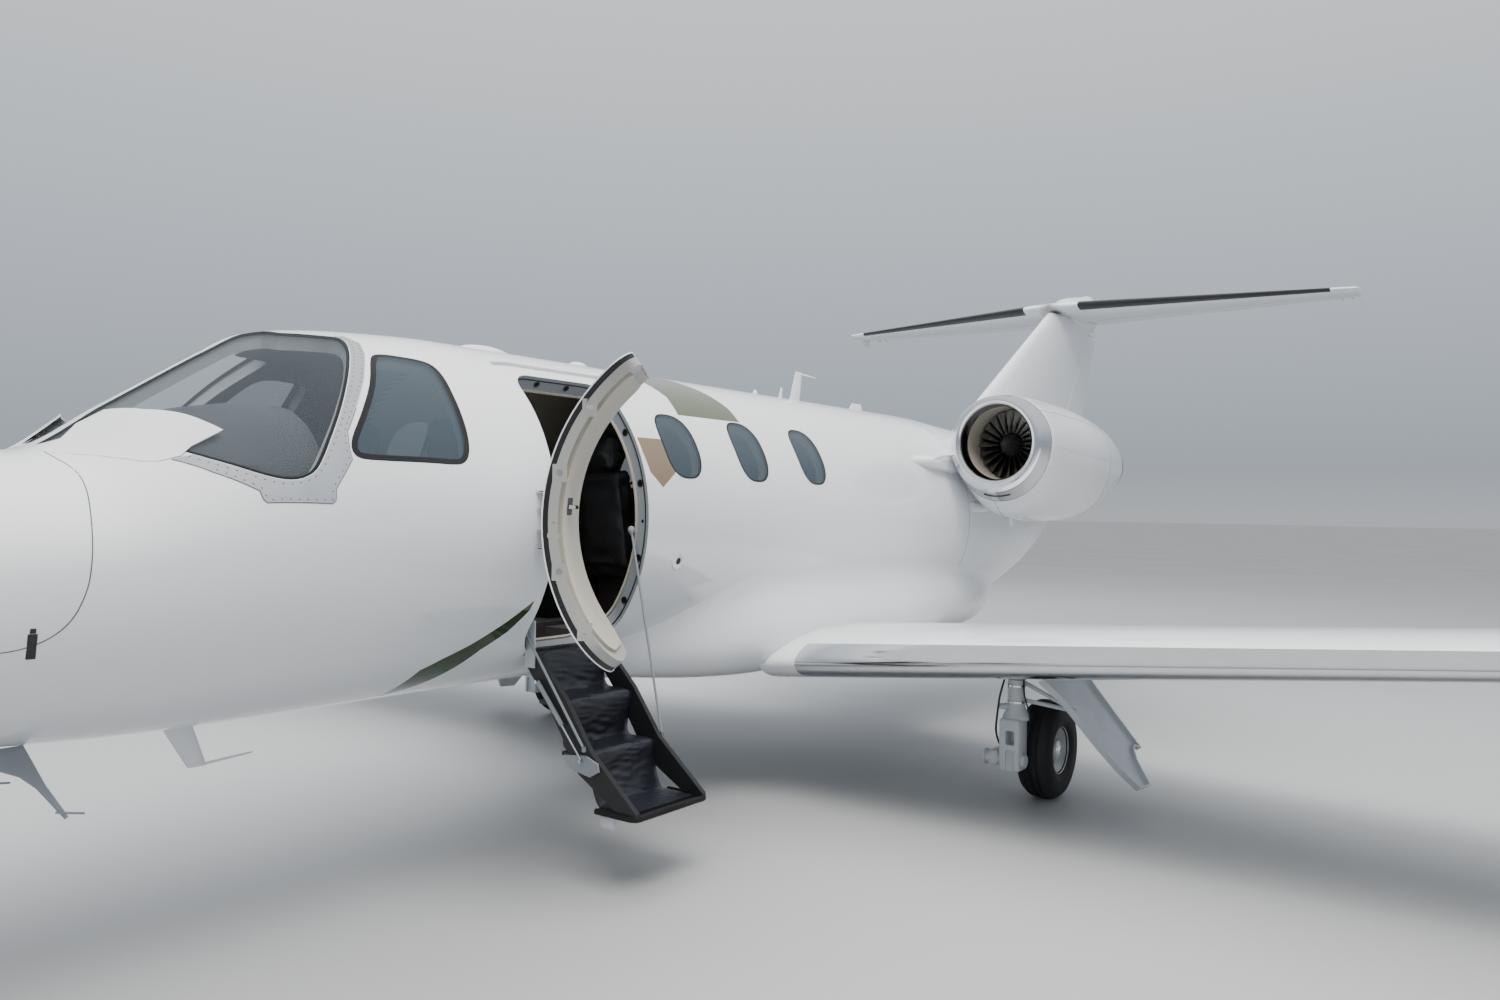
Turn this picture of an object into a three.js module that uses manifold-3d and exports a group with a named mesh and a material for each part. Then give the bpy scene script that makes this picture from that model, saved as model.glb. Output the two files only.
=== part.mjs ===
// A light business jet with two engines on its rear fuselage, parked on its gear with the cabin door open.
// Millimetres, +Z up, nose towards -Y, the left side towards +X. In the tables y = 0 is the main wheels' axle.
import * as THREE from "three";
import { mergeVertices } from "three/addons/utils/BufferGeometryUtils.js";
import Module from "manifold-3d";

const wasm = await Module();
wasm.setup();

// Driving dimensions
const GAP = 0.3; // between pieces that touch
const RUN = 6; // between a moving piece and its neighbour
const BODY_RADIUS = 815;
const BODY_CENTRE_Z = 1587;
const BODY_SIDES = 28;
const CABIN_WALL = 70; // skin, frames and lining together
const TAIL_WALL = 20;
const PANE = 14;
const NOSE_TIP = -6240;
const NOSE_JOINT = -4620; // nose cone to cockpit
const CABIN_FRONT = -2950;
const CABIN_REAR = 1450;
const TAIL_END = 6120;
const SEAM_ANGLE = 56; // crown and belly panels meet the side panels here

const DOOR = { front: -2780, rear: -2178, top: 53.4, sill: -51.4, edge: -47.2, corners: [120, 220], thick: 60 };
const DOOR_HINGE = { x: 846, y: -2806, lugs: [1496, 1664], radius: 16, height: 60 };
const DOOR_OPEN = 142; // degrees
const STAIR = { front: -2690, rear: -2220, hingeX: 410, hingeZ: 967, axle: 9 };
const SILL_Z = 948;
const FLOOR_Z = 925;

const WING = { leading: -1170, rootX: 760, tipX: 7130, chordX: 900, chord: 2070, taper: 0.171 };
const WING_RISE = { x: 890, z: 790, slope: 0.0875 }; // 5 degrees of dihedral
const HINGE_SHARE = 0.78; // flap and aileron hinges, as a share of the chord
const FLAP = { from: 1000, to: 4150 };
const AILERON = { from: 4200, to: 6750 };

const STAB = { z: 3865, halfSpan: 2855, rootLead: 5130, tipLead: 5770, rootTrail: 6590, tipTrail: 6290 };
const ELEVATOR = { hingeY: 6115, from: 170, to: 2560 };
const FIN = { leadY: 3540, leadZ: 2785, leadSlope: 1.627, top: 3800, foot: 2200 };
const RUDDER = { hingeY: 5612, hingeZ: 2784, slope: 0.773, trailY: 6265, trailSlope: 0.47, foot: 2370, top: 3690 };

const ENGINE = { x: 1158, z: 2136, lip: 1085, tail: 3740 };
const FAN = { y: 1440, radius: 255, blades: 16 };

const MAIN = { x: 1980, z: 279.5, radius: 279.5, width: 197, rim: 140, bore: 30.6 };
const NOSE = { y: -4920, z: 229, radius: 229, width: 112, rim: 112, bore: 16.6, steerY: -4965 };

const paint = (color, roughness = 0.35, metalness = 0) =>
  new THREE.MeshStandardMaterial({ color, roughness, metalness });
const whitePaint = paint(0xe9ecef);
const darkMetal = paint(0x5b5e62, 0.45, 1);
const tintedPane = new THREE.MeshStandardMaterial({
  color: 0x49525b, roughness: 0.05, transparent: true, opacity: 0.55,
});
const tyreRubber = paint(0x1b1b1c, 0.9);
const blackVinyl = paint(0x17181b, 0.6);
const seatLeather = paint(0x26282b, 0.55);
const greyTrim = paint(0x9a9488, 0.7);
const darkPlastic = paint(0x1e2022, 0.6);

// Solids
const rad = (degrees) => (degrees * Math.PI) / 180;
const mix = (a, b, t) => a + (b - a) * t;

// A closed geometry as a solid, whichever way round its faces were listed.
function solidOf(geometry) {
  const bare = geometry.clone();
  for (const name of Object.keys(bare.attributes)) if (name !== "position") bare.deleteAttribute(name);
  const merged = mergeVertices(bare, 1e-3);
  const index = [];
  const source = merged.index.array;
  for (let i = 0; i < source.length; i += 3) {
    const [a, b, c] = source.slice(i, i + 3);
    if (a !== b && b !== c && a !== c) index.push(a, b, c);
  }
  const build = (triVerts) =>
    new wasm.Manifold(
      new wasm.Mesh({
        numProp: 3,
        vertProperties: merged.attributes.position.array,
        triVerts: new Uint32Array(triVerts),
      }),
    );
  const made = build(index);
  return made.volume() < 0 ? build(index.reverse()) : made;
}

const join = (...solids) => solids.reduce((all, next) => all.add(next));
const cut = (solid, ...tools) => tools.reduce((left, tool) => left.subtract(tool), solid);

function box(x0, x1, y0, y1, z0, z1) {
  const geometry = new THREE.BoxGeometry(x1 - x0, y1 - y0, z1 - z0);
  return solidOf(geometry.translate((x0 + x1) / 2, (y0 + y1) / 2, (z0 + z1) / 2));
}

// A round rod between two points, tapered if the second radius differs.
function rod(from, to, radius, endRadius = radius, sides = 16) {
  const start = new THREE.Vector3(...from);
  const along = new THREE.Vector3(...to).sub(start);
  const turn = new THREE.Quaternion().setFromUnitVectors(
    new THREE.Vector3(0, 1, 0), along.clone().normalize(),
  );
  const middle = start.clone().addScaledVector(along, 0.5);
  const geometry = new THREE.CylinderGeometry(endRadius, radius, along.length(), sides);
  return solidOf(geometry.applyQuaternion(turn).translate(middle.x, middle.y, middle.z));
}

// A flat bar of the given width along Y and thickness, between two points of the XZ plane at y.
function bar(y0, y1, from, to, thickness) {
  const length = Math.hypot(to[0] - from[0], to[1] - from[1]);
  const geometry = new THREE.BoxGeometry(length, y1 - y0, thickness);
  geometry.rotateY(-Math.atan2(to[1] - from[1], to[0] - from[0]));
  return solidOf(geometry.translate((from[0] + to[0]) / 2, (y0 + y1) / 2, (from[1] + to[1]) / 2));
}

// The solid through a list of rings that have the same number of points, with flat ends.
function loft(rings) {
  const count = rings[0].length;
  const points = rings.flat();
  const faces = [];
  for (let r = 0; r + 1 < rings.length; r++)
    for (let i = 0; i < count; i++) {
      const a = r * count + i;
      const b = r * count + ((i + 1) % count);
      // The diagonals mirror each other on the left and the right.
      if (points[a][0] + points[b][0] >= 0) faces.push(a, b, b + count, a, b + count, a + count);
      else faces.push(a, b, a + count, b, b + count, a + count);
    }
  for (const [ring, first] of [[rings[0], 0], [rings.at(-1), (rings.length - 1) * count]]) {
    const centre = points.length;
    points.push(ring.reduce((sum, p) => sum.map((v, k) => v + p[k] / count), [0, 0, 0]));
    for (let i = 0; i < count; i++) {
      const pair = [first + i, first + ((i + 1) % count)];
      faces.push(centre, ...(first ? pair : pair.reverse()));
    }
  }
  const geometry = new THREE.BufferGeometry();
  geometry.setAttribute("position", new THREE.Float32BufferAttribute(points.flat(), 3));
  geometry.setIndex(faces);
  return solidOf(geometry);
}

// A closed profile of [radius, along] turned about the Y axis, or about X or Z.
function turned(profile, sides, axis = "y") {
  const geometry = new THREE.LatheGeometry(profile.map((p) => new THREE.Vector2(...p)), sides);
  if (axis === "x") geometry.rotateZ(-Math.PI / 2);
  if (axis === "z") geometry.rotateX(Math.PI / 2);
  return solidOf(geometry);
}

// An outline of [x, z] points extruded along Y.
function slab(outline, y0, y1) {
  const shape = new THREE.Shape(outline.map((p) => new THREE.Vector2(...p)));
  const geometry = new THREE.ExtrudeGeometry(shape, { depth: y1 - y0, bevelEnabled: false });
  return solidOf(geometry.rotateX(Math.PI / 2).translate(0, y1, 0));
}

const moved = (geometrySolid, x, y, z) => {
  const geometry = geometryOf(geometrySolid);
  return solidOf(geometry.translate(x, y, z));
};

function geometryOf(solid) {
  const mesh = solid.getMesh();
  const geometry = new THREE.BufferGeometry();
  geometry.setAttribute("position", new THREE.BufferAttribute(new Float32Array(mesh.vertProperties), 3));
  geometry.setIndex(new THREE.BufferAttribute(new Uint32Array(mesh.triVerts), 1));
  return geometry;
}

// The scene graph
const aircraft = new THREE.Group();

function add(name, solid, material, parent = aircraft) {
  const geometry = geometryOf(solid).toNonIndexed();
  geometry.computeVertexNormals();
  const mesh = new THREE.Mesh(geometry, material);
  mesh.name = name;
  parent.add(mesh);
  return mesh;
}

// A left piece and its mirror image on the right.
function addPair(name, solid, material) {
  add(name + "_left", solid, material);
  add(name + "_right", solid, material).scale.x = -1;
}

// Fuselage: y, half width, height of the widest point, top, bottom
const BODY = [
  [NOSE_TIP, 14, 1262, 1276, 1248],
  [-6205, 92, 1266, 1345, 1186],
  [-6100, 182, 1278, 1432, 1112],
  [-5870, 310, 1300, 1546, 1018],
  [-5540, 440, 1325, 1648, 930],
  [-5170, 553, 1350, 1728, 862],
  [-4800, 640, 1385, 1786, 812],
  [-4560, 690, 1410, 1814, 795],
  [-4290, 735, 1455, 1985, 780],
  [-4110, 760, 1490, 2105, 775],
  [-3925, 781, 1525, 2227, 772],
  [-3770, 793, 1548, 2319, 772],
  [-3630, 801, 1562, 2352, 772],
  [-3350, 810, 1578, 2382, 772],
  [CABIN_FRONT, 815, 1587, 2402, 772],
  [CABIN_REAR, 815, 1587, 2402, 772],
  [2050, 800, 1595, 2374, 790],
  [2600, 752, 1622, 2348, 856],
  [3150, 676, 1670, 2330, 965],
  [3700, 578, 1750, 2316, 1120],
  [4300, 455, 1868, 2302, 1370],
  [4900, 330, 1985, 2290, 1640],
  [5550, 198, 2101, 2272, 1914],
  [TAIL_END, 60, 2190, 2240, 2140],
];

function bodyAt(y) {
  const next = Math.max(1, BODY.findIndex((row) => row[0] >= y));
  const [a, b] = [BODY[next - 1], BODY[next]];
  const t = (y - a[0]) / (b[0] - a[0]);
  const [, half, widest, top, bottom] = a.map((v, k) => mix(v, b[k], t));
  return { half, widest, top, bottom };
}

function bodyRing(y, inset) {
  const { half, widest, top, bottom } = bodyAt(y);
  return Array.from({ length: BODY_SIDES }, (_, i) => {
    const angle = (2 * Math.PI * i) / BODY_SIDES;
    const rise = Math.sin(angle) > 0 ? top - widest - inset : widest - bottom - inset;
    return [(half - inset) * Math.cos(angle), y, widest + rise * Math.sin(angle)];
  });
}

function bodyLoft(fromY, toY, inset = 0, rows = BODY) {
  const between = rows.map((row) => row[0]).filter((y) => y > fromY + 1 && y < toY - 1);
  return loft([fromY, ...between, toY].map((y) => bodyRing(y, inset)));
}

// An outline on the skin, as [y, degrees above the horizontal], moved inwards by a distance in mm.
function shrunk(outline, distance) {
  const flat = outline.map(([y, a]) => new THREE.Vector2(y, rad(a) * BODY_RADIUS));
  const turn = Math.sign(THREE.ShapeUtils.area(flat));
  return flat.map((p, i) => {
    const before = p.clone().sub(flat.at(i - 1)).normalize();
    const after = flat[(i + 1) % flat.length].clone().sub(p).normalize();
    const inward = new THREE.Vector2(-before.y - after.y, before.x + after.x).normalize();
    const lean = Math.max(0.5, -before.y * inward.x + before.x * inward.y);
    const q = p.clone().addScaledVector(inward, (turn * distance) / lean);
    return [q.x, q.y / BODY_RADIUS / rad(1)];
  });
}

// The solid that an outline on the skin sweeps from inside the cabin to outside the body.
function through(outline, side = 1) {
  const flat = outline.map(([y, a]) => new THREE.Vector2(y, rad(a) * BODY_RADIUS));
  const faces = THREE.ShapeUtils.triangulateShape(flat, []);
  const count = flat.length;
  const points = [250, 2200].flatMap((radius) =>
    outline.map(([y, a]) => [
      side * radius * Math.cos(rad(a)), y, bodyAt(y).widest + radius * Math.sin(rad(a)),
    ]),
  );
  const index = faces.flatMap(([a, b, c]) => [a, b, c, c + count, b + count, a + count]);
  const way = Math.sign(THREE.ShapeUtils.area(flat));
  for (let i = 0; i < count; i++) {
    const [a, b] = way > 0 ? [i, (i + 1) % count] : [(i + 1) % count, i];
    index.push(b, a, a + count, b, a + count, b + count);
  }
  const geometry = new THREE.BufferGeometry();
  geometry.setAttribute("position", new THREE.Float32BufferAttribute(points.flat(), 3));
  geometry.setIndex(index);
  return solidOf(geometry);
}

// A rounded rectangle in [y, degrees], with one radius for the upper corners and one for the lower.
function roundedOutline(y0, y1, a0, a1, [upper, lower], steps = 5) {
  const perMm = 1 / BODY_RADIUS / rad(1);
  const corners = [[y1 - upper, a1 - upper * perMm, 0, upper], [y0 + upper, a1 - upper * perMm, 90, upper],
    [y0 + lower, a0 + lower * perMm, 180, lower], [y1 - lower, a0 + lower * perMm, 270, lower]];
  return corners.flatMap(([y, a, from, radius]) =>
    Array.from({ length: steps }, (_, i) => {
      const t = rad(from + (90 * i) / (steps - 1));
      return [y + radius * Math.cos(t), a + radius * perMm * Math.sin(t)];
    }),
  );
}

// A cabin window: an oval that is fuller than an ellipse.
const WINDOW = { middle: 27.6, halfHeight: 13.4, halfWidth: 139, fullness: 2.7, points: 16 };
function windowOutline(y) {
  return Array.from({ length: WINDOW.points }, (_, i) => {
    const t = (2 * Math.PI * i) / WINDOW.points;
    const full = (v) => Math.sign(v) * Math.abs(v) ** (2 / WINDOW.fullness);
    return [y + WINDOW.halfWidth * full(Math.cos(t)), WINDOW.middle + WINDOW.halfHeight * full(Math.sin(t))];
  });
}

const WINDOW_ROW = [-2455, -1845, -1245, -640]; // the left side has no first one, because of the door
// Cockpit panes as [y, degrees]
const windshield = [
  [-4470, 85.5], [-3775, 87.4], [-3700, 77], [-3587, 72], [-3518, 70], [-3504, 66.3], [-3536, 59.4],
  [-3596, 50.7], [-3669, 41.2], [-3738, 32.6], [-3800, 25.3], [-3851, 19.3], [-3890, 16.2], [-3950, 15.1],
  [-4023, 16.7], [-4123, 21.6], [-4240, 29.5], [-4330, 40], [-4400, 56], [-4450, 72],
];
const sideWindow = [
  [-3477, 54.5], [-3414, 57], [-3246, 55], [-3200, 52.5], [-3189, 47], [-3196, 39.2], [-3202, 27.4],
  [-3212, 19.5], [-3234, 16.6], [-3270, 15.5], [-3603, 17.2], [-3700, 18.2], [-3733, 20.5], [-3723, 24.5],
  [-3660, 31.5], [-3568, 42],
];

const paneShell = (fromY, toY) => cut(bodyLoft(fromY, toY, 0), bodyLoft(fromY - 50, toY + 50, PANE));
const GLAZE_GAP = 0.4;

function addPane(name, outline, side) {
  const ys = outline.map((p) => p[0]);
  const skin = paneShell(Math.min(...ys) - 30, Math.max(...ys) + 30);
  add(name, skin.intersect(through(shrunk(outline, GLAZE_GAP), side)), tintedPane);
}

const SIDES = [["left", 1], ["right", -1]];

// Nose: a solid cone with the well of the nose gear in its belly
const NOSE_WELL = { half: 165, front: -5630, rear: -4550, top: 1080 };
const noseWell = box(-NOSE_WELL.half, NOSE_WELL.half, NOSE_WELL.front, NOSE_WELL.rear, 600, NOSE_WELL.top);
add("nose", cut(bodyLoft(NOSE_TIP, NOSE_JOINT - GAP), noseWell), whitePaint);

// The insides of the shells need fewer sections than their skins.
const COCKPIT_INSIDE = BODY.filter(([y]) => [-4290, -3925, -3630].includes(y));
const TAIL_INSIDE = BODY.filter(([y]) => [2600, 4300].includes(y));

// Cockpit shell, open to the cabin behind
function cockpitShell() {
  const FRONT_WALL = 120;
  const room = cut(
    bodyLoft(NOSE_JOINT + FRONT_WALL, CABIN_FRONT + 50, CABIN_WALL, COCKPIT_INSIDE),
    box(-900, 900, NOSE_JOINT, NOSE_WELL.rear + 60, 600, NOSE_WELL.top + 60),
  );
  const openings = SIDES.flatMap(([, side]) => [through(windshield, side), through(sideWindow, side)]);
  return cut(bodyLoft(NOSE_JOINT, CABIN_FRONT - GAP), room, noseWell, ...openings);
}
add("cockpit_shell", cockpitShell(), whitePaint);
for (const [name, side] of SIDES) {
  addPane("windshield_" + name, windshield, side);
  addPane("side_window_" + name, sideWindow, side);
}

// Cabin: crown, belly and two side panels
const seamRise = BODY_RADIUS * Math.sin(rad(SEAM_ANGLE));
const [seamLow, seamHigh] = [BODY_CENTRE_Z - seamRise, BODY_CENTRE_Z + seamRise];
const cabinTube = cut(
  bodyLoft(CABIN_FRONT, CABIN_REAR),
  bodyLoft(CABIN_FRONT - 50, CABIN_REAR + 50, CABIN_WALL),
);
const cabinBand = (x0, x1, z0, z1) =>
  cabinTube.intersect(box(x0, x1, CABIN_FRONT - 10, CABIN_REAR + 10, z0, z1));
const doorOpening = roundedOutline(DOOR.front, DOOR.rear, DOOR.sill, DOOR.top, DOOR.corners);

// x, y, z of each aerial's foot, height, length and thickness
const AERIALS = [
  [-2515, 34, 350, 120], [-1860, 30, 160, 90], [-200, 40, 60, 30], [92, 84, 40, 14], [270, 216, 130, 16],
  [1120, 60, 220, 12],
];
const aerial = ([y, height, length, thick]) =>
  loft([0, 1].map((t) => {
    const [half, wide] = [(length / 2) * (1 - 0.35 * t), (thick / 2) * (1 - 0.4 * t)];
    const lean = 0.2 * length * t;
    const foot = BODY_CENTRE_Z + BODY_RADIUS - 12;
    return Array.from({ length: 12 }, (_, i) => {
      const a = (2 * Math.PI * i) / 12;
      return [wide * Math.cos(a), y + lean + half * Math.sin(a), foot + t * (height + 12)];
    });
  }));
add("cabin_crown", join(cabinBand(-900, 900, seamHigh, 2500), ...AERIALS.map(aerial)), whitePaint);
add("cabin_belly", cabinBand(-900, 900, 700, seamLow), whitePaint);

// Lugs that carry the door's hinge pins and the stairs' axle.
function doorLugs() {
  const { x, y, lugs, radius, height } = DOOR_HINGE;
  return lugs.flatMap((z) => [-1, 1].map((way) => {
    const near = z + way * (height / 2 + GAP);
    const far = near + way * 14;
    const [low, high] = [Math.min(near, far), Math.max(near, far)];
    return join(
      box(BODY_RADIUS - 110, x + radius, y - 90, y - 40, low, high),
      box(x - radius - 8, x + radius, y - 90, y + radius, low, high),
    );
  }));
}

function stairLugs() {
  const reach = 20;
  return [[STAIR.front - reach - 5, STAIR.front - 5], [STAIR.rear + 15, STAIR.rear + 15 + reach]].map(
    ([y0, y1]) => box(STAIR.hingeX - 24, STAIR.hingeX + 24, y0, y1, SILL_Z - 12, STAIR.hingeZ + 16),
  );
}

function cabinSide(side) {
  const wall = cabinBand(side > 0 ? 0 : -900, side > 0 ? 900 : 0, seamLow + GAP, seamHigh - GAP);
  const row = WINDOW_ROW.slice(side > 0 ? 1 : 0);
  const panel = cut(wall, ...row.map((y) => through(windowOutline(y), side)));
  if (side < 0) return panel;
  const sill = join(
    box(250, 700, STAIR.front - 12, DOOR.rear - 12, SILL_Z, SILL_Z + 60),
    box(250, 700, STAIR.front - 12, STAIR.rear + 12, SILL_Z + 50, SILL_Z + 130),
  );
  return join(cut(panel, through(doorOpening), sill), ...doorLugs(), ...stairLugs());
}

for (const [name, side] of SIDES) {
  add("cabin_side_" + name, cabinSide(side), whitePaint);
  const row = WINDOW_ROW.slice(side > 0 ? 1 : 0);
  row.forEach((y, i) => addPane(`cabin_window_${name}_${i + 1}`, windowOutline(y), side));
}

// Tail cone, a thin shell open at its front
add(
  "tail_cone",
  cut(bodyLoft(CABIN_REAR + GAP, TAIL_END), bodyLoft(CABIN_REAR - 50, TAIL_END - 600, TAIL_WALL, TAIL_INSIDE)),
  whitePaint,
);

// Floor with its raised sides, the cabinet across from the door and the bulkhead behind the seats
const cabinRoom = bodyLoft(NOSE_JOINT + 130, CABIN_REAR - 1, CABIN_WALL + GAP, COCKPIT_INSIDE);
const BULKHEAD = 30;
const LEDGE_Z = 1010;
const AISLE_HALF = 75;
const LEDGES = [[-4230, -2990, 105], [-2140, CABIN_REAR - 40, AISLE_HALF]]; // front, rear, half of the aisle
const floor = join(
  box(-700, 700, -4230, CABIN_REAR - 40, FLOOR_Z - 30, FLOOR_Z),
  ...LEDGES.flatMap(([y0, y1, half]) => [
    box(half, 700, y0, y1, FLOOR_Z - 1, LEDGE_Z), box(-700, -half, y0, y1, FLOOR_Z - 1, LEDGE_Z),
  ]),
  box(-900, 900, CABIN_REAR - 40 - BULKHEAD, CABIN_REAR - 40, 700, 2500),
  box(-700, -190, -2760, -2290, FLOOR_Z - 1, 1720),
);
add("floor", floor.intersect(cabinRoom), greyTrim);

// Instrument panel, its shade and the pedestal between the pilots
const PANEL = { y: -4080, thick: 60, foot: 1380, top: 1770 };
const panel = join(
  box(-800, 800, PANEL.y, PANEL.y + PANEL.thick, PANEL.foot, PANEL.top),
  box(-800, 800, PANEL.y - 220, PANEL.y + 130, PANEL.top - 10, PANEL.top + 22),
  box(-95, 95, PANEL.y, PANEL.y + 620, FLOOR_Z + GAP, FLOOR_Z + 260),
  box(-95, 95, PANEL.y, PANEL.y + 160, FLOOR_Z + GAP, PANEL.foot + 10),
);
add("instrument_panel", panel.intersect(cabinRoom), darkPlastic);

// Seats: a base, a cushion, a back with its headrest and two arms
const SEAT = { width: 460, depth: 480, cushion: 130, back: 120, arm: 55 };
function seat(x, y, facing, base, cushionTop, backTop) {
  const half = SEAT.width / 2;
  const inner = half - SEAT.arm - 5;
  const span = (a, b) => (facing > 0 ? [y + a, y + b] : [y - b, y - a]);
  const block = (w, a, b, z0, z1) => box(x - w, x + w, ...span(a, b), z0, z1);
  const lean = loft([[cushionTop - 90, 0], [backTop, 90]].map(([z, back]) => {
    const [y0, y1] = span(back - 10, back + SEAT.back - 10);
    const narrow = z > cushionTop ? 25 : 0;
    return [[x - inner + narrow, y0, z], [x + inner - narrow, y0, z],
      [x + inner - narrow, y1, z], [x - inner + narrow, y1, z]];
  }));
  const [front, rear] = [-SEAT.depth + 20, SEAT.back - 40];
  return join(
    block(inner * 0.72, front + 80, rear - 60, base, cushionTop - SEAT.cushion + 5),
    block(inner, front, rear, cushionTop - SEAT.cushion, cushionTop),
    lean,
    block(inner * 0.62, 85, SEAT.back + 65, backTop - 5, backTop + 190),
    ...[-1, 1].map((way) => {
      const mid = x + way * (half - SEAT.arm / 2);
      return box(mid - SEAT.arm / 2, mid + SEAT.arm / 2, ...span(front + 90, rear), cushionTop - 110,
        cushionTop + 150);
    }),
    block(half - 5, rear - 90, rear - 10, cushionTop - 110, cushionTop - 10),
  );
}

for (const [name, side] of SIDES)
  add("pilot_seat_" + name, seat(side * 330, -3120, 1, LEDGE_Z + GAP, 1330, 1830), seatLeather);
// x, y of the back's front face, way it faces
const CABIN_SEATS = [[310, -1850, -1], [-310, -1850, -1], [310, -330, 1], [-310, -330, 1]];
CABIN_SEATS.forEach(([x, y, facing], i) =>
  add("cabin_seat_" + (i + 1), seat(x, y, facing, LEDGE_Z + GAP, 1390, 1830), seatLeather));

// Cabin door, built closed and turned about its hinge
function cabinDoor() {
  const { x, y, lugs, radius, height } = DOOR_HINGE;
  const skin = cut(
    bodyLoft(CABIN_FRONT + 10, DOOR.rear + 200),
    bodyLoft(CABIN_FRONT - 50, DOOR.rear + 250, DOOR.thick),
  );
  const outline = shrunk(
    roundedOutline(DOOR.front, DOOR.rear, DOOR.edge, DOOR.top, DOOR.corners), RUN + 1,
  );
  // Nothing of the door may be further from the hinge than the rear edge of its outer skin.
  const reach = (angle) => {
    const skinX = BODY_RADIUS * Math.cos(rad(angle));
    return [Math.hypot(x - skinX, DOOR.rear - RUN - y), BODY_CENTRE_Z + BODY_RADIUS * Math.sin(rad(angle))];
  };
  const swing = [-60, -40, -20, 0, 20, 40, 60].map(reach);
  const swept = turned([[0, swing[0][1]], ...swing, [0, swing.at(-1)[1]]], 96, "z");
  const arms = lugs.map((z) => join(
    rod([x, y, z - height / 2], [x, y, z + height / 2], radius),
    box(x - 12, x + 12, y, y + 90, z - height / 2, z + height / 2),
    box(BODY_RADIUS - 45, x + 12, y + 60, y + 90, z - height / 2, z + height / 2),
  ));
  const leaf = skin.intersect(through(outline)).intersect(moved(swept, x, y, 0));
  return join(leaf, ...arms);
}

const doorSwing = new THREE.Group();
doorSwing.position.set(DOOR_HINGE.x, DOOR_HINGE.y, 0);
doorSwing.rotation.z = -rad(DOOR_OPEN);
aircraft.add(doorSwing);
add("cabin_door", moved(cabinDoor(), -DOOR_HINGE.x, -DOOR_HINGE.y, 0), whitePaint, doorSwing);

// Stairs: outer edge of each tread as x, z
const TREADS = [[790, 776], [940, 565], [1215, 345]];
function stairs() {
  const { front, rear, hingeX, hingeZ, axle } = STAIR;
  const side = 26;
  const stringer = [[545, 979], [600, 973], [790, 790], [952, 575], [1222, 352], [1222, 318], [1150, 318],
    [880, 470], [690, 740], [545, 905]];
  const stringers = [slab(stringer, front, front + side), slab(stringer, rear - side, rear)];
  const treads = TREADS.flatMap(([x, z], i) => {
    const depth = i === 2 ? 235 : 180;
    const lip = box(x - 22, x, front, rear, z - 95, z);
    const plate = box(x - depth, x, front, rear, z - 26, z);
    return i === 2 ? [plate] : [plate, lip];
  });
  return join(
    rod([hingeX, front - 5 + GAP, hingeZ], [hingeX, rear + 15 - GAP, hingeZ], axle),
    box(hingeX - 2, 600, front, rear, SILL_Z + 6, SILL_Z + 32),
    bar(front, rear, [588, 965], [640, 770], 20),
    ...stringers,
    ...treads,
  );
}
add("stairs", stairs(), blackVinyl);

// Wings
const wingChord = (x) => WING.chord - WING.taper * (x - WING.chordX);
const wingZ = (x) => WING_RISE.z + WING_RISE.slope * (x - WING_RISE.x);
const halfThickness = (s) =>
  5 * (0.2969 * Math.sqrt(s) - 0.126 * s - 0.3516 * s ** 2 + 0.2843 * s ** 3 - 0.1015 * s ** 4);

// A wing section: [share of chord, height / chord] round from the upper trailing edge.
function aerofoil(thickness, camber, steps = 8) {
  const shares = Array.from({ length: steps + 1 }, (_, i) => (1 + Math.cos((Math.PI * i) / steps)) / 2);
  const arch = (s) => 4 * camber * s * (1 - s);
  const upper = shares.map((s) => [s, arch(s) + thickness * halfThickness(s)]);
  const lower = shares.map((s) => [s, arch(s) - thickness * halfThickness(s)]).reverse();
  return [...upper, ...lower.slice(1)];
}

function wingRing(x, grow = 0) {
  const chord = wingChord(x);
  const thickness = mix(0.135, 0.11, (x - WING.rootX) / (WING.tipX - WING.rootX));
  return aerofoil(thickness, 0.012).map(([s, h]) => [
    x, WING.leading - grow + s * (chord + 2 * grow), wingZ(x) + h * chord + Math.sign(h) * grow,
  ]);
}

function wingTipRing(x, share) {
  const chord = wingChord(WING.tipX);
  const front = WING.leading + chord * (1 - share) * 0.75;
  return aerofoil(0.11, 0.012).map(([s, h]) => [x, front + s * chord * share, wingZ(x) + h * chord * share]);
}

const wingSkin = (from = WING.rootX, grow = 0) =>
  loft([...[from, FLAP.to, WING.tipX - 60].map((x) => wingRing(x, grow)), wingTipRing(WING.tipX, 0.78)]);

const hingeY = (x) => WING.leading + HINGE_SHARE * wingChord(x);
const hingeZ = (x) => wingZ(x) + 0.0082 * wingChord(x);
const noseRadius = (x) => {
  const thickness = mix(0.135, 0.11, (x - WING.rootX) / (WING.tipX - WING.rootX));
  return thickness * halfThickness(HINGE_SHARE) * wingChord(x);
};

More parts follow.
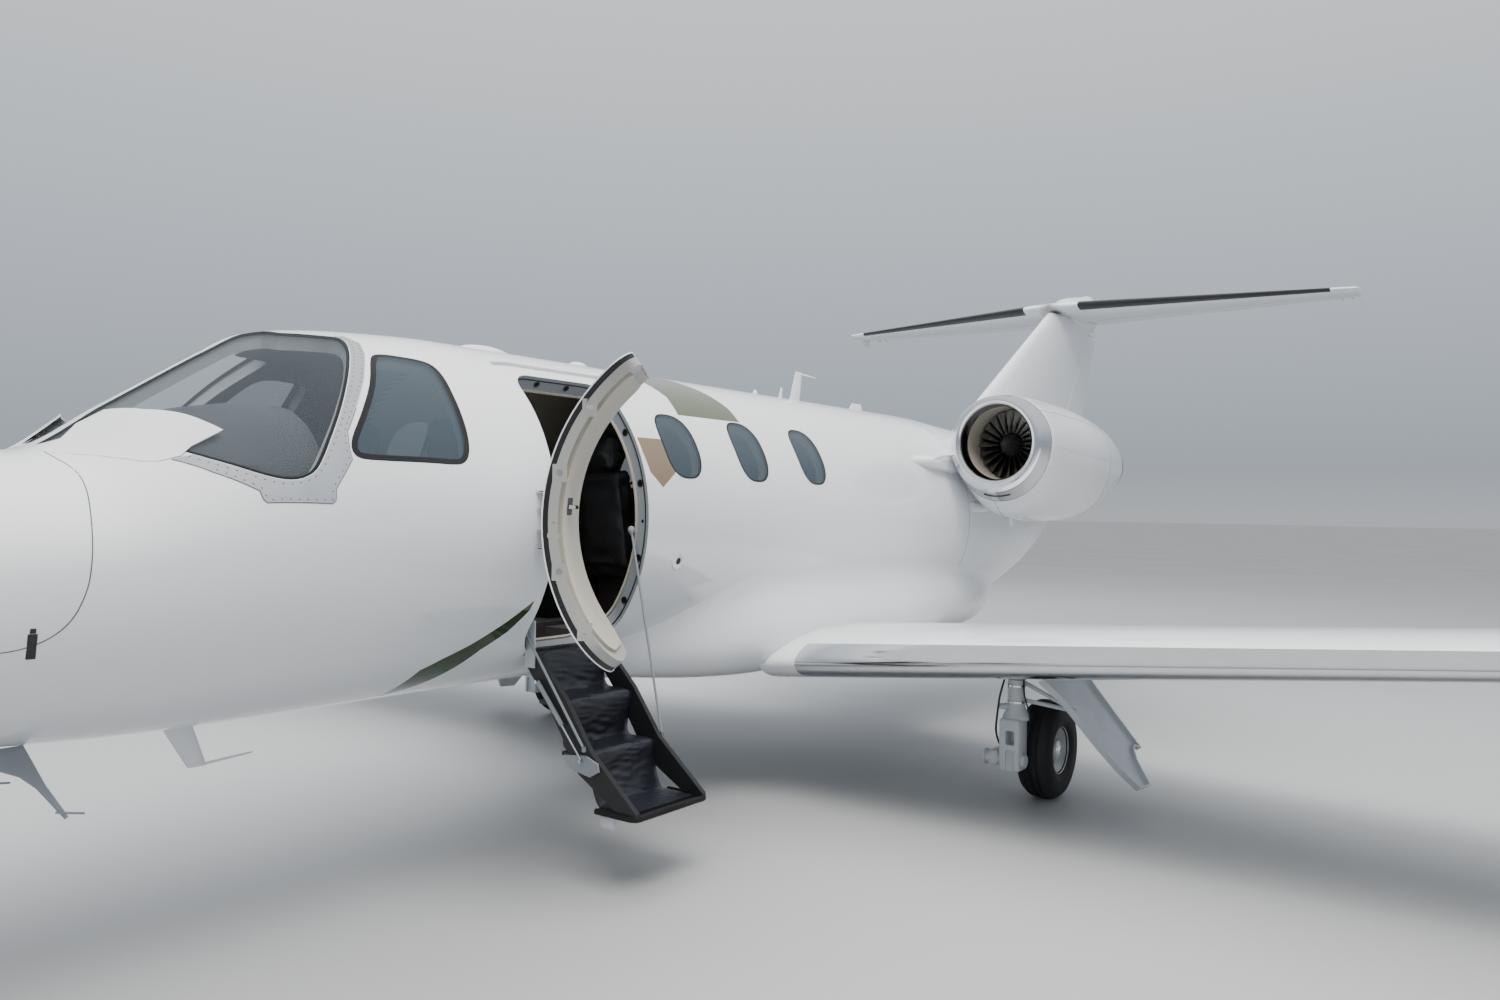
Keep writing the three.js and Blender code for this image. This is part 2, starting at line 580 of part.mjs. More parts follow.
// A flap or aileron: the rear of the wing from its round nose back, and the bay that it runs in.
function surface({ from, to }) {
  const END = 40;
  const alongHinge = (grow) =>
    rod([from - END, hingeY(from - END), hingeZ(from - END)], [to + END, hingeY(to + END), hingeZ(to + END)],
      noseRadius(from - END) + grow, noseRadius(to + END) + grow, 20);
  const slice = (x0, x1, step) =>
    loft([x0, x1].map((x) => [
      [x, hingeY(x) + step, 300], [x, hingeY(x) + 900, 300],
      [x, hingeY(x) + 900, 2200], [x, hingeY(x) + step, 2200],
    ]));
  const [x0, x1] = [from - RUN - 2, to + RUN + 2];
  return {
    moving: join(wingSkin().intersect(slice(from, to, 0)), alongHinge(-0.5).intersect(slice(from, to, -200))),
    bay: join(slice(x0, x1, 0), alongHinge(RUN).intersect(slice(x0, x1, -200))),
  };
}

const flap = surface(FLAP);
const aileron = surface(AILERON);

// Wells that the main gear folds into, open below
const LEG = { x: 1925, y: -335, radius: 48, top: 905, foot: 270, footY: -365 };
const WELL_TOP = 905;
const wells = [
  box(LEG.x - 105, LEG.x + 105, LEG.y - 125, LEG.y + 125, 500, WELL_TOP),
  box(1300, LEG.x, LEG.y - 70, LEG.y + 90, 500, WELL_TOP - 20),
  rod([1330, 0, 500], [1330, 0, WELL_TOP - 25], 292, 292, 28),
];
// Pins on which each flap and aileron turns
const PIN_TILT = 1.5; // the pin's end leans with the hinge line
function hingePin(x, way) {
  const [a, b] = [x + way * (RUN + 6), x + way * (GAP + PIN_TILT)];
  return rod([a, hingeY(a), hingeZ(a)], [b, hingeY(b), hingeZ(b)], 9, 9, 10);
}
const pins = [hingePin(FLAP.from, -1), hingePin(FLAP.to, 1), hingePin(AILERON.from, -1), hingePin(AILERON.to, 1)];
const JACK_PAD = { x: 2300, y: -480, size: 80, z: 800 };
const jackPad = box(JACK_PAD.x, JACK_PAD.x + JACK_PAD.size, JACK_PAD.y, JACK_PAD.y + JACK_PAD.size,
  JACK_PAD.z, JACK_PAD.z + 60);
addPair("wing", join(cut(wingSkin(), flap.bay, aileron.bay, ...wells), jackPad, ...pins), whitePaint);
addPair("flap", flap.moving, whitePaint);
addPair("aileron", aileron.moving, whitePaint);

// Fairing round the wing roots: y, half width, height of the widest point, top, bottom
const FAIRING = [
  [-2450, 120, 850, 900, 800],
  [-2150, 420, 880, 960, 745],
  [-1800, 620, 900, 1040, 712],
  [-1300, 830, 910, 1160, 662],
  [-1000, 900, 915, 1210, 650],
  [300, 905, 915, 1230, 650],
  [1000, 860, 920, 1200, 662],
  [1700, 770, 930, 1150, 680],
  [2250, 620, 945, 1080, 690],
  [2560, 480, 965, 1020, 800],
  [2700, 330, 980, 1000, 900],
];
const FAIRING_FULLNESS = 2.6;
const FAIRING_POINTS = 20;
function fairingRing([y, half, widest, top, bottom]) {
  const full = (v) => Math.sign(v) * Math.abs(v) ** (2 / FAIRING_FULLNESS);
  return Array.from({ length: FAIRING_POINTS }, (_, i) => {
    const angle = (2 * Math.PI * i) / FAIRING_POINTS;
    const rise = Math.sin(angle) > 0 ? top - widest : widest - bottom;
    return [half * full(Math.cos(angle)), y, widest + rise * full(Math.sin(angle))];
  });
}
const grownWing = wingSkin(WING.rootX - 0.3, GAP);
const mirrored = (solid) => solidOf(geometryOf(solid).scale(-1, 1, 1));
add(
  "belly_fairing",
  cut(loft(FAIRING.map(fairingRing)), bodyLoft(-4000, 5000, -GAP), grownWing, mirrored(grownWing)),
  whitePaint,
);

// Tail: stabilizer, elevators, fin and rudder
function stabRing(x, grow = 0) {
  const t = x / STAB.halfSpan;
  const lead = mix(STAB.rootLead, STAB.tipLead, t) - grow;
  const trail = mix(STAB.rootTrail, STAB.tipTrail, t) + grow;
  return aerofoil(0.1, 0).map(([s, h]) => [
    x, lead + s * (trail - lead), STAB.z + h * (trail - lead) + Math.sign(h) * grow,
  ]);
}
const stabHalf = (grow) => loft([0, STAB.halfSpan].map((x) => stabRing(x, grow)));
const stabSkin = (grow = 0) => join(stabHalf(grow), mirrored(stabHalf(grow)));
const stabNose = (x) => {
  const ring = stabRing(x);
  const near = ring.filter((p) => p[2] > STAB.z).sort((a, b) => Math.abs(a[1] - ELEVATOR.hingeY)
    - Math.abs(b[1] - ELEVATOR.hingeY));
  return Math.min(near[0][2], near[1][2]) - STAB.z;
};
function elevator() {
  const { hingeY: y, from, to } = ELEVATOR;
  const radii = [stabNose(from), Math.max(14, stabNose(to))];
  const nose = rod([from, y, STAB.z], [to, y, STAB.z], radii[0] - 1, radii[1] - 1, 16);
  const bay = join(
    rod([from - 8, y, STAB.z], [to + 8, y, STAB.z], radii[0] + RUN, radii[1] + RUN, 16),
    box(from - 8, to + 8, y, y + 800, STAB.z - 300, STAB.z + 300),
  );
  const rear = stabSkin().intersect(box(from, to, y, y + 800, STAB.z - 300, STAB.z + 300));
  return { moving: join(rear, nose), bay };
}
const elevatorParts = elevator();
const elevatorPins = [[ELEVATOR.from - 12, ELEVATOR.from - GAP], [ELEVATOR.to + GAP, ELEVATOR.to + 12]].map(
  ([a, b]) => rod([a, ELEVATOR.hingeY, STAB.z], [b, ELEVATOR.hingeY, STAB.z], 8, 8, 10));
const stabilizer = join(
  cut(stabSkin(), elevatorParts.bay, mirrored(elevatorParts.bay)),
  ...elevatorPins, ...elevatorPins.map(mirrored),
);
add("stabilizer", stabilizer, whitePaint);
addPair("elevator", elevatorParts.moving, whitePaint);

// Height, leading edge, trailing edge and thickness of the fin with its rudder
const finLead = (z) => FIN.leadY + (z - FIN.leadZ) * FIN.leadSlope;
const rudderHinge = (z) => RUDDER.hingeY + (z - RUDDER.hingeZ) * RUDDER.slope;
const rudderTrail = (z) => RUDDER.trailY + (z - RUDDER.hingeZ) * RUDDER.trailSlope;
function finRing(z) {
  const [lead, trail] = [finLead(z), rudderTrail(z)];
  const thickness = mix(0.075, 0.1, (z - FIN.foot) / (FIN.top - FIN.foot));
  return aerofoil(thickness, 0).map(([s, h]) => [h * (trail - lead), lead + s * (trail - lead), z]);
}
const finSkin = () => loft([FIN.foot, FIN.top].map(finRing));
const rudderNose = (z) => {
  const [lead, trail] = [finLead(z), rudderTrail(z)];
  const thickness = mix(0.075, 0.1, (z - FIN.foot) / (FIN.top - FIN.foot));
  return thickness * halfThickness((rudderHinge(z) - lead) / (trail - lead)) * (trail - lead);
};

// The rear of the fin from the rudder's hinge line back, between two heights.
const behindHinge = (z0, z1) =>
  loft([z0, z1].map((z) => [
    [-300, rudderHinge(z), z], [300, rudderHinge(z), z], [300, rudderHinge(z) + 1500, z],
    [-300, rudderHinge(z) + 1500, z],
  ]));
const hingeRod = (z0, z1, r0, r1, sides = 20) =>
  rod([0, rudderHinge(z0), z0], [0, rudderHinge(z1), z1], r0, r1, sides);

// Bullet fairing on top of the fin: y, half width, height of the widest point, top, bottom
const BULLET = [
  [5330, 20, 3850, 3890, 3810], [5480, 75, 3868, 3975, 3785], [5750, 118, 3880, 4052, 3752],
  [6150, 122, 3890, 4128, 3742], [6490, 88, 3900, 4189, 3760], [6600, 30, 3905, 4150, 3830],
];
const bullet = loft(BULLET.map(([y, half, widest, top, bottom]) =>
  Array.from({ length: 16 }, (_, i) => {
    const angle = (2 * Math.PI * i) / 16;
    const rise = Math.sin(angle) > 0 ? top - widest : widest - bottom;
    return [half * Math.cos(angle), y, widest + rise * Math.sin(angle)];
  })));

function fin() {
  const { foot, top } = RUDDER;
  const bayLow = foot - 22;
  const bay = join(
    behindHinge(bayLow, top + 32),
    hingeRod(bayLow, top + 32, rudderNose(bayLow) + RUN, rudderNose(top + 32) + RUN),
  );
  const pins = [[foot - 36, foot - GAP - 6], [top + GAP + 6, top + 56]].map(([a, b]) => hingeRod(a, b, 9, 9, 10));
  const elevatorRoom = box(-150, 150, ELEVATOR.hingeY - 60, 6800, STAB.z - 5, STAB.z + 5);
  const whole = join(cut(finSkin(), bay), bullet);
  return join(
    cut(whole, stabSkin(GAP), bodyLoft(1500, TAIL_END, -GAP), belowTail()),
    ...pins.map((p) => p.subtract(stabSkin(GAP))),
  );
}
// Everything under the tail cone's shoulder, so that the fin's foot leaves nothing inside it.
const belowTail = () => box(-400, 400, 2000, 7000, 1500, 2200);
add("fin", fin(), whitePaint);

const rudder = join(
  finSkin().intersect(behindHinge(RUDDER.foot, RUDDER.top)),
  hingeRod(RUDDER.foot, RUDDER.top, rudderNose(RUDDER.foot) - 1, rudderNose(RUDDER.top) - 1),
);
add("rudder", rudder, whitePaint);

// Nacelles: y, half width, rise of the top and of the bottom, x and z of the middle, thickness of the wall
const NACELLE = [
  [ENGINE.lip, 300, 300, 300, 1158, 2136, 32],
  [1106, 332, 332, 332, 1158, 2136, 60],
  [1200, 375, 342, 414, 1158, 2136, 60],
  [1400, 383, 360, 518, 1145, 2130, 60],
  [1620, 384, 374, 540, 1130, 2124, 40],
  [2300, 391, 389, 534, 1085, 2105, 25],
  [2760, 374, 382, 499, 1055, 2093, 25],
  [3280, 323, 354, 407, 1021, 2078, 20],
  [ENGINE.tail, 262, 262, 262, 990, 2065, 14],
];
const NACELLE_SIDES = 24;
function nacelleRing([y, half, top, bottom, x, z, wall], inset = 0) {
  return Array.from({ length: NACELLE_SIDES }, (_, i) => {
    const angle = (2 * Math.PI * i) / NACELLE_SIDES;
    const rise = (Math.sin(angle) > 0 ? top : bottom) - inset * wall;
    return [x + (half - inset * wall) * Math.cos(angle), y, z + rise * Math.sin(angle)];
  });
}
const INLET = 292;
const inletDuct = join(
  rod([ENGINE.x, 900, ENGINE.z], [ENGINE.x, 1622, ENGINE.z], INLET, INLET, NACELLE_SIDES),
  rod([ENGINE.x, ENGINE.lip - 20, ENGINE.z], [ENGINE.x, 1140, ENGINE.z], 276, 262, NACELLE_SIDES),
);
const nacelleCavity = loft([...NACELLE.filter(([y]) => y > 1600).map((row) => nacelleRing(row, 1)),
  nacelleRing([ENGINE.tail + 50, 262, 262, 262, 987, 2064, 14], 1)]);

// Pylon between the nacelle and the body: [x, front, rear, thickness]. It ends halfway through the nacelle's wall.
const PYLON = [[380, 50, 3350, 150], [980, 1300, 3200, 130]];
const pylon = loft(PYLON.map(([x, front, rear, thick]) =>
  aerofoil(1, 0).map(([s, h]) => [x, front + s * (rear - front), 1995 + h * thick])));
const nacelle = join(
  cut(loft(NACELLE.map((row) => nacelleRing(row))), inletDuct, nacelleCavity),
  cut(pylon, loft(NACELLE.map((row) => nacelleRing(row, 0.4)))),
);
addPair("nacelle", cut(nacelle, bodyLoft(0, 5500, -GAP)), whitePaint);

// Each engine is one plain block with its tailpipe, on four arms in the nacelle: y, radius, x, z
const CORE = [
  [1660, 215, 1127, 2120], [2700, 215, 1058, 2085], [2900, 180, 1046, 2081], [3420, 165, 1012, 2072],
  [3440, 60, 1011, 2072], [3560, 8, 1003, 2070],
];
const core = loft(CORE.map(([y, radius, x, z]) =>
  Array.from({ length: 18 }, (_, i) => {
    const angle = (2 * Math.PI * i) / 18;
    return [x + radius * Math.cos(angle), y, z + radius * Math.sin(angle)];
  })));
const arms = [0, 90, 180, 270].map((angle) => {
  const [c, s] = [Math.cos(rad(angle)), Math.sin(rad(angle))];
  return rod([1085 + 180 * c, 2250, 2098 + 180 * s], [1085 + 700 * c, 2250, 2098 + 700 * s], 35, 35, 8);
});
const roomForArms = loft(NACELLE.filter(([y]) => y > 1600).map(([...row]) => {
  row[6] += GAP;
  return nacelleRing(row, 1);
}));
addPair("engine_core", join(core, join(...arms).intersect(roomForArms)), darkMetal);

// Fan: spinner, hub, blades and the stub of its shaft
function fan() {
  const { y, radius, blades } = FAN;
  const hub = turned([[0, y - 190], [30, y - 165], [62, y - 100], [90, y - 20], [92, y + 70], [0, y + 70]], 12);
  const shaft = rod([0, y + 60, 0], [0, CORE[0][0] - GAP, 0], 40, 40, 12);
  const ring = Array.from({ length: blades }, (_, i) => {
    const blade = new THREE.BoxGeometry(90, 5, radius - 80);
    blade.rotateZ(rad(52)).translate(0, 0, (radius + 80) / 2).rotateY((2 * Math.PI * i) / blades);
    return solidOf(blade.translate(0, y + 20, 0));
  });
  return join(hub, shaft, ...ring);
}
for (const [name, side] of SIDES) {
  const mesh = add("fan_" + name, fan(), darkMetal);
  mesh.position.set(side * ENGINE.x, 0, ENGINE.z);
}

// Wheels: a rim turned about the axle, and its tyre
function rimProfile({ width, rim, bore }) {
  const half = width * 0.4;
  const [seat, flange, web] = [rim - 14, rim - 2, half * 0.35];
  return [[bore, -half * 0.8], [bore + 26, -half * 0.8], [bore + 26, -web], [seat - 14, -web],
    [flange, -half], [seat, -half + 12], [seat, half - 12], [flange, half], [seat - 14, web],
    [bore + 26, web], [bore, half * 0.8], [bore, -half * 0.8]];
}

const RIM_HOLES = { count: 8, circle: 88, radius: 15, squash: 1.35 };
function rimHoles() {
  const { count, circle, radius, squash } = RIM_HOLES;
  return Array.from({ length: count }, (_, i) => {
    const hole = new THREE.CylinderGeometry(radius, radius, 200, 8).rotateZ(Math.PI / 2);
    hole.scale(1, 1, squash).translate(0, circle, 0).rotateX((2 * Math.PI * (i + 0.5)) / count);
    return solidOf(hole);
  });
}

const WHEEL_SIDES = 24;
function tyreProfile({ width, rim, radius }) {
  const bead = width * 0.4 - 13;
  const [half, seat] = [width / 2, rim - 14 + 2 * GAP];
  const height = radius - seat;
  const side = [[seat, bead], [seat + height * 0.28, half * 0.93], [seat + height * 0.62, half],
    [seat + height * 0.88, half * 0.78], [radius, half * 0.4]];
  return [...side.map(([r, w]) => [r, -w]), ...side.reverse(), [seat, -bead]];
}

for (const [name, side] of SIDES) {
  const wheel = new THREE.Group();
  wheel.position.set(side * MAIN.x, 0, MAIN.z);
  aircraft.add(wheel);
  add("main_wheel_" + name, cut(turned(rimProfile(MAIN), WHEEL_SIDES, "x"), ...rimHoles()), whitePaint, wheel);
  add("main_tyre_" + name, turned(tyreProfile(MAIN), WHEEL_SIDES, "x"), tyreRubber, wheel);
}

// Main gear: leg with its trunnion, and the trailing link that carries the axle beside the tyre
const strut = (grow = 0) =>
  rod([LEG.x, LEG.y, LEG.foot + 60], [LEG.x, LEG.y, LEG.top - GAP], LEG.radius + grow, LEG.radius + grow, 14);
const LINK = { x: 1815, pivot: 34 };
const legBody = join(
  strut(),
  rod([LEG.x, LEG.y, 790], [LEG.x, LEG.y, 880], LEG.radius, 78, 14),
  rod([LEG.x, LEG.y, 716], [LEG.x, LEG.y, 732], LEG.radius + 9, LEG.radius + 9, 14),
  rod([LEG.x, LEG.y, 470], [LEG.x, LEG.y, 560], 74, LEG.radius, 14),
  rod([LEG.x - 90, LEG.y - 40, 560], [LEG.x, LEG.y, 560], 15, 22, 10),
  rod([LEG.x, LEG.y - 125 + GAP, 850], [LEG.x, LEG.y + 125 - GAP, 850], 34, 34, 12),
  box(LEG.x - 66, LEG.x + 52, LEG.footY - 58, LEG.footY + 70, LEG.foot - 55, LEG.foot + 230),
);
const forkGap = [
  box(LEG.x - 26, LEG.x + 26, LEG.footY - 90, LEG.footY + 20, LEG.foot + 90, LEG.foot + 168),
  box(LEG.x - 26, LEG.x + 26, LEG.footY - 90, LEG.footY - 40, LEG.foot - 80, LEG.foot + 60),
];
const mainLeg = join(
  cut(legBody, ...forkGap),
  rod([LINK.x - 46, LEG.footY, LEG.foot], [LEG.x + 70, LEG.footY, LEG.foot], LINK.pivot, LINK.pivot, 12),
  rod([LINK.x - 60, LEG.footY, LEG.foot], [LINK.x - 40, LEG.footY, LEG.foot], 44, 44, 12),
  box(LINK.x - 30, LINK.x + 30, LEG.footY - 34, 50, LEG.foot - 40, LEG.foot + 44),
  rod([LINK.x - 30, 0, MAIN.z], [MAIN.x + 70, 0, MAIN.z], MAIN.bore - 0.6, MAIN.bore - 0.6, 14),
  rod([LINK.x, -90, LEG.foot + 20], [LEG.x - 35, LEG.y, 690], 30, 30, 10),
);
addPair("main_leg", mainLeg, whitePaint);

// Gear door: a tray fixed to the leg, leaning out from the wing. Its outline is [share of the way down, y],
// with an arch at the foot.
const GEAR_DOOR = { head: [2120, 742], foot: [2545, 165], thick: 12, rim: 34, edge: 10 };
const GEAR_DOOR_OUTLINE = [
  [0, 112], [0, -500], [0.2, -400], [0.6, -326], [0.82, -262], [1, -170], [1.02, -20], [0.93, -2],
  [0.82, 22], [0.74, 76], [0.72, 118], [0.755, 192], [0.7, 182], [0.42, 150],
];
// A plate with an outline of [share of the way from head to foot, y], from one depth to another below its face.
function plate(outline, { head, foot }, from, to, inset = 0) {
  const length = Math.hypot(foot[0] - head[0], foot[1] - head[1]);
  const along = new THREE.Vector3((foot[0] - head[0]) / length, 0, (foot[1] - head[1]) / length);
  const across = new THREE.Vector3(0, 1, 0);
  const place = new THREE.Matrix4().makeBasis(along, across, along.clone().cross(across));
  place.setPosition(head[0], 0, head[1]);
  const flat = outline.map(([share, y]) => new THREE.Vector2(share * length, y));
  const middle = flat.reduce((sum, p) => sum.add(p), new THREE.Vector2()).divideScalar(flat.length);
  const inner = flat.map((p) => p.clone().lerp(middle, inset / Math.max(inset, p.distanceTo(middle))));
  const geometry = new THREE.ExtrudeGeometry(new THREE.Shape(inner), { depth: to - from, bevelEnabled: false });
  return solidOf(geometry.translate(0, 0, from).applyMatrix4(place));
}

function gearDoor() {
  const { head, foot, thick, rim, edge } = GEAR_DOOR;
  const tray = cut(
    plate(GEAR_DOOR_OUTLINE, GEAR_DOOR, -thick, rim - thick),
    plate(GEAR_DOOR_OUTLINE, GEAR_DOOR, 0, rim, edge),
  );
  const stay = (y, z) => rod([LEG.x, LEG.y + 20, z], [mix(head[0], foot[0], 0.3), y, mix(head[1], foot[1], 0.3)],
    12, 12, 10);
  return cut(join(tray, stay(-300, 700), stay(-300, 600)), strut(GAP));
}
addPair("gear_door", gearDoor(), whitePaint);

// Nose gear: fixed leg with its brace, and the steered fork with the wheel
const NOSE_LEG = { radius: 42, joint: 640, crown: 520 };
const noseLeg = join(
  rod([0, NOSE.steerY, NOSE_LEG.joint], [0, NOSE.steerY, NOSE_WELL.top - GAP], NOSE_LEG.radius),
  rod([0, NOSE.steerY, 760], [0, NOSE.steerY - 420, 1040], 20, 20, 12),
  box(-NOSE_WELL.half + GAP, NOSE_WELL.half - GAP, NOSE.steerY - 450, NOSE.steerY - 400, 1000, 1050),
  box(-NOSE_WELL.half + GAP, NOSE_WELL.half - GAP, NOSE.steerY - 30, NOSE.steerY + 30, 960, 1020),
);
add("nose_leg", noseLeg, whitePaint);

const fork = join(
  rod([0, NOSE.steerY, NOSE_LEG.crown - 20], [0, NOSE.steerY, NOSE_LEG.joint - GAP], 30),
  box(-88, 88, NOSE.steerY - 42, NOSE.steerY + 60, NOSE_LEG.crown - 40, NOSE_LEG.crown),
  ...[-1, 1].map((way) => join(
    box(way > 0 ? 68 : -88, way > 0 ? 88 : -68, NOSE.steerY - 30, NOSE.steerY + 60, 300, NOSE_LEG.crown),
    box(way > 0 ? 68 : -88, way > 0 ? 88 : -68, NOSE.y - 45, NOSE.y + 45, NOSE.z - 45, 330),
  )),
  rod([-90, NOSE.y, NOSE.z], [90, NOSE.y, NOSE.z], NOSE.bore - 0.6, NOSE.bore - 0.6),
);
add("nose_fork", fork, whitePaint);
const noseWheel = new THREE.Group();
noseWheel.position.set(0, NOSE.y, NOSE.z);
aircraft.add(noseWheel);
add("nose_wheel", turned(rimProfile(NOSE), WHEEL_SIDES, "x"), whitePaint, noseWheel);
add("nose_tyre", turned(tyreProfile(NOSE), WHEEL_SIDES, "x"), tyreRubber, noseWheel);

// Nose gear doors, hanging open on both edges of the well, each with a pointed rear corner
const NOSE_DOOR = { head: [NOSE_WELL.half + 6, 800], foot: [300, 565], thick: 12 };
const NOSE_DOOR_OUTLINE = [
  [-0.05, -5540], [-0.05, -4575], [0.5, -4533], [0.95, -4484], [0.97, -4494], [0.52, -4560], [0.34, -4602],
  [0.24, -4650], [0.3, -4760], [0.62, -4900], [0.68, -5380], [0.4, -5520],
];
const noseDoor = cut(
  join(
    plate(NOSE_DOOR_OUTLINE, NOSE_DOOR, 0, NOSE_DOOR.thick),
    ...[-5300, -4760].map((y) => box(NOSE_WELL.half + 2, NOSE_WELL.half + 14, y - 15, y + 15, 780, 900)),
  ),
  bodyLoft(NOSE_TIP, -4000, -GAP),
);
addPair("nose_door", noseDoor, whitePaint);

// The origin is under the middle of the whole length.
aircraft.position.y = -(NOSE_TIP + rudderTrail(FIN.top)) / 2;

export default aircraft;
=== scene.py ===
# Looks of a light business jet, parked with its cabin door open and its stairs down.
# Metres, nose towards -Y, left side towards +X. The tables count y from the main wheels' axle.
import math

import bmesh
import bpy
import numpy as np
from mathutils import Matrix, Vector
from mathutils.geometry import delaunay_2d_cdt


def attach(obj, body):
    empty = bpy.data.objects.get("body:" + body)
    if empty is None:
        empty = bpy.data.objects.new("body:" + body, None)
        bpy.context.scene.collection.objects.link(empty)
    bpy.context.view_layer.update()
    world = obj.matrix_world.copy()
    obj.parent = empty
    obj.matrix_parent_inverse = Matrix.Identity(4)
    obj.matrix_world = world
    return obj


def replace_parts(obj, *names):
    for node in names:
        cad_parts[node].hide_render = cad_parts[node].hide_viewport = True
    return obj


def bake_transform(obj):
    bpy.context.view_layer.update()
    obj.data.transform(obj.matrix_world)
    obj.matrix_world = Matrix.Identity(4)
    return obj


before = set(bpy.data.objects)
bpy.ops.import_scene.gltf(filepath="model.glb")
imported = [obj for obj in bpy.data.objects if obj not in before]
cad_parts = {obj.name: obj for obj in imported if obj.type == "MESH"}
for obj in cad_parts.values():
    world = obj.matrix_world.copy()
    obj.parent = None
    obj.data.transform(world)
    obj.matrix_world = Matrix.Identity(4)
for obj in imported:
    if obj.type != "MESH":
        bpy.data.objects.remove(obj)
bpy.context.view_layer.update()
tableShift = -0.25126  # from the tables' y to the frame's y
print("frame loaded:", len(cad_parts), "nodes")


# Nodes and colours
def linear(hexColour):
    parts = [int(hexColour[i:i + 2], 16) / 255 for i in (1, 3, 5)]
    return tuple(v / 12.92 if v <= 0.04045 else ((v + 0.055) / 1.055) ** 2.4 for v in parts) + (1.0,)


def addNode(tree, kind, inputs=None, **settings):
    made = tree.nodes.new(kind)
    for key, value in settings.items():
        setattr(made, key, value)
    for key, value in (inputs or {}).items():
        if isinstance(value, bpy.types.NodeSocket):
            tree.links.new(value, made.inputs[key])
        else:
            made.inputs[key].default_value = value
    return made


# A material from a dictionary: colour, roughness, metallic and so on, with fine variation in colour,
# roughness and height. grain is the size in mm of the fine pattern, cloud of the slow one.
def makeMaterial(name, look):
    material = bpy.data.materials.new(name)
    material.use_nodes = True
    tree = material.node_tree
    shader = tree.nodes["Principled BSDF"]
    for socket, value in look.get("sockets", {}).items():
        shader.inputs[socket].default_value = value
    shader.inputs["Metallic"].default_value = look.get("metallic", 0.0)
    place = addNode(tree, "ShaderNodeTexCoord").outputs["Object"]
    if "stretch" in look:
        place = addNode(tree, "ShaderNodeMapping", {"Vector": place, "Scale": look["stretch"]}).outputs[0]
    slow = addNode(tree, "ShaderNodeTexNoise", {
        "Vector": place, "Scale": 1000 / look.get("cloud", 600), "Detail": 4.0, "Roughness": 0.6})
    fine = addNode(tree, "ShaderNodeTexNoise", {
        "Vector": place, "Scale": 1000 / look.get("grain", 3), "Detail": 3.0, "Roughness": 0.55})
    colour = addNode(tree, "ShaderNodeMix", {
        0: slow.outputs[0], 6: linear(look["colour"]), 7: linear(look.get("shade", look["colour"]))},
        data_type="RGBA")
    tree.links.new(colour.outputs[2], shader.inputs["Base Color"])
    low, high = look.get("roughness", (0.4, 0.5))
    rough = addNode(tree, "ShaderNodeMapRange", {
        "Value": slow.outputs[0], "From Min": 0.3, "From Max": 0.7, "To Min": low, "To Max": high})
    tree.links.new(rough.outputs[0], shader.inputs["Roughness"])
    if look.get("bump"):
        pattern = fine.outputs[0]
        if look.get("cells"):
            cells = addNode(tree, "ShaderNodeTexVoronoi", {"Vector": place, "Scale": 1000 / look["cells"]})
            pattern = addNode(tree, "ShaderNodeMath", {0: cells.outputs[0], 1: fine.outputs[0]},
                              operation="MULTIPLY").outputs[0]
        bump = addNode(tree, "ShaderNodeBump", {
            "Height": pattern, "Strength": look.get("strength", 0.3), "Distance": look["bump"] / 1000})
        tree.links.new(bump.outputs[0], shader.inputs["Normal"])
    return material


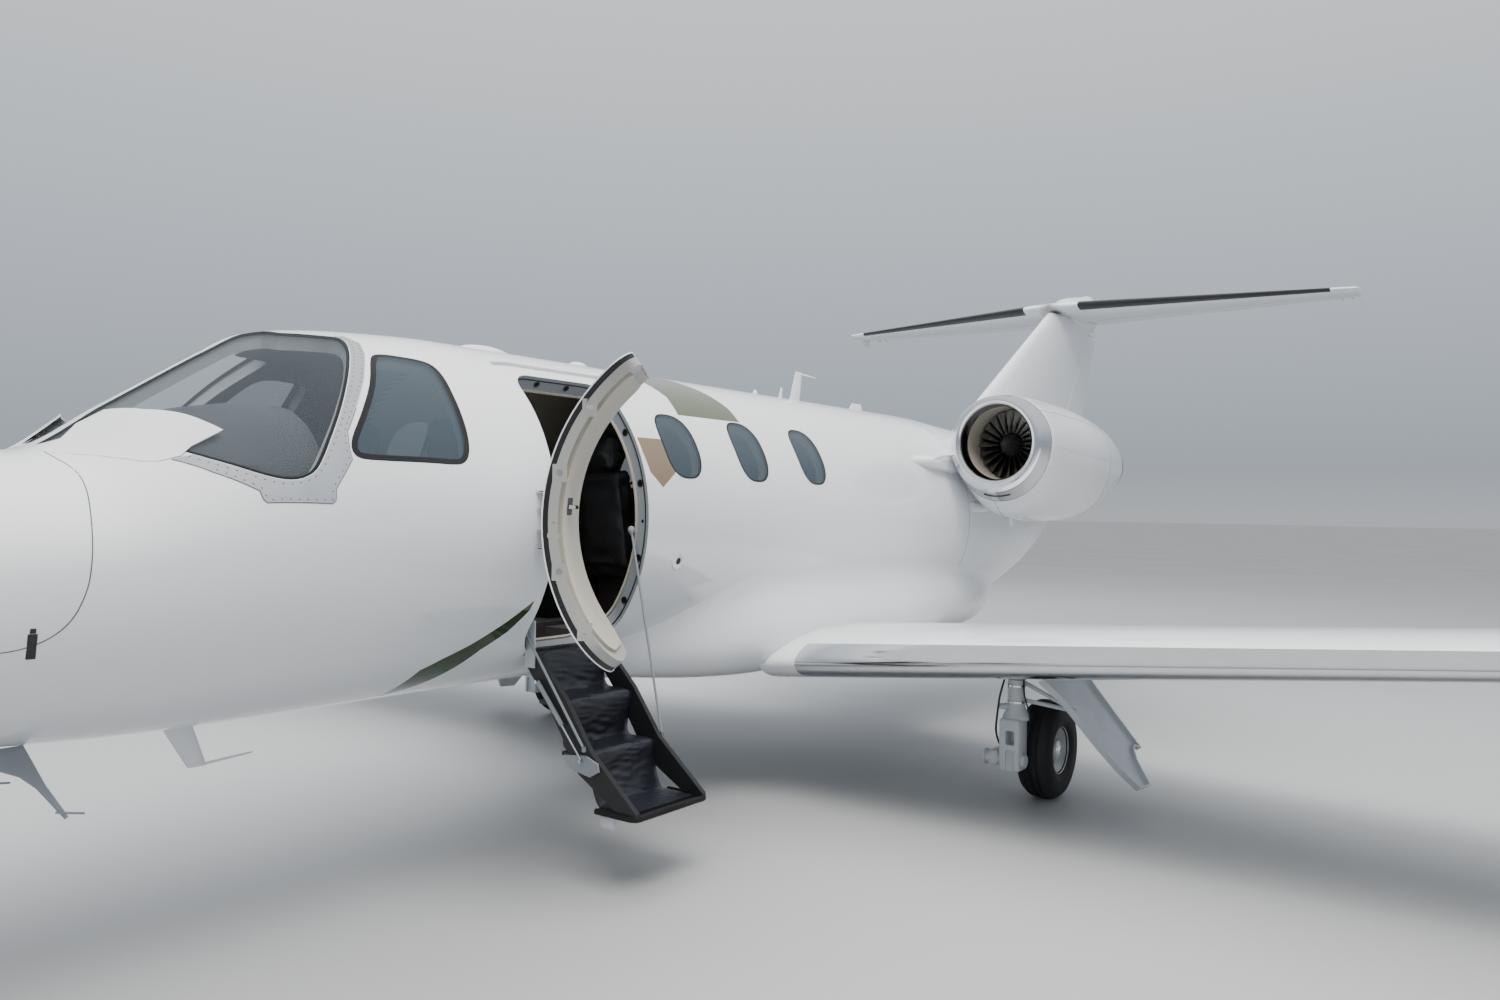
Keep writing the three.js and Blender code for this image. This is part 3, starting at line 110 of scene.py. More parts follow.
# Two-pack polyurethane over aluminium: deep gloss, faint orange peel, a little dust
paint = {"roughness": (0.1, 0.2), "grain": 5, "bump": 0.02, "strength": 0.12,
         "sockets": {"Coat Weight": 0.5, "Coat Roughness": 0.04}}
looks = {
    # Cool white of the body, wings and tail, a shade glossier than the three colours of the patches
    "whitePolyurethane": {
        **paint, "colour": "#e6e9ed", "shade": "#dde1e6", "roughness": (0.07, 0.16), "cloud": 900},
    "olivePolyurethane": {**paint, "colour": "#4e563f", "shade": "#474f3a"},
    "tanPolyurethane": {**paint, "colour": "#7d6d5a", "shade": "#756552"},
    "greenPolyurethane": {**paint, "colour": "#33452a", "shade": "#2c3d24"},
    # Mirror-polished aluminium, softened by fine scratches and old wax
    "polishedAluminium": {
        "colour": "#dfe1e4", "shade": "#cfd2d6", "metallic": 1.0, "roughness": (0.08, 0.2), "cloud": 90,
        "grain": 1.5, "bump": 0.01, "strength": 0.15},
    # Milled frame round the windshield: satin aluminium with a waxy cast
    "satinAluminium": {
        "colour": "#dde0e4", "shade": "#c3c8cf", "metallic": 0.85, "roughness": (0.22, 0.38), "cloud": 120,
        "grain": 2, "bump": 0.03, "strength": 0.2},
    # Clear acrylic of the windshield: its grey-blue colour, laid thinly over what lies behind it, is a
    # painted reflection of the sky
    "stretchedAcrylic": {
        "colour": "#8f9ba6", "shade": "#7f8b96", "roughness": (0.02, 0.05), "cloud": 700,
        "sockets": {"Alpha": 0.09, "IOR": 1.49}},
    # Cabin panes: their own dark tint, with a blue-grey that is partly a painted reflection of the sky,
    # clearly darker than the windshield, with a crisp sheen
    "tintedAcrylicPaintedSky": {
        "colour": "#4a5a67", "shade": "#3f4e5a", "roughness": (0.02, 0.04), "cloud": 500,
        "sockets": {"Alpha": 0.45, "IOR": 1.49, "Coat Weight": 0.6, "Coat Roughness": 0.02}},
    # Seals and borders of the panes: matt black with a fine grain
    "blackRubber": {
        "colour": "#111215", "shade": "#17181b", "roughness": (0.42, 0.6), "cloud": 120, "grain": 1.2,
        "bump": 0.05},
    # De-icing boots on the stabilizer's leading edge: smooth black, faintly shiny
    "bootRubber": {
        "colour": "#15171b", "shade": "#1d2025", "roughness": (0.3, 0.45), "cloud": 300, "grain": 2,
        "bump": 0.05, "strength": 0.25},
    # Tyres: dull dark grey, coarse enough to scatter the light
    "tyreRubber": {
        "colour": "#1a1a1c", "shade": "#232325", "roughness": (0.7, 0.88), "cloud": 160, "grain": 1.6,
        "bump": 0.3, "strength": 0.5},
    # Legs, forks and stringers: pale grey enamel with a soft gloss
    "gearEnamel": {
        "colour": "#c9ced3", "shade": "#b4babf", "roughness": (0.28, 0.45), "cloud": 120,
        "bump": 0.05, "strength": 0.2},
    # Wheel rims and calipers: silver paint over rough castings
    "castAlloy": {
        "colour": "#d2d4d4", "shade": "#bcbebd", "metallic": 0.25, "roughness": (0.35, 0.5), "cloud": 60,
        "grain": 1.5, "bump": 0.15},
    # Pins, knobs and struts: a clean mirror
    "chromedSteel": {
        "colour": "#d7d9db", "shade": "#c9cccf", "metallic": 1.0, "roughness": (0.06, 0.14), "cloud": 60},
    # Plated steel: dull silver, cloudy over a few centimetres
    "zincSteel": {
        "colour": "#9fa3a6", "shade": "#85898c", "metallic": 1.0, "roughness": (0.3, 0.45), "cloud": 40,
        "grain": 1.5, "bump": 0.05},
    # Fan blades: darker and warmer than the steel, brushed
    "titanium": {
        "colour": "#8f8f8e", "shade": "#7b7a78", "metallic": 1.0, "roughness": (0.28, 0.42), "cloud": 80,
        "grain": 1.5, "bump": 0.04},
    # Lining of the intake: warm grey with a fine cell pattern
    "ductEnamel": {
        "colour": "#a8a397", "shade": "#9b968a", "roughness": (0.35, 0.5), "cloud": 200, "grain": 2,
        "bump": 0.1, "cells": 4},
    # Tailpipe: nearly black, a dry metal; on the sockets of the latch pins the same black is painted shade in
    # their holes
    "sootySteelAndHoleShade": {
        "colour": "#2b2a29", "shade": "#1c1b1a", "metallic": 0.6, "roughness": (0.5, 0.7), "cloud": 200,
        "grain": 2, "bump": 0.1},
    # Stays, nose gear doors and the wells: mid grey enamel
    "frameEnamel": {
        "colour": "#8f959b", "shade": "#828990", "roughness": (0.3, 0.45), "cloud": 200,
        "bump": 0.05, "strength": 0.2},
    # Pan of the door: a warmer grey than the frames
    "doorEnamel": {
        "colour": "#9fa09d", "shade": "#92938f", "roughness": (0.35, 0.5), "cloud": 200,
        "bump": 0.06, "strength": 0.25},
    # Cabin lining: beige cloth without a shine
    "liningFabric": {
        "colour": "#b3ad9f", "shade": "#a8a294", "roughness": (0.75, 0.9), "cloud": 200, "grain": 1.5,
        "bump": 0.4, "strength": 0.5, "sockets": {"Sheen Weight": 0.3}},
    # Dark grey woven lining of the cockpit, and the soft-touch vinyl of the hood over its panel
    "greyLining": {
        "colour": "#3c4046", "shade": "#34383d", "roughness": (0.75, 0.9), "cloud": 250, "grain": 2,
        "bump": 0.2, "sockets": {"Sheen Weight": 0.2}},
    "greyVinyl": {
        "colour": "#3c4146", "shade": "#35393e", "roughness": (0.7, 0.82), "cloud": 300, "grain": 6,
        "bump": 0.02, "strength": 0.1, "sockets": {"Specular IOR Level": 0.25}},
    # Floor: dark grey tufts with light at their tips
    "carpet": {
        "colour": "#39373a", "shade": "#2c2a2c", "roughness": (0.9, 1.0), "cloud": 60, "grain": 4,
        "bump": 2.5, "strength": 0.8, "sockets": {"Sheen Weight": 0.4}},
    # Cabinet and ledges: pale wood grain under lacquer
    "laminate": {
        "colour": "#c3b196", "shade": "#b09c80", "roughness": (0.25, 0.35), "cloud": 90, "grain": 6,
        "stretch": (1.0, 1.0, 0.15), "bump": 0.02, "strength": 0.2},
    # Charcoal bovine leather: fine pebble of 1.5 mm, low sheen
    "charcoalLeather": {
        "colour": "#25272b", "shade": "#1c1e21", "roughness": (0.38, 0.52), "cloud": 150, "grain": 1,
        "cells": 3, "bump": 0.35, "strength": 0.5, "sockets": {"Coat Weight": 0.08}},
    # Black vinyl-coated cloth of the stairs, pulled into long soft wrinkles
    "blackVinyl": {
        "colour": "#15171e", "shade": "#1d202a", "roughness": (0.3, 0.48), "cloud": 140, "grain": 45,
        "bump": 6, "strength": 0.45, "sockets": {"Coat Weight": 0.15, "Coat Roughness": 0.3}},
    # Knobs and handles: matt black, slightly pebbled; the same black is also painted shade inside openings,
    # slots and mouths
    "blackPlasticAndOpeningShade": {
        "colour": "#17181a", "shade": "#1e2023", "roughness": (0.42, 0.58), "cloud": 90, "grain": 1.5,
        "bump": 0.08, "strength": 0.4},
    # Screens that are off: black with a clear sheen
    "darkGlass": {
        "colour": "#0c0f14", "shade": "#10141a", "roughness": (0.06, 0.12), "cloud": 200,
        "sockets": {"Coat Weight": 1.0, "Coat Roughness": 0.02}},
    # Lenses of the wing tips' lights, red on the left and green on the right
    "redLens": {
        "colour": "#a01212", "shade": "#8c0f0f", "roughness": (0.05, 0.1),
        "sockets": {"Transmission Weight": 0.5, "Coat Weight": 0.5}},
    "greenLens": {
        "colour": "#0f7a3a", "shade": "#0d6b33", "roughness": (0.05, 0.1),
        "sockets": {"Transmission Weight": 0.5, "Coat Weight": 0.5}},
    # Gaps between panels, as the grey line that the eye sees
    "seamShadow": {"colour": "#5d6268", "shade": "#50555b", "roughness": (0.5, 0.6)},
    # Studio floor: even mid grey
    "floorPaint": {"colour": "#a9abad", "shade": "#a2a4a6", "roughness": (0.45, 0.6), "cloud": 3000},
}
materials = {name: makeMaterial(name, look) for name, look in looks.items()}
print("materials made:", len(materials))


# Meshes
# A part is (points, faces, marks): a mark is the number of a face's finish, one for each face or one for
# all. A piece is a part as an object of its own, welded, with its normals outwards, riding a body.
def makePiece(name, part, finishes, body="airframe", angle=32):
    points, faces, marks = part
    mesh = bpy.data.meshes.new(name)
    mesh.from_pydata([tuple(map(float, p)) for p in points], [], [tuple(map(int, f)) for f in faces])
    for finishName in finishes:
        mesh.materials.append(materials[finishName])
    if len(finishes) > 1:
        marks = np.broadcast_to(np.asarray(marks, dtype=np.int32), len(faces))
        mesh.polygons.foreach_set("material_index", np.ascontiguousarray(marks))
    build = bmesh.new()
    build.from_mesh(mesh)
    bmesh.ops.remove_doubles(build, verts=build.verts, dist=2e-5)
    bmesh.ops.recalc_face_normals(build, faces=build.faces)
    build.to_mesh(mesh)
    build.free()
    mesh.polygons.foreach_set("use_smooth", [True] * len(mesh.polygons))
    mesh.set_sharp_from_angle(angle=math.radians(angle))
    piece = bpy.data.objects.new(name, mesh)
    bpy.context.collection.objects.link(piece)
    if body:
        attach(piece, body)
    return piece


# Several parts as one.
def gather(*parts):
    points, faces, marks = [], [], []
    for part in parts:
        base = len(points)
        points.extend(part[0])
        faces.extend([[i + base for i in face] for face in part[1]])
        marks.extend([part[2]] * len(part[1]) if np.isscalar(part[2]) else part[2])
    return points, faces, marks


# The surface through rings of equal length; mark is one number, or one for each step round the ring.
def skinned(rings, mark=0, caps=True, closed=True):
    rings = [np.asarray(r) for r in rings]
    count = len(rings[0])
    points = list(np.concatenate(rings))
    faces, marks = [], []
    steps = count if closed else count - 1
    for r in range(len(rings) - 1):
        for i in range(steps):
            j = (i + 1) % count
            faces.append([r * count + i, r * count + j, (r + 1) * count + j, (r + 1) * count + i])
            if callable(mark):
                marks.append(mark(r, i))
            else:
                marks.append(mark if np.isscalar(mark) else mark[i])
    if caps:
        for ring, first in ((rings[0], 0), (rings[-1], (len(rings) - 1) * count)):
            points.append(ring.mean(axis=0))
            for i in range(count):
                faces.append([first + i, first + (i + 1) % count, len(points) - 1])
                marks.append(mark if np.isscalar(mark) else (0 if callable(mark) else mark[i]))
    return points, faces, marks


def circle(centre, radius, count, axis="y", squash=1.0):
    turn = np.linspace(0, 2 * math.pi, count, endpoint=False)
    a, b = radius * np.cos(turn), radius * squash * np.sin(turn)
    zero = np.zeros(count)
    ring = {"x": (zero, a, b), "y": (a, zero, b), "z": (a, b, zero)}[axis]
    return np.stack(ring, axis=1) + np.asarray(centre)


# A profile of (radius, along) turned about a line through the centre.
def turned(profile, centre, axis="y", count=32, mark=0, closed=False):
    rings = [circle(centre, max(radius, 1e-4), count, axis) for radius, _ in profile]
    shift = {"x": (1, 0, 0), "y": (0, 1, 0), "z": (0, 0, 1)}[axis]
    rings = [ring + np.asarray(shift) * along for ring, (_, along) in zip(rings, profile)]
    if closed:
        rings.append(rings[0])
    if np.isscalar(mark) or callable(mark):
        return skinned(rings, mark, caps=not closed)
    return skinned(rings, lambda r, i: mark[r], caps=not closed)


# A tube along points, with a radius for each or one for all.
def tube(path, radius, count=12, mark=0, caps=True):
    path = [Vector(p) for p in path]
    radii = [radius] * len(path) if np.isscalar(radius) else radius
    rings = []
    side = None
    for i, point in enumerate(path):
        ahead = (path[min(i + 1, len(path) - 1)] - path[max(i - 1, 0)]).normalized()
        if side is None:
            side = ahead.orthogonal().normalized()
        side = (side - ahead * side.dot(ahead)).normalized()
        other = ahead.cross(side)
        rings.append([point + radii[i] * (math.cos(t) * side + math.sin(t) * other)
                      for t in np.linspace(0, 2 * math.pi, count, endpoint=False)])
    return skinned(rings, mark, caps)


# A block with rounded edges, from its two corners.
def block(low, high, bevel=0.004, mark=0, segments=2):
    build = bmesh.new()
    bmesh.ops.create_cube(build, size=1)
    size = [h - l for l, h in zip(low, high)]
    for vert in build.verts:
        vert.co = Vector([l + s * (c + 0.5) for l, s, c in zip(low, size, vert.co)])
    bevel = min(bevel, 0.45 * min(size))
    bmesh.ops.bevel(build, geom=list(build.edges), offset=bevel, segments=segments, affect="EDGES",
                    profile=0.5, clamp_overlap=True)
    build.verts.index_update()
    points = [tuple(v.co) for v in build.verts]
    faces = [[v.index for v in f.verts] for f in build.faces]
    build.free()
    return points, faces, mark


# The frame's place of a point whose y counts from the main wheels' axle, as in the tables.
def shifted(point):
    return (point[0], point[1] + tableShift, point[2])


def blockAt(low, high, bevel=0.004, mark=0, segments=2):
    return block(shifted(low), shifted(high), bevel, mark, segments)


def tubeAt(path, radius, count=12, mark=0):
    return tube([shifted(p) for p in path], radius, count, mark)


def turnedAt(profile, centre, axis="y", count=32, mark=0, closed=False):
    return turned(profile, shifted(centre), axis, count, mark, closed)


def movedBy(part, matrix):
    return [tuple(matrix @ Vector(p)) for p in part[0]], part[1], part[2]


# The same part on the other side of the aircraft.
def mirrored(part):
    return [(-p[0], p[1], p[2]) for p in part[0]], [list(reversed(f)) for f in part[1]], part[2]


sideTurns = (("left", lambda part: part), ("right", mirrored))


def bothSides(part):
    return ("left", part), ("right", mirrored(part))


# A closed outline made smooth, with steps points between each two.
def smoothLoop(points, steps=6):
    points = np.asarray(points, dtype=float)
    made = []
    for i in range(len(points)):
        a, b, c, d = (points[(i + k) % len(points)] for k in (-1, 0, 1, 2))
        for t in np.arange(steps) / steps:
            made.append(0.5 * (2 * b + (c - a) * t + (2 * a - 5 * b + 4 * c - d) * t ** 2
                               + (3 * b - a - 3 * c + d) * t ** 3))
    return np.array(made)


# A smooth curve through the rows of a table that never overshoots them; the first column is the way.
def smoothTable(rows):
    rows = np.asarray(rows, dtype=float)
    way, values = rows[:, 0], rows[:, 1:]
    step = np.diff(way)[:, None]
    slope = np.diff(values, axis=0) / step
    tangent = np.concatenate([slope[:1], np.zeros_like(slope[1:]), slope[-1:]])
    same = slope[:-1] * slope[1:] > 0
    before, after = 2 * step[1:] + step[:-1], step[1:] + 2 * step[:-1]
    safe = np.where(same, slope[:-1], 1), np.where(same, slope[1:], 1)
    tangent[1:-1] = np.where(same, (before + after) / (before / safe[0] + after / safe[1]), 0)

    def at(where):
        where = np.clip(np.atleast_1d(where), way[0], way[-1])
        i = np.clip(np.searchsorted(way, where) - 1, 0, len(way) - 2)
        h = step[i]
        t = (where - way[i])[:, None] / h
        return ((1 + 2 * t) * (1 - t) ** 2 * values[i] + t * (1 - t) ** 2 * h * tangent[i]
                + t * t * (3 - 2 * t) * values[i + 1] + t * t * (t - 1) * h * tangent[i + 1])
    return at


# The fuselage's skin
fuselage = {
    "radius": 0.815,
    "wall": 0.07,
    # y, half width, height of the widest point, top, bottom
    "rows": [
        (-6.240, 0.014, 1.262, 1.276, 1.248), (-6.205, 0.092, 1.266, 1.345, 1.186),
        (-6.100, 0.182, 1.278, 1.432, 1.112), (-5.870, 0.310, 1.300, 1.546, 1.018),
        (-5.540, 0.440, 1.325, 1.648, 0.930), (-5.170, 0.553, 1.350, 1.728, 0.862),
        (-4.800, 0.640, 1.385, 1.786, 0.812), (-4.560, 0.690, 1.410, 1.814, 0.795),
        (-4.290, 0.735, 1.455, 1.985, 0.780), (-4.110, 0.760, 1.490, 2.105, 0.775),
        (-3.925, 0.781, 1.525, 2.227, 0.772), (-3.770, 0.793, 1.548, 2.319, 0.772),
        (-3.630, 0.801, 1.562, 2.352, 0.772), (-3.350, 0.810, 1.578, 2.382, 0.772),
        (-2.950, 0.815, 1.587, 2.402, 0.772), (1.450, 0.815, 1.587, 2.402, 0.772),
        (2.050, 0.800, 1.595, 2.374, 0.790), (2.600, 0.752, 1.622, 2.348, 0.856),
        (3.150, 0.676, 1.670, 2.330, 0.965), (3.700, 0.578, 1.750, 2.316, 1.120),
        (4.300, 0.455, 1.868, 2.302, 1.370), (4.900, 0.330, 1.985, 2.290, 1.640),
        (5.550, 0.198, 2.101, 2.272, 1.914), (6.120, 0.060, 2.190, 2.240, 2.140),
    ],
    "spacing": 0.05,
}
bodyAt = smoothTable(fuselage["rows"])


# Points on the skin, or out from it, by y and degrees above the horizontal on the left.
def onSkin(y, degrees, out=0.0):
    y, degrees = np.atleast_1d(y).astype(float), np.atleast_1d(degrees).astype(float)
    half, widest, top, bottom = bodyAt(y).T
    c, s = np.cos(np.radians(degrees)), np.sin(np.radians(degrees))
    rise = np.where(s > 0, top - widest, widest - bottom)
    reach = 1 / np.sqrt((c / half) ** 2 + (s / rise) ** 2)
    reach = reach + np.maximum(out, -0.6 * reach)
    return np.stack([reach * c, y + tableShift, widest + reach * s], axis=1)


def toFlat(outline):
    outline = np.asarray(outline, dtype=float)
    return np.stack([outline[:, 0], np.radians(outline[:, 1]) * fuselage["radius"]], axis=1)


def fromFlat(flat):
    return np.stack([flat[:, 0], np.degrees(flat[:, 1] / fuselage["radius"])], axis=1)


# An outline on the skin, moved inwards (or outwards if negative) by metres.
def shrunk(outline, distance):
    flat = toFlat(outline)
    area = 0.5 * np.sum(flat[:, 0] * np.roll(flat[:, 1], -1) - np.roll(flat[:, 0], -1) * flat[:, 1])
    before = flat - np.roll(flat, 1, axis=0)
    after = np.roll(flat, -1, axis=0) - flat
    before /= np.maximum(np.linalg.norm(before, axis=1), 1e-9)[:, None]
    after /= np.maximum(np.linalg.norm(after, axis=1), 1e-9)[:, None]
    inward = np.stack([-before[:, 1] - after[:, 1], before[:, 0] + after[:, 0]], axis=1)
    inward /= np.maximum(np.linalg.norm(inward, axis=1), 1e-9)[:, None]
    lean = np.maximum(0.6, -before[:, 1] * inward[:, 0] + before[:, 0] * inward[:, 1])
    return fromFlat(flat + inward * (np.sign(area) * distance / lean)[:, None])


def acrossBody(outline):
    return np.array([(y, -180 - angle) for y, angle in outline])[::-1]


def inside(points, loop):
    x, y = points[:, 0][:, None], points[:, 1][:, None]
    x0, y0 = loop[:, 0], loop[:, 1]
    x1, y1 = np.roll(x0, -1), np.roll(y0, -1)
    crosses = (y0 > y) != (y1 > y)
    height = np.where(y1 == y0, 1e-12, y1 - y0)
    return (np.sum(crosses & (x < (x1 - x0) * (y - y0) / height + x0), axis=1) % 2).astype(bool)


def awayFrom(points, loop, distance):
    keep = np.ones(len(points), dtype=bool)
    for a, b in zip(loop, np.roll(loop, -1, axis=0)):
        along = b - a
        t = np.clip(((points - a) @ along) / max(along @ along, 1e-12), 0, 1)
        keep &= np.linalg.norm(points - a - t[:, None] * along, axis=1) > distance
    return keep


def denser(loop, longest):
    made = []
    for a, b in zip(loop, np.roll(loop, -1, axis=0)):
        count = max(1, int(math.ceil(np.linalg.norm(b - a) / longest)))
        made.extend(a + (b - a) * k / count for k in range(count))
    return np.array(made)


# Triangles of a flat region with holes and inner outlines. Returns points and triangles.
def fillFlat(border, holes=(), regions=(), spacing=0.05):
    loops = [denser(np.asarray(loop), spacing) for loop in (border, *holes, *regions)]
    low, high = loops[0].min(axis=0), loops[0].max(axis=0)
    counts = np.maximum(2, np.ceil((high - low) / spacing).astype(int))
    xs = np.linspace(low[0], high[0], counts[0] + 1)[1:-1]
    ys = np.linspace(low[1], high[1], counts[1] + 1)[1:-1]
    grid = np.array([(x, y) for x in xs for y in ys]).reshape(-1, 2)
    if len(grid):
        keep = inside(grid, loops[0])
        for loop in loops:
            keep &= awayFrom(grid, loop, 0.45 * spacing)
        for hole in loops[1:1 + len(holes)]:
            keep &= ~inside(grid, hole)
        grid = grid[keep]
    points, edges = [], []
    for loop in loops:
        base = len(points)
        points.extend(loop)
        edges.extend((base + i, base + (i + 1) % len(loop)) for i in range(len(loop)))
    points.extend(grid)
    found = delaunay_2d_cdt([Vector(p) for p in points], edges, [], 0, 1e-6, False)
    flat = np.array([tuple(v) for v in found[0]])
    triangles = np.array([f for f in found[2] if len(f) == 3])
    middle = flat[triangles].mean(axis=1)
    keep = inside(middle, loops[0])
    for hole in loops[1:1 + len(holes)]:
        keep &= ~inside(middle, hole)
    return flat, triangles[keep]


# A shell that lies on the skin: outside, inside and rims. regions are (outline, finish) painted on it.
def skinShell(name, border, finishes, holes=(), regions=(), out=0.0, wall=0.01, spacing=0.05,
              body="airframe", capEnds=False, rise=None, sameInside=False, turn=None):
    flatBorder = toFlat(border)
    flat, triangles = fillFlat(flatBorder, [toFlat(h) for h in holes], [toFlat(r) for r, _ in regions],
                               spacing)
    place = fromFlat(flat)
    lift = out + (rise(place) if rise else 0.0)
    outer = onSkin(place[:, 0], place[:, 1], lift)
    inner = onSkin(place[:, 0], place[:, 1], lift - wall)
    if turn is not None:
        outer, inner = turn(outer), turn(inner)
    names = list(finishes) + [f for _, f in regions if f not in finishes]
    marks = np.zeros(len(triangles), dtype=int)
    middle = flat[triangles].mean(axis=1)
    for outline, finishName in regions:
        marks[inside(middle, toFlat(outline))] = names.index(finishName)
    # The seam where the tube closes is one row of points.
    keys, first = {}, np.zeros(len(outer), dtype=int)
    for i, point in enumerate(np.round(outer, 5)):
        first[i] = keys.setdefault(tuple(point), i)
    triangles = first[triangles]
    good = (triangles[:, 0] != triangles[:, 1]) & (triangles[:, 1] != triangles[:, 2]) \
        & (triangles[:, 0] != triangles[:, 2])
    triangles, marks = triangles[good], marks[good]
    seen = {}
    for a, b, c in triangles:
        for edge in ((a, b), (b, c), (c, a)):
            seen[edge] = True
    count = len(outer)
    faces = [list(t) for t in triangles] + [[c + count, b + count, a + count] for a, b, c in triangles]
    faceMarks = list(marks) + (list(marks) if sameInside else [min(1, len(finishes) - 1)] * len(triangles))
    points = list(outer) + list(inner)
    for a, b in [edge for edge in seen if (edge[1], edge[0]) not in seen]:
        ends = place[a, 0] in (flatBorder[0, 0], flatBorder[:, 0].max()) and place[a, 0] == place[b, 0]
        if capEnds and ends:
            for shift in (0, count):
                points.append((0.0, points[a][1], float(bodyAt(place[a, 0])[0][1])))
                faces.append([a + shift, b + shift, len(points) - 1] if shift else
                             [b, a, len(points) - 1])
                faceMarks.append(0 if not shift else min(1, len(finishes) - 1))
        else:
            faces.append([b, a, a + count, b + count])
            faceMarks.append(min(2, len(finishes) - 1))
    return makePiece(name, (points, faces, faceMarks), names, body)


def roundedOutline(y0, y1, a0, a1, corners, steps=12):
    perMetre = math.degrees(1 / fuselage["radius"])
    upper, lower = corners
    places = [(y1 - upper, a1 - upper * perMetre, 0, upper), (y0 + upper, a1 - upper * perMetre, 90, upper),
              (y0 + lower, a0 + lower * perMetre, 180, lower),
              (y1 - lower, a0 + lower * perMetre, 270, lower)]
    made = []
    for y, angle, start, radius in places:
        for t in np.radians(start + np.linspace(0, 90, steps)):
            made.append((y + radius * math.cos(t), angle + radius * perMetre * math.sin(t)))
    return np.array(made)


cabinWindow = {"rows": [-2.455, -1.845, -1.245, -0.640], "middle": 27.6, "halfHeight": 13.4,
               "halfWidth": 0.139, "fullness": 2.7, "points": 56}


def windowOutline(y):
    turn = np.linspace(0, 2 * math.pi, cabinWindow["points"], endpoint=False)
    full = lambda v: np.sign(v) * np.abs(v) ** (2 / cabinWindow["fullness"])
    return np.stack([y + cabinWindow["halfWidth"] * full(np.cos(turn)),
                     cabinWindow["middle"] + cabinWindow["halfHeight"] * full(np.sin(turn))], axis=1)


# Outlines as (y, degrees)
cockpit = {
    "windshield": [
        (-4.470, 85.5), (-3.775, 87.4), (-3.700, 77), (-3.587, 72), (-3.518, 70), (-3.504, 66.3),
        (-3.536, 59.4), (-3.596, 50.7), (-3.669, 41.2), (-3.738, 32.6), (-3.800, 25.3), (-3.851, 19.3),
        (-3.890, 16.2), (-3.950, 15.1), (-4.023, 16.7), (-4.123, 21.6), (-4.240, 29.5), (-4.330, 40),
        (-4.400, 56), (-4.450, 72)],
    "sideWindow": [
        (-3.477, 54.5), (-3.414, 57), (-3.330, 56.4), (-3.246, 55), (-3.200, 52.5), (-3.189, 47),
        (-3.196, 39.2), (-3.200, 31), (-3.204, 25), (-3.214, 20.5), (-3.232, 17.6), (-3.262, 16),
        (-3.310, 15.7), (-3.400, 16.1), (-3.500, 16.6), (-3.603, 17.2), (-3.700, 18.2),
        (-3.733, 20.5), (-3.723, 24.5), (-3.660, 31.5), (-3.568, 42)],
}
windshield = smoothLoop(cockpit["windshield"], 3)
sideWindow = smoothLoop(cockpit["sideWindow"], 3)
door = {"front": -2.780, "rear": -2.178, "top": 53.4, "sill": -51.4, "edge": -47.2,
        "corners": (0.12, 0.22), "thick": 0.06, "hinge": (0.846, -2.806), "open": 142,
        "lugs": (1.496, 1.664)}
doorOpening = roundedOutline(door["front"], door["rear"], door["sill"], door["top"], door["corners"])
noseWell = [(-5.630, -90 - 19.0), (-4.550, -90 - 13.0), (-4.550, -90 + 13.0), (-5.630, -90 + 19.0)]

# Paint laid on the white: the olive panel over the crown, the tan one ahead of the first window,
# and the green sweep below the door
paintAreas = [
    ([(-1.73, 41.5), (-1.70, 52), (-1.74, 62), (-1.86, 72), (-2.02, 84), (-2.02, 90), (-1.44, 90),
      (-1.44, 84), (-1.34, 72), (-1.24, 60), (-1.19, 50), (-1.19, 41.5)], "olivePolyurethane"),
    ([(-2.16, 29), (-1.96, 29), (-1.90, 22), (-1.93, 17), (-2.06, 10.7), (-2.135, 16), (-2.155, 23)],
     "tanPolyurethane"),
    ([(-2.822, -26), (-2.828, -29.5), (-2.900, -37.5), (-2.993, -44.5), (-3.060, -53), (-3.122, -59.6),
      (-3.200, -66), (-3.291, -71), (-3.275, -62), (-3.247, -51.3), (-3.172, -46.5), (-3.072, -41.5),
      (-2.930, -33)], "greenPolyurethane"),
]


def fuselageSkin():
    first, last = fuselage["rows"][0][0], fuselage["rows"][-1][0]
    border = np.array([(first, 90), (first, -270), (last, -270), (last, 90)])
    left = [windshield, sideWindow] + [windowOutline(y) for y in cabinWindow["rows"][1:]]
    right = [windshield, sideWindow] + [windowOutline(y) for y in cabinWindow["rows"]]
    holes = left + [acrossBody(o) for o in right] + [doorOpening, np.array(noseWell)]
    regions = [(np.array(o), f) for o, f in paintAreas]
    regions += [(acrossBody(o), f) for o, f in paintAreas[:2]]
    piece = skinShell("fuselage_skin", border, ["whitePolyurethane", "liningFabric", "frameEnamel"], holes,
                      regions, wall=fuselage["wall"], spacing=fuselage["spacing"], capEnds=True)
    # The cockpit is lined in dark grey as far back as the door
    piece.data.materials.append(materials["greyLining"])
    for face in piece.data.polygons:
        if face.material_index == 1 and face.center[1] - tableShift < door["front"]:
            face.material_index = len(piece.data.materials) - 1
    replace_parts(piece, "nose", "cockpit_shell", "cabin_crown", "cabin_belly", "cabin_side_left",
                "cabin_side_right", "tail_cone")
    return piece


skin = fuselageSkin()
print("fuselage skin:", len(skin.data.polygons), "faces")


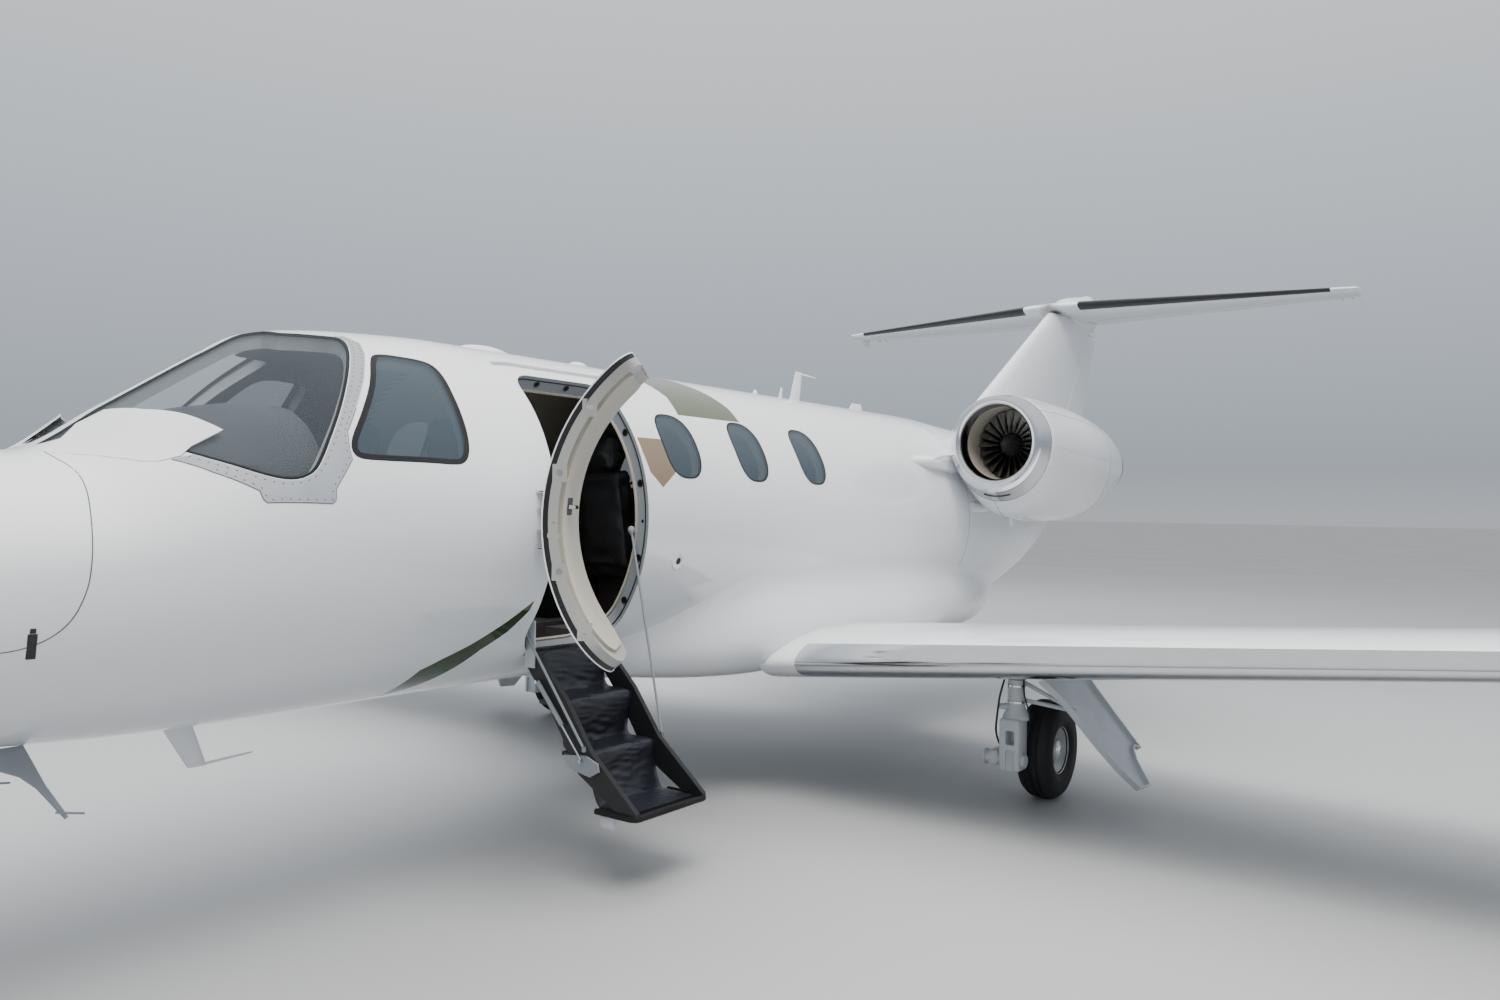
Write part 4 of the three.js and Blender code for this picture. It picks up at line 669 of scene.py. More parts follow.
# A solid cut by others with Boolean modifiers; the modifiers are applied.
def cutBy(piece, parts):
    for part in parts:
        cutter = makePiece("cutter", part, ["blackPlasticAndOpeningShade"], None)
        change = piece.modifiers.new("cut", "BOOLEAN")
        change.operation, change.object, change.solver = "DIFFERENCE", cutter, "EXACT"
        applyModifiers(piece)
        bpy.data.objects.remove(cutter)
    piece.data.set_sharp_from_angle(angle=math.radians(32))


def applyModifiers(piece):
    done = bpy.data.meshes.new_from_object(piece.evaluated_get(bpy.context.evaluated_depsgraph_get()))
    piece.modifiers.clear()
    old, piece.data = piece.data, done
    bpy.data.meshes.remove(old)


# Fairing of the wing roots, faired into the body by smoothing the outline of both together
fairing = {
    "fullness": 2.6, "softness": 4.5, "tuck": 0.004, "wall": 0.015,
    # y, half width, height of the widest point, top, bottom
    "rows": [
        (-2.45, 0.12, 0.850, 0.90, 0.80), (-2.15, 0.42, 0.880, 0.96, 0.745),
        (-1.80, 0.62, 0.900, 1.04, 0.712), (-1.30, 0.83, 0.910, 1.16, 0.662),
        (-1.00, 0.90, 0.915, 1.21, 0.650), (0.30, 0.905, 0.915, 1.23, 0.650),
        (1.00, 0.86, 0.920, 1.20, 0.662), (1.70, 0.77, 0.930, 1.15, 0.680),
        (2.25, 0.62, 0.945, 1.08, 0.690), (2.56, 0.48, 0.965, 1.02, 0.800),
        (2.70, 0.33, 0.980, 1.00, 0.900)],
    # y and the upper edge in degrees below the horizontal
    "edge": [(-2.48, 66), (-2.30, 60), (-2.13, 50), (-1.80, 40), (-1.30, 22), (-0.80, 12), (1.60, 12),
             (2.10, 22), (2.50, 45), (2.72, 66)],
}
fairingAt = smoothTable(fairing["rows"])


def fairingReach(y, degrees):
    half, widest, top, bottom = fairingAt(y)[0]
    centre = bodyAt(y)[0][1]
    turn = np.linspace(0, 2 * math.pi, 721)
    full = lambda v: np.sign(v) * np.abs(v) ** (2 / fairing["fullness"])
    x = half * full(np.cos(turn))
    z = widest + np.where(np.sin(turn) > 0, top - widest, widest - bottom) * full(np.sin(turn)) - centre
    angle, reach = np.degrees(np.arctan2(z, x)), np.hypot(x, z)
    best = np.zeros(len(degrees))
    step = degrees[1] - degrees[0]
    for a, r in zip(angle, reach):
        for turnAway in (0, -360):
            i = int(round((a + turnAway - degrees[0]) / step))
            if 0 <= i < len(degrees):
                best[i] = max(best[i], r)
    return best


def bellyFairing():
    degrees = np.arange(-230, 50.1, 1.0)
    ys = np.arange(-2.5, 2.76, 0.05)
    reach = []
    for y in ys:
        half, widest, top, bottom = bodyAt(y)[0]
        c, s = np.cos(np.radians(degrees)), np.sin(np.radians(degrees))
        rise = np.where(s > 0, top - widest, widest - bottom)
        body = 1 / np.sqrt((c / half) ** 2 + (s / rise) ** 2)
        lies = fairingReach(y, degrees) if fairing["rows"][0][0] <= y <= fairing["rows"][-1][0] else 0
        reach.append(np.maximum(0, lies - body))
    reach = np.array(reach)
    for axis, width in ((1, fairing["softness"]), (0, 1.6)):
        span = np.arange(-14, 15)
        kernel = np.exp(-0.5 * (span / width) ** 2)
        kernel /= kernel.sum()
        reach = np.apply_along_axis(lambda line: np.convolve(line, kernel, mode="same"), axis, reach)

    def heightAt(y, degree):
        i = np.clip((y - ys[0]) / 0.05, 0, len(ys) - 1.001)
        j = np.clip(degree - degrees[0], 0, len(degrees) - 1.001)
        a, b = i.astype(int), j.astype(int)
        u, v = i - a, j - b
        return ((1 - u) * (1 - v) * reach[a, b] + u * (1 - v) * reach[a + 1, b]
                + (1 - u) * v * reach[a, b + 1] + u * v * reach[a + 1, b + 1])

    edge = fairing["edge"]
    border = [(y, -a) for y, a in edge] + [(y, a - 180) for y, a in reversed(edge)]
    flat, triangles = fillFlat(toFlat(border), spacing=0.045)
    place = fromFlat(flat)
    height = heightAt(place[:, 0], place[:, 1])
    outer = onSkin(place[:, 0], place[:, 1], height - fairing["tuck"])
    inner = onSkin(place[:, 0], place[:, 1], height - fairing["tuck"] - fairing["wall"])
    points = list(outer) + list(inner)
    count = len(outer)
    faces = [list(t) for t in triangles] + [[c + count, b + count, a + count] for a, b, c in triangles]
    edges = {(t[i], t[(i + 1) % 3]) for t in triangles for i in range(3)}
    faces += [[b, a, a + count, b + count] for a, b in edges if (b, a) not in edges]
    piece = makePiece("wing_root_fairing", (points, faces, 0), ["whitePolyurethane"])
    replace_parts(piece, "belly_fairing")


# Lifting surfaces
def halfThickness(share):
    return 5 * (0.2969 * np.sqrt(share) - 0.126 * share - 0.3516 * share ** 2 + 0.2843 * share ** 3
                - 0.1015 * share ** 4)


# A surface is described by functions of its station: its leading edge, chord, thickness, hinge share
# and place(station, along, rise), with camber as a share of the chord.
class Lifting:
    def __init__(self, lead, chord, thickness, place, hinge, camber=0.0, run=0.006):
        self.lead, self.chord, self.thickness, self.place = lead, chord, thickness, place
        self.hinge, self.camber, self.run = hinge, camber, run

    def point(self, station, share, side, scale=1.0):
        chord = self.chord(station)
        arch = 4 * self.camber * share * (1 - share)
        rise = arch + side * self.thickness(station) * halfThickness(share)
        front = self.lead(station) + chord * (1 - scale) * 0.75
        return self.place(station, front + share * chord * scale, rise * chord * scale)

    def hingeShare(self, station):
        return (self.hinge(station) - self.lead(station)) / self.chord(station)

    def noseRadius(self, station):
        return self.thickness(station) * halfThickness(self.hingeShare(station)) * self.chord(station)

    # The shares of the front part, and where the cove of the moving part begins.
    def coveShare(self, station):
        hinge, chord = self.hingeShare(station), self.chord(station)
        radius = (self.noseRadius(station) + self.run) / chord
        share = hinge
        for _ in range(6):
            half = self.thickness(station) * halfThickness(share)
            share = hinge - math.sqrt(max(radius ** 2 - half ** 2, 1e-6))
        return share

    def hingePlace(self, station, along, rise):
        share = self.hingeShare(station)
        arch = 4 * self.camber * share * (1 - share) * self.chord(station)
        return self.place(station, self.hinge(station) + along, arch + rise)

    def fixedRing(self, station, cove, front=26, rear=8, scale=1.0):
        start = self.coveShare(station)
        fore = start * (1 - np.cos(np.linspace(0, math.pi / 2, front + 1)))
        aft = np.linspace(1, start, rear, endpoint=False)
        ring = []
        if cove:
            radius = self.noseRadius(station) + self.run
            # The cove's edge, as an angle about the hinge
            chord = self.chord(station)
            lean = math.asin(min(1, self.thickness(station) * halfThickness(start) * chord / radius))
            sweep = np.linspace(0, lean, rear, endpoint=False)
            ring += [self.hingePlace(station, -radius * math.cos(a), radius * math.sin(a)) for a in sweep]
        else:
            ring += [self.point(station, share, 1, scale) for share in aft]
        ring += [self.point(station, share, 1, scale) for share in fore[::-1]]
        ring += [self.point(station, share, -1, scale) for share in fore[1:]]
        if cove:
            ring += [self.hingePlace(station, -radius * math.cos(a), -radius * math.sin(a))
                     for a in sweep[::-1]]
        else:
            ring += [self.point(station, share, -1, scale) for share in aft[::-1]]
        return np.array(ring)

    # Marks for the band along the leading edge: steps of the ring within a share of the chord.
    def bandMark(self, station, band, front=26, rear=8):
        start = self.coveShare(station)
        fore = start * (1 - np.cos(np.linspace(0, math.pi / 2, front + 1)))
        inBand = fore[1:] <= band
        return [0] * rear + list(inBand[::-1].astype(int)) + list(inBand.astype(int)) + [0] * (rear + 1)

    def fixed(self, stations, band=0.0, bandRange=(0, 0)):
        rings = [self.fixedRing(station, cove, scale=scale) for station, cove, scale in stations]
        marks = self.bandMark(stations[0][0], band) if band else None

        def mark(r, i):
            low, high = sorted((abs(stations[r][0]), abs(stations[r + 1][0])))
            if not band or low < bandRange[0] - 1e-6 or high > bandRange[1] + 1e-6:
                return 0
            return marks[i] if i < len(marks) else 0
        return skinned(rings, mark)

    def moving(self, stations, skinSteps=14, noseSteps=12, inset=0.0005):
        rings = []
        for station in stations:
            hinge = self.hingeShare(station)
            radius = self.noseRadius(station) - inset
            shares = np.linspace(1, hinge, skinSteps)
            ring = [self.point(station, share, 1) for share in shares]
            for a in np.linspace(math.pi / 2, 3 * math.pi / 2, noseSteps)[1:-1]:
                ring.append(self.hingePlace(station, radius * math.cos(a), radius * math.sin(a)))
            ring += [self.point(station, share, -1) for share in shares[::-1]]
            rings.append(ring)
        return skinned(rings)


wingPlan = {"leading": -1.170, "rootX": 0.760, "tipX": 7.130, "chordX": 0.900, "chord": 2.070,
            "taper": 0.171, "riseX": 0.890, "riseZ": 0.790, "slope": 0.0875, "hinge": 0.78,
            "flap": (1.000, 4.150), "aileron": (4.200, 6.750), "gap": 0.008, "polished": 0.075}


def wingChord(x):
    return wingPlan["chord"] - wingPlan["taper"] * (x - wingPlan["chordX"])


def wingHeight(x):
    return wingPlan["riseZ"] + wingPlan["slope"] * (x - wingPlan["riseX"])


def wingThickness(x):
    along = (x - wingPlan["rootX"]) / (wingPlan["tipX"] - wingPlan["rootX"])
    return 0.135 + (0.11 - 0.135) * along


wing = Lifting(
    lead=lambda x: wingPlan["leading"], chord=wingChord, thickness=wingThickness, camber=0.012,
    place=lambda x, along, rise: (x, along + tableShift, wingHeight(x) + rise),
    hinge=lambda x: wingPlan["leading"] + wingPlan["hinge"] * wingChord(x))
jackPad = {"low": (2.300, -0.480, 0.800), "size": 0.080, "height": 0.060}


def wings():
    gap = wingPlan["gap"]
    stations = [(wingPlan["rootX"], False, 1.0)]
    for start, end in (wingPlan["flap"], wingPlan["aileron"]):
        stations += [(start - gap, False, 1.0), (start - gap, True, 1.0)]
        stations += [(x, True, 1.0) for x in np.linspace(start, end, 7)]
        stations += [(end + gap, True, 1.0), (end + gap, False, 1.0)]
    tip = wingPlan["tipX"]
    stations += [(tip - 0.06, False, 1.0), (tip - 0.03, False, 0.96), (tip - 0.01, False, 0.89),
                 (tip, False, 0.78)]
    whole = wing.fixed(stations, wingPlan["polished"], (0.99, tip - 0.06))
    wells = [block((1.820, -0.460 + tableShift, 0.5), (2.030, -0.210 + tableShift, 0.905), 0.02),
             block((1.300, -0.405 + tableShift, 0.5), (1.925, -0.245 + tableShift, 0.885), 0.02),
             turned([(0.292, 0.5), (0.292, 0.880)], (1.330, tableShift, 0), "z", 48)]
    x, y, z = jackPad["low"]
    pad = block((x, y + tableShift, z), (x + jackPad["size"], y + tableShift + jackPad["size"],
                                         z + jackPad["height"]), 0.006)
    for side, turn in sideTurns:
        piece = makePiece("wing_skin_" + side, turn(whole),
                          ["whitePolyurethane", "polishedAluminium", "frameEnamel"], angle=28)
        cutBy(piece, [turn(well) for well in wells])
        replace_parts(piece, "wing_" + side)
        makePiece("jack_pad_" + side, turn(pad), ["zincSteel"])
        for kind in ("flap", "aileron"):
            part = turn(wing.moving(np.linspace(*wingPlan[kind], 9)))
            made = makePiece(f"{kind}_skin_{side}", part, ["whitePolyurethane"], f"{side}_{kind}")
            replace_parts(made, f"{kind}_{side}")


# Tail
tailPlan = {
    "stab": {"z": 3.865, "halfSpan": 2.855, "rootLead": 5.130, "tipLead": 5.770, "rootTrail": 6.590,
             "tipTrail": 6.290, "hingeY": 6.115, "elevator": (0.170, 2.560), "boot": (0.30, 2.62)},
    "fin": {"leadY": 3.540, "leadZ": 2.785, "leadSlope": 1.627, "top": 3.800, "foot": 2.200},
    "rudder": {"hingeY": 5.612, "hingeZ": 2.784, "slope": 0.773, "trailY": 6.265, "trailSlope": 0.47,
               "foot": 2.370, "top": 3.690},
    # y, half width, height of the widest point, top, bottom
    "bullet": [
        (5.330, 0.020, 3.850, 3.890, 3.810), (5.480, 0.075, 3.868, 3.975, 3.785),
        (5.750, 0.118, 3.880, 4.052, 3.752), (6.150, 0.122, 3.890, 4.128, 3.742),
        (6.490, 0.088, 3.900, 4.189, 3.760), (6.600, 0.030, 3.905, 4.150, 3.830)],
}


def stabPlace(x, along, rise):
    return (x, along + tableShift, tailPlan["stab"]["z"] + rise)


def stabLead(x):
    plan = tailPlan["stab"]
    return plan["rootLead"] + (plan["tipLead"] - plan["rootLead"]) * abs(x) / plan["halfSpan"]


def stabTrail(x):
    plan = tailPlan["stab"]
    return plan["rootTrail"] + (plan["tipTrail"] - plan["rootTrail"]) * abs(x) / plan["halfSpan"]


stab = Lifting(lead=stabLead, chord=lambda x: stabTrail(x) - stabLead(x), thickness=lambda x: 0.1,
               place=stabPlace, hinge=lambda x: tailPlan["stab"]["hingeY"])


def finLead(z):
    plan = tailPlan["fin"]
    return plan["leadY"] + (z - plan["leadZ"]) * plan["leadSlope"]


def rudderHinge(z):
    plan = tailPlan["rudder"]
    return plan["hingeY"] + (z - plan["hingeZ"]) * plan["slope"]


def rudderTrail(z):
    plan = tailPlan["rudder"]
    return plan["trailY"] + (z - plan["hingeZ"]) * plan["trailSlope"]


def finThickness(z):
    plan = tailPlan["fin"]
    return 0.075 + 0.025 * (z - plan["foot"]) / (plan["top"] - plan["foot"])


finShape = Lifting(lead=finLead, chord=lambda z: rudderTrail(z) - finLead(z), thickness=finThickness,
                   place=lambda z, along, rise: (rise, along + tableShift, z), hinge=rudderHinge)


def tail():
    plan = tailPlan["stab"]
    start, end = plan["elevator"]
    half = [(0.0, False, 1.0), (start - 0.008, False, 1.0), (start - 0.008, True, 1.0)]
    half += [(x, True, 1.0) for x in np.linspace(start + 0.13, end, 6)]
    half += [(end + 0.008, True, 1.0), (end + 0.008, False, 1.0), (plan["boot"][1], False, 1.0),
             (plan["halfSpan"] - 0.05, False, 1.0), (plan["halfSpan"] - 0.02, False, 0.97),
             (plan["halfSpan"], False, 0.86)]
    one = stab.fixed(half, 0.09, plan["boot"])
    piece = makePiece("stabilizer_skin", gather(one, mirrored(one)), ["whitePolyurethane", "bootRubber"],
                      angle=28)
    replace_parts(piece, "stabilizer")
    for side, part in bothSides(stab.moving(np.linspace(start, end, 7))):
        made = makePiece("elevator_skin_" + side, part, ["whitePolyurethane"], "elevators")
        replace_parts(made, "elevator_" + side)

    rudder = tailPlan["rudder"]
    low, high = rudder["foot"] - 0.022, rudder["top"] + 0.032
    stations = [(z, False, 1.0) for z in (tailPlan["fin"]["foot"], low)]
    stations += [(z, True, 1.0) for z in (low, 2.7, 3.0, 3.3, 3.6, high)]
    stations += [(z, False, 1.0) for z in (high, tailPlan["fin"]["top"])]
    fin = finShape.fixed(stations)
    bulletAt = smoothTable(tailPlan["bullet"])
    rings = []
    for y in np.concatenate([5.33 + 0.15 * np.linspace(0, 1, 6) ** 2, np.linspace(5.53, 6.6, 20)]):
        half, widest, top, bottom = bulletAt(y)[0]
        turn = np.linspace(0, 2 * math.pi, 40, endpoint=False)
        rise = np.where(np.sin(turn) > 0, top - widest, widest - bottom)
        rings.append(np.stack([half * np.cos(turn), np.full(40, y + tableShift),
                               widest + rise * np.sin(turn)], axis=1))
    piece = makePiece("fin_skin", gather(fin, skinned(rings)), ["whitePolyurethane"], angle=28)
    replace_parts(piece, "fin")
    part = finShape.moving(np.linspace(rudder["foot"], rudder["top"], 7))
    made = makePiece("rudder_skin", part, ["whitePolyurethane"], "tail_rudder")
    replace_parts(made, "rudder")


# Engines
engine = {
    "centre": (1.158, 2.136), "throat": 0.262, "sides": 72,
    # y, half width, rise of the top and of the bottom, x and z of the middle, wall
    "rows": [
        (1.085, 0.318, 0.318, 0.325, 1.158, 2.136, 0.050), (1.106, 0.336, 0.328, 0.350, 1.158, 2.136, 0.060),
        (1.200, 0.375, 0.342, 0.414, 1.158, 2.136, 0.060), (1.400, 0.383, 0.360, 0.518, 1.145, 2.130, 0.060),
        (1.620, 0.384, 0.374, 0.540, 1.130, 2.124, 0.040), (2.300, 0.391, 0.389, 0.534, 1.085, 2.105, 0.025),
        (2.760, 0.374, 0.382, 0.499, 1.055, 2.093, 0.025), (3.280, 0.323, 0.354, 0.407, 1.021, 2.078, 0.020),
        (3.740, 0.262, 0.262, 0.262, 0.990, 2.065, 0.014)],
    "pylon": [(0.380, 0.050, 3.350, 0.150), (0.780, 0.883, 3.250, 0.137)],  # x, front, rear, thickness
    "pylonZ": 1.995, "fanY": 1.440, "fanRadius": 0.255, "blades": 22,
    # y, radius, x, z of the middle
    "core": [
        (1.660, 0.215, 1.127, 2.120), (2.700, 0.215, 1.058, 2.085), (2.900, 0.180, 1.046, 2.081),
        (3.420, 0.165, 1.012, 2.072)],
}
nacelleAt = smoothTable(engine["rows"])


def nacelleRing(y, inset=0.0):
    half, top, bottom, x, z, wall = nacelleAt(y)[0]
    turn = np.linspace(0, 2 * math.pi, engine["sides"], endpoint=False)
    rise = np.where(np.sin(turn) > 0, top, bottom) - inset * wall
    return np.stack([x + (half - inset * wall) * np.cos(turn), np.full(len(turn), y + tableShift),
                     z + rise * np.sin(turn)], axis=1)


# Lip, outer skin, tail and inner walls of one nacelle as a single closed skin
def nacelleShell():
    x, z = engine["centre"]
    rings, marks = [], []
    nose = nacelleRing(1.13)
    middle = np.array([x, 0, z])
    flat = (nose - middle) * (1, 0, 1)
    reach = np.linalg.norm(flat, axis=1)[:, None]
    for angle in np.radians([180, 150, 125, 105, 90, 75, 55, 35, 15]):
        side = np.where(math.cos(angle) > 0, reach - 0.296, 0.296 - engine["throat"])
        radius = 0.296 + side * math.cos(angle)
        ring = middle + flat / reach * radius
        ring[:, 1] = 1.13 - 0.045 * math.sin(angle) + tableShift
        rings.append(ring)
        marks.append(1)
    for y in np.concatenate([[1.13, 1.165, 1.205], np.linspace(1.26, 3.66, 40), [3.70, 3.74]]):
        rings.append(nacelleRing(y))
        marks.append(1 if y < 1.2 else (2 if y > 3.65 else 0))
    for y in (3.739, 3.60, 3.30, 2.80, 2.20, 1.66):
        rings.append(nacelleRing(y, 1.0))
        marks.append(3)
    for y, radius, mark in ((1.64, 0.264, 3), (1.60, 0.264, 4), (1.45, 0.264, 4), (1.30, 0.263, 4),
                            (1.22, 0.262, 1)):
        rings.append(circle((x, y + tableShift, z), radius, engine["sides"]))
        marks.append(mark)
    rings.append(rings[0])
    return skinned(rings, lambda r, i: marks[r], caps=False)


def fanParts():
    x, z = engine["centre"]
    y = engine["fanY"] + tableShift
    spinner = turned([(0.0, -0.200), (0.012, -0.192), (0.036, -0.155), (0.062, -0.100), (0.082, -0.040),
                      (0.090, 0.0), (0.090, 0.070), (0.0, 0.070)], (x, y, z), "y", 36, 1)
    parts = [spinner]
    for k in range(engine["blades"]):
        turn = Matrix.Rotation(2 * math.pi * k / engine["blades"], 4, "Y")
        rings = []
        for t in np.linspace(0, 1, 7):
            radius = 0.084 + (engine["fanRadius"] - 0.084) * t
            twist = math.radians(28 + 34 * t)
            chord = 0.088 + 0.03 * t
            ring = []
            for share, thick in ((-0.5, 0), (-0.3, 1), (0, 1.5), (0.3, 1), (0.5, 0), (0.3, -0.6),
                                 (0, -0.8), (-0.3, -0.6)):
                along, off = share * chord, thick * 0.0028 * (1 - 0.5 * t) + 0.014 * (0.25 - share ** 2)
                ring.append(Vector((along * math.sin(twist) + off * math.cos(twist),
                                    along * math.cos(twist) - off * math.sin(twist), radius)))
            rings.append([turn @ p + Vector((x, y, z)) for p in ring])
        parts.append(skinned(rings, 0))
    return gather(*parts)


def engines():
    shell = nacelleShell()
    foil = []
    for t in np.linspace(0, 1, 9):
        (x0, f0, r0, h0), (x1, f1, r1, h1) = engine["pylon"]
        x, front, rear, thick = x0 + (x1 - x0) * t, f0 + (f1 - f0) * t, r0 + (r1 - r0) * t, h0 + (h1 - h0) * t
        shares = (1 - np.cos(np.linspace(0, math.pi, 33))) / 2
        loop = [(x, front + s * (rear - front) + tableShift, engine["pylonZ"] + halfThickness(s) * thick)
                for s in shares[::-1]]
        loop += [(x, front + s * (rear - front) + tableShift, engine["pylonZ"] - halfThickness(s) * thick)
                 for s in shares[1:-1]]
        foil.append(loop)
    pylon = skinned(foil)
    fan = fanParts()
    coreAt = smoothTable(engine["core"])
    pipe = []
    for y in (2.30, 2.60, 2.75, 2.90, 3.10, 3.30, 3.42):
        radius, x, z = coreAt(y)[0]
        pipe.append(circle((x, y + tableShift, z), radius, 48))
    for y in (3.42, 3.20, 2.95):
        radius, x, z = coreAt(y)[0]
        pipe.append(circle((x, y + tableShift, z), radius - 0.008, 48))
    tailpipe = skinned(pipe)
    x, z = coreAt(3.42)[0][1:]
    cone = turned([(0.095, 3.02), (0.09, 3.18), (0.066, 3.36), (0.03, 3.50), (0.0, 3.56)],
                  (x, tableShift, z), "y", 36, 1)
    stator = []
    cx, cz = engine["centre"]
    for k in range(30):
        turn = Matrix.Rotation(2 * math.pi * k / 30, 4, "Y")
        vane = block((-0.0025, 1.60 + tableShift, 0.10), (0.0025, 1.645 + tableShift, 0.262), 0.001)
        stator.append(movedBy(vane, Matrix.Translation((cx, 0, cz)) @ turn))
    hub = turned([(0.0, 1.53), (0.10, 1.53), (0.10, 1.655), (0.0, 1.655)], (cx, tableShift, cz), "y", 36, 0)
    finishes = ["whitePolyurethane", "polishedAluminium", "titanium", "sootySteelAndHoleShade", "ductEnamel"]
    exhaust = gather(tailpipe, cone, hub, *stator)
    for side, turn in sideTurns:
        piece = makePiece("nacelle_skin_" + side, turn(shell), finishes)
        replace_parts(piece, "nacelle_" + side)
        makePiece("engine_pylon_" + side, turn(pylon), ["whitePolyurethane"])
        piece = makePiece("fan_blades_" + side, turn(fan), ["titanium", "blackPlasticAndOpeningShade"], side + "_fan")
        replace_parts(piece, "fan_" + side)
        piece = makePiece("exhaust_and_stator_" + side, turn(exhaust), ["zincSteel", "sootySteelAndHoleShade"])


bellyFairing()
wings()
tail()
engines()
print("wings, tail and engines done")


# What repeats: a tree that sets a low domed head at every step of a path, square to the surface
def domeRowTree(finishName):
    tree = bpy.data.node_groups.new("domeRow", "GeometryNodeTree")
    sockets = tree.interface
    sockets.new_socket("Geometry", in_out="INPUT", socket_type="NodeSocketGeometry")
    for name in ("Spacing", "Radius", "Height"):
        sockets.new_socket(name, in_out="INPUT", socket_type="NodeSocketFloat")
    sockets.new_socket("Geometry", in_out="OUTPUT", socket_type="NodeSocketGeometry")
    given = tree.nodes.new("NodeGroupInput")
    path = addNode(tree, "GeometryNodeMeshToCurve", {"Mesh": given.outputs["Geometry"]})
    steps = addNode(tree, "GeometryNodeResampleCurve", {
        "Curve": path.outputs[0], "Length": given.outputs["Spacing"]}, mode="LENGTH")
    outwards = addNode(tree, "GeometryNodeInputNamedAttribute", {"Name": "outwards"},
                       data_type="FLOAT_VECTOR")
    turn = addNode(tree, "FunctionNodeAlignRotationToVector", {"Vector": outwards.outputs[0]}, axis="Z")
    head = addNode(tree, "GeometryNodeMeshUVSphere", {
        "Segments": 8, "Rings": 4, "Radius": 1.0})
    size = addNode(tree, "ShaderNodeCombineXYZ", {
        0: given.outputs["Radius"], 1: given.outputs["Radius"], 2: given.outputs["Height"]})
    placed = addNode(tree, "GeometryNodeInstanceOnPoints", {
        "Points": steps.outputs[0], "Instance": head.outputs["Mesh"], "Rotation": turn.outputs[0],
        "Scale": size.outputs[0]})
    real = addNode(tree, "GeometryNodeRealizeInstances", {0: placed.outputs[0]})
    painted = addNode(tree, "GeometryNodeSetMaterial", {
        "Geometry": real.outputs[0], "Material": materials[finishName]})
    addNode(tree, "NodeGroupOutput", {"Geometry": painted.outputs[0]})
    return tree


# Rows of rivets or screws along paths; a path is points on the surface and the directions out of it.
def domeRows(name, paths, spacing, radius, height, finishName, body="airframe"):
    points, edges, outwards = [], [], []
    for path, normals in paths:
        base = len(points)
        points.extend(path)
        outwards.extend(normals)
        edges.extend((base + i, base + i + 1) for i in range(len(path) - 1))
    mesh = bpy.data.meshes.new(name)
    mesh.from_pydata([tuple(map(float, p)) for p in points], edges, [])
    layer = mesh.attributes.new("outwards", "FLOAT_VECTOR", "POINT")
    layer.data.foreach_set("vector", np.asarray(outwards, dtype=np.float32).ravel())
    piece = bpy.data.objects.new(name, mesh)
    bpy.context.collection.objects.link(piece)
    tree = domeRowTree(finishName)
    change = piece.modifiers.new("rows", "NODES")
    change.node_group = tree
    values = {"Spacing": spacing, "Radius": radius, "Height": height}
    for item in tree.interface.items_tree:
        if item.in_out == "INPUT" and item.name in values:
            change[item.identifier] = values[item.name]
    applyModifiers(piece)
    piece.data.polygons.foreach_set("use_smooth", [True] * len(piece.data.polygons))
    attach(piece, body)
    return piece


# A path on the fuselage's skin, with its normals, from points (y, degrees)
def skinPath(outline, step=0.02, out=0.0, closed=False):
    flat = toFlat(outline)
    if closed:
        flat = np.concatenate([flat, flat[:1]])
    made = [flat[0]]
    for a, b in zip(flat, flat[1:]):
        count = max(1, int(math.ceil(np.linalg.norm(b - a) / step)))
        made.extend(a + (b - a) * (k + 1) / count for k in range(count))
    place = fromFlat(np.array(made))
    points = onSkin(place[:, 0], place[:, 1], out)
    ahead = onSkin(place[:, 0] + 0.002, place[:, 1], out) - onSkin(place[:, 0] - 0.002, place[:, 1], out)
    around = onSkin(place[:, 0], place[:, 1] + 0.2, out) - onSkin(place[:, 0], place[:, 1] - 0.2, out)
    normals = np.cross(around, ahead)
    normals /= np.linalg.norm(normals, axis=1)[:, None]
    facing = normals[:, 0] * points[:, 0] + normals[:, 2] * (points[:, 2] - bodyAt(place[:, 0])[:, 1])
    normals[facing < 0] *= -1
    return points, normals


# The place on the body's skin, or within it, that faces straight out, or as outwards says
def squareTo(y, degrees, depth=0.0, outwards=lambda normal: normal):
    point, normal = skinPath([(y, degrees), (y + 0.001, degrees)], out=-depth)
    facing = Vector(np.asarray(outwards(normal[0]), dtype=float)).to_track_quat("Z", "Y")
    return Matrix.Translation(point[0]) @ facing.to_matrix().to_4x4()


# An open outline with its corners cut off, as many times over
def softened(outline, times=3):
    line = np.asarray(outline, dtype=float)
    for _ in range(times):
        a, b = line[:-1], line[1:]
        cut = np.stack([a * 0.75 + b * 0.25, a * 0.25 + b * 0.75], axis=1).reshape(-1, 2)
        line = np.concatenate([line[:1], cut, line[-1:]])
    return line


# A flat strip along a path, lying on the surface: a seam, a gap or a seal
def ribbon(path, normals, width, thick=0.0006, lift=0.0):
    path, normals = np.asarray(path), np.asarray(normals)
    ahead = np.gradient(path, axis=0)
    if np.linalg.norm(path[0] - path[-1]) < 1e-6:
        ahead[0] = ahead[-1] = path[1] - path[-2]
    side = np.cross(normals, ahead)
    side /= np.linalg.norm(side, axis=1)[:, None]
    rings = []
    for p, n, w in zip(path, normals, side):
        low, high = p + n * (lift - 0.002), p + n * (lift + thick)
        rings.append([low - w * width / 2, low + w * width / 2, high + w * width / 2, high - w * width / 2])
    return skinned(rings)


# Cockpit: panes, the milled frame round the windshield, the air outlet at its foot
def mirroredPath(path):
    points, normals = path
    return points * (-1, 1, 1), normals * (-1, 1, 1)


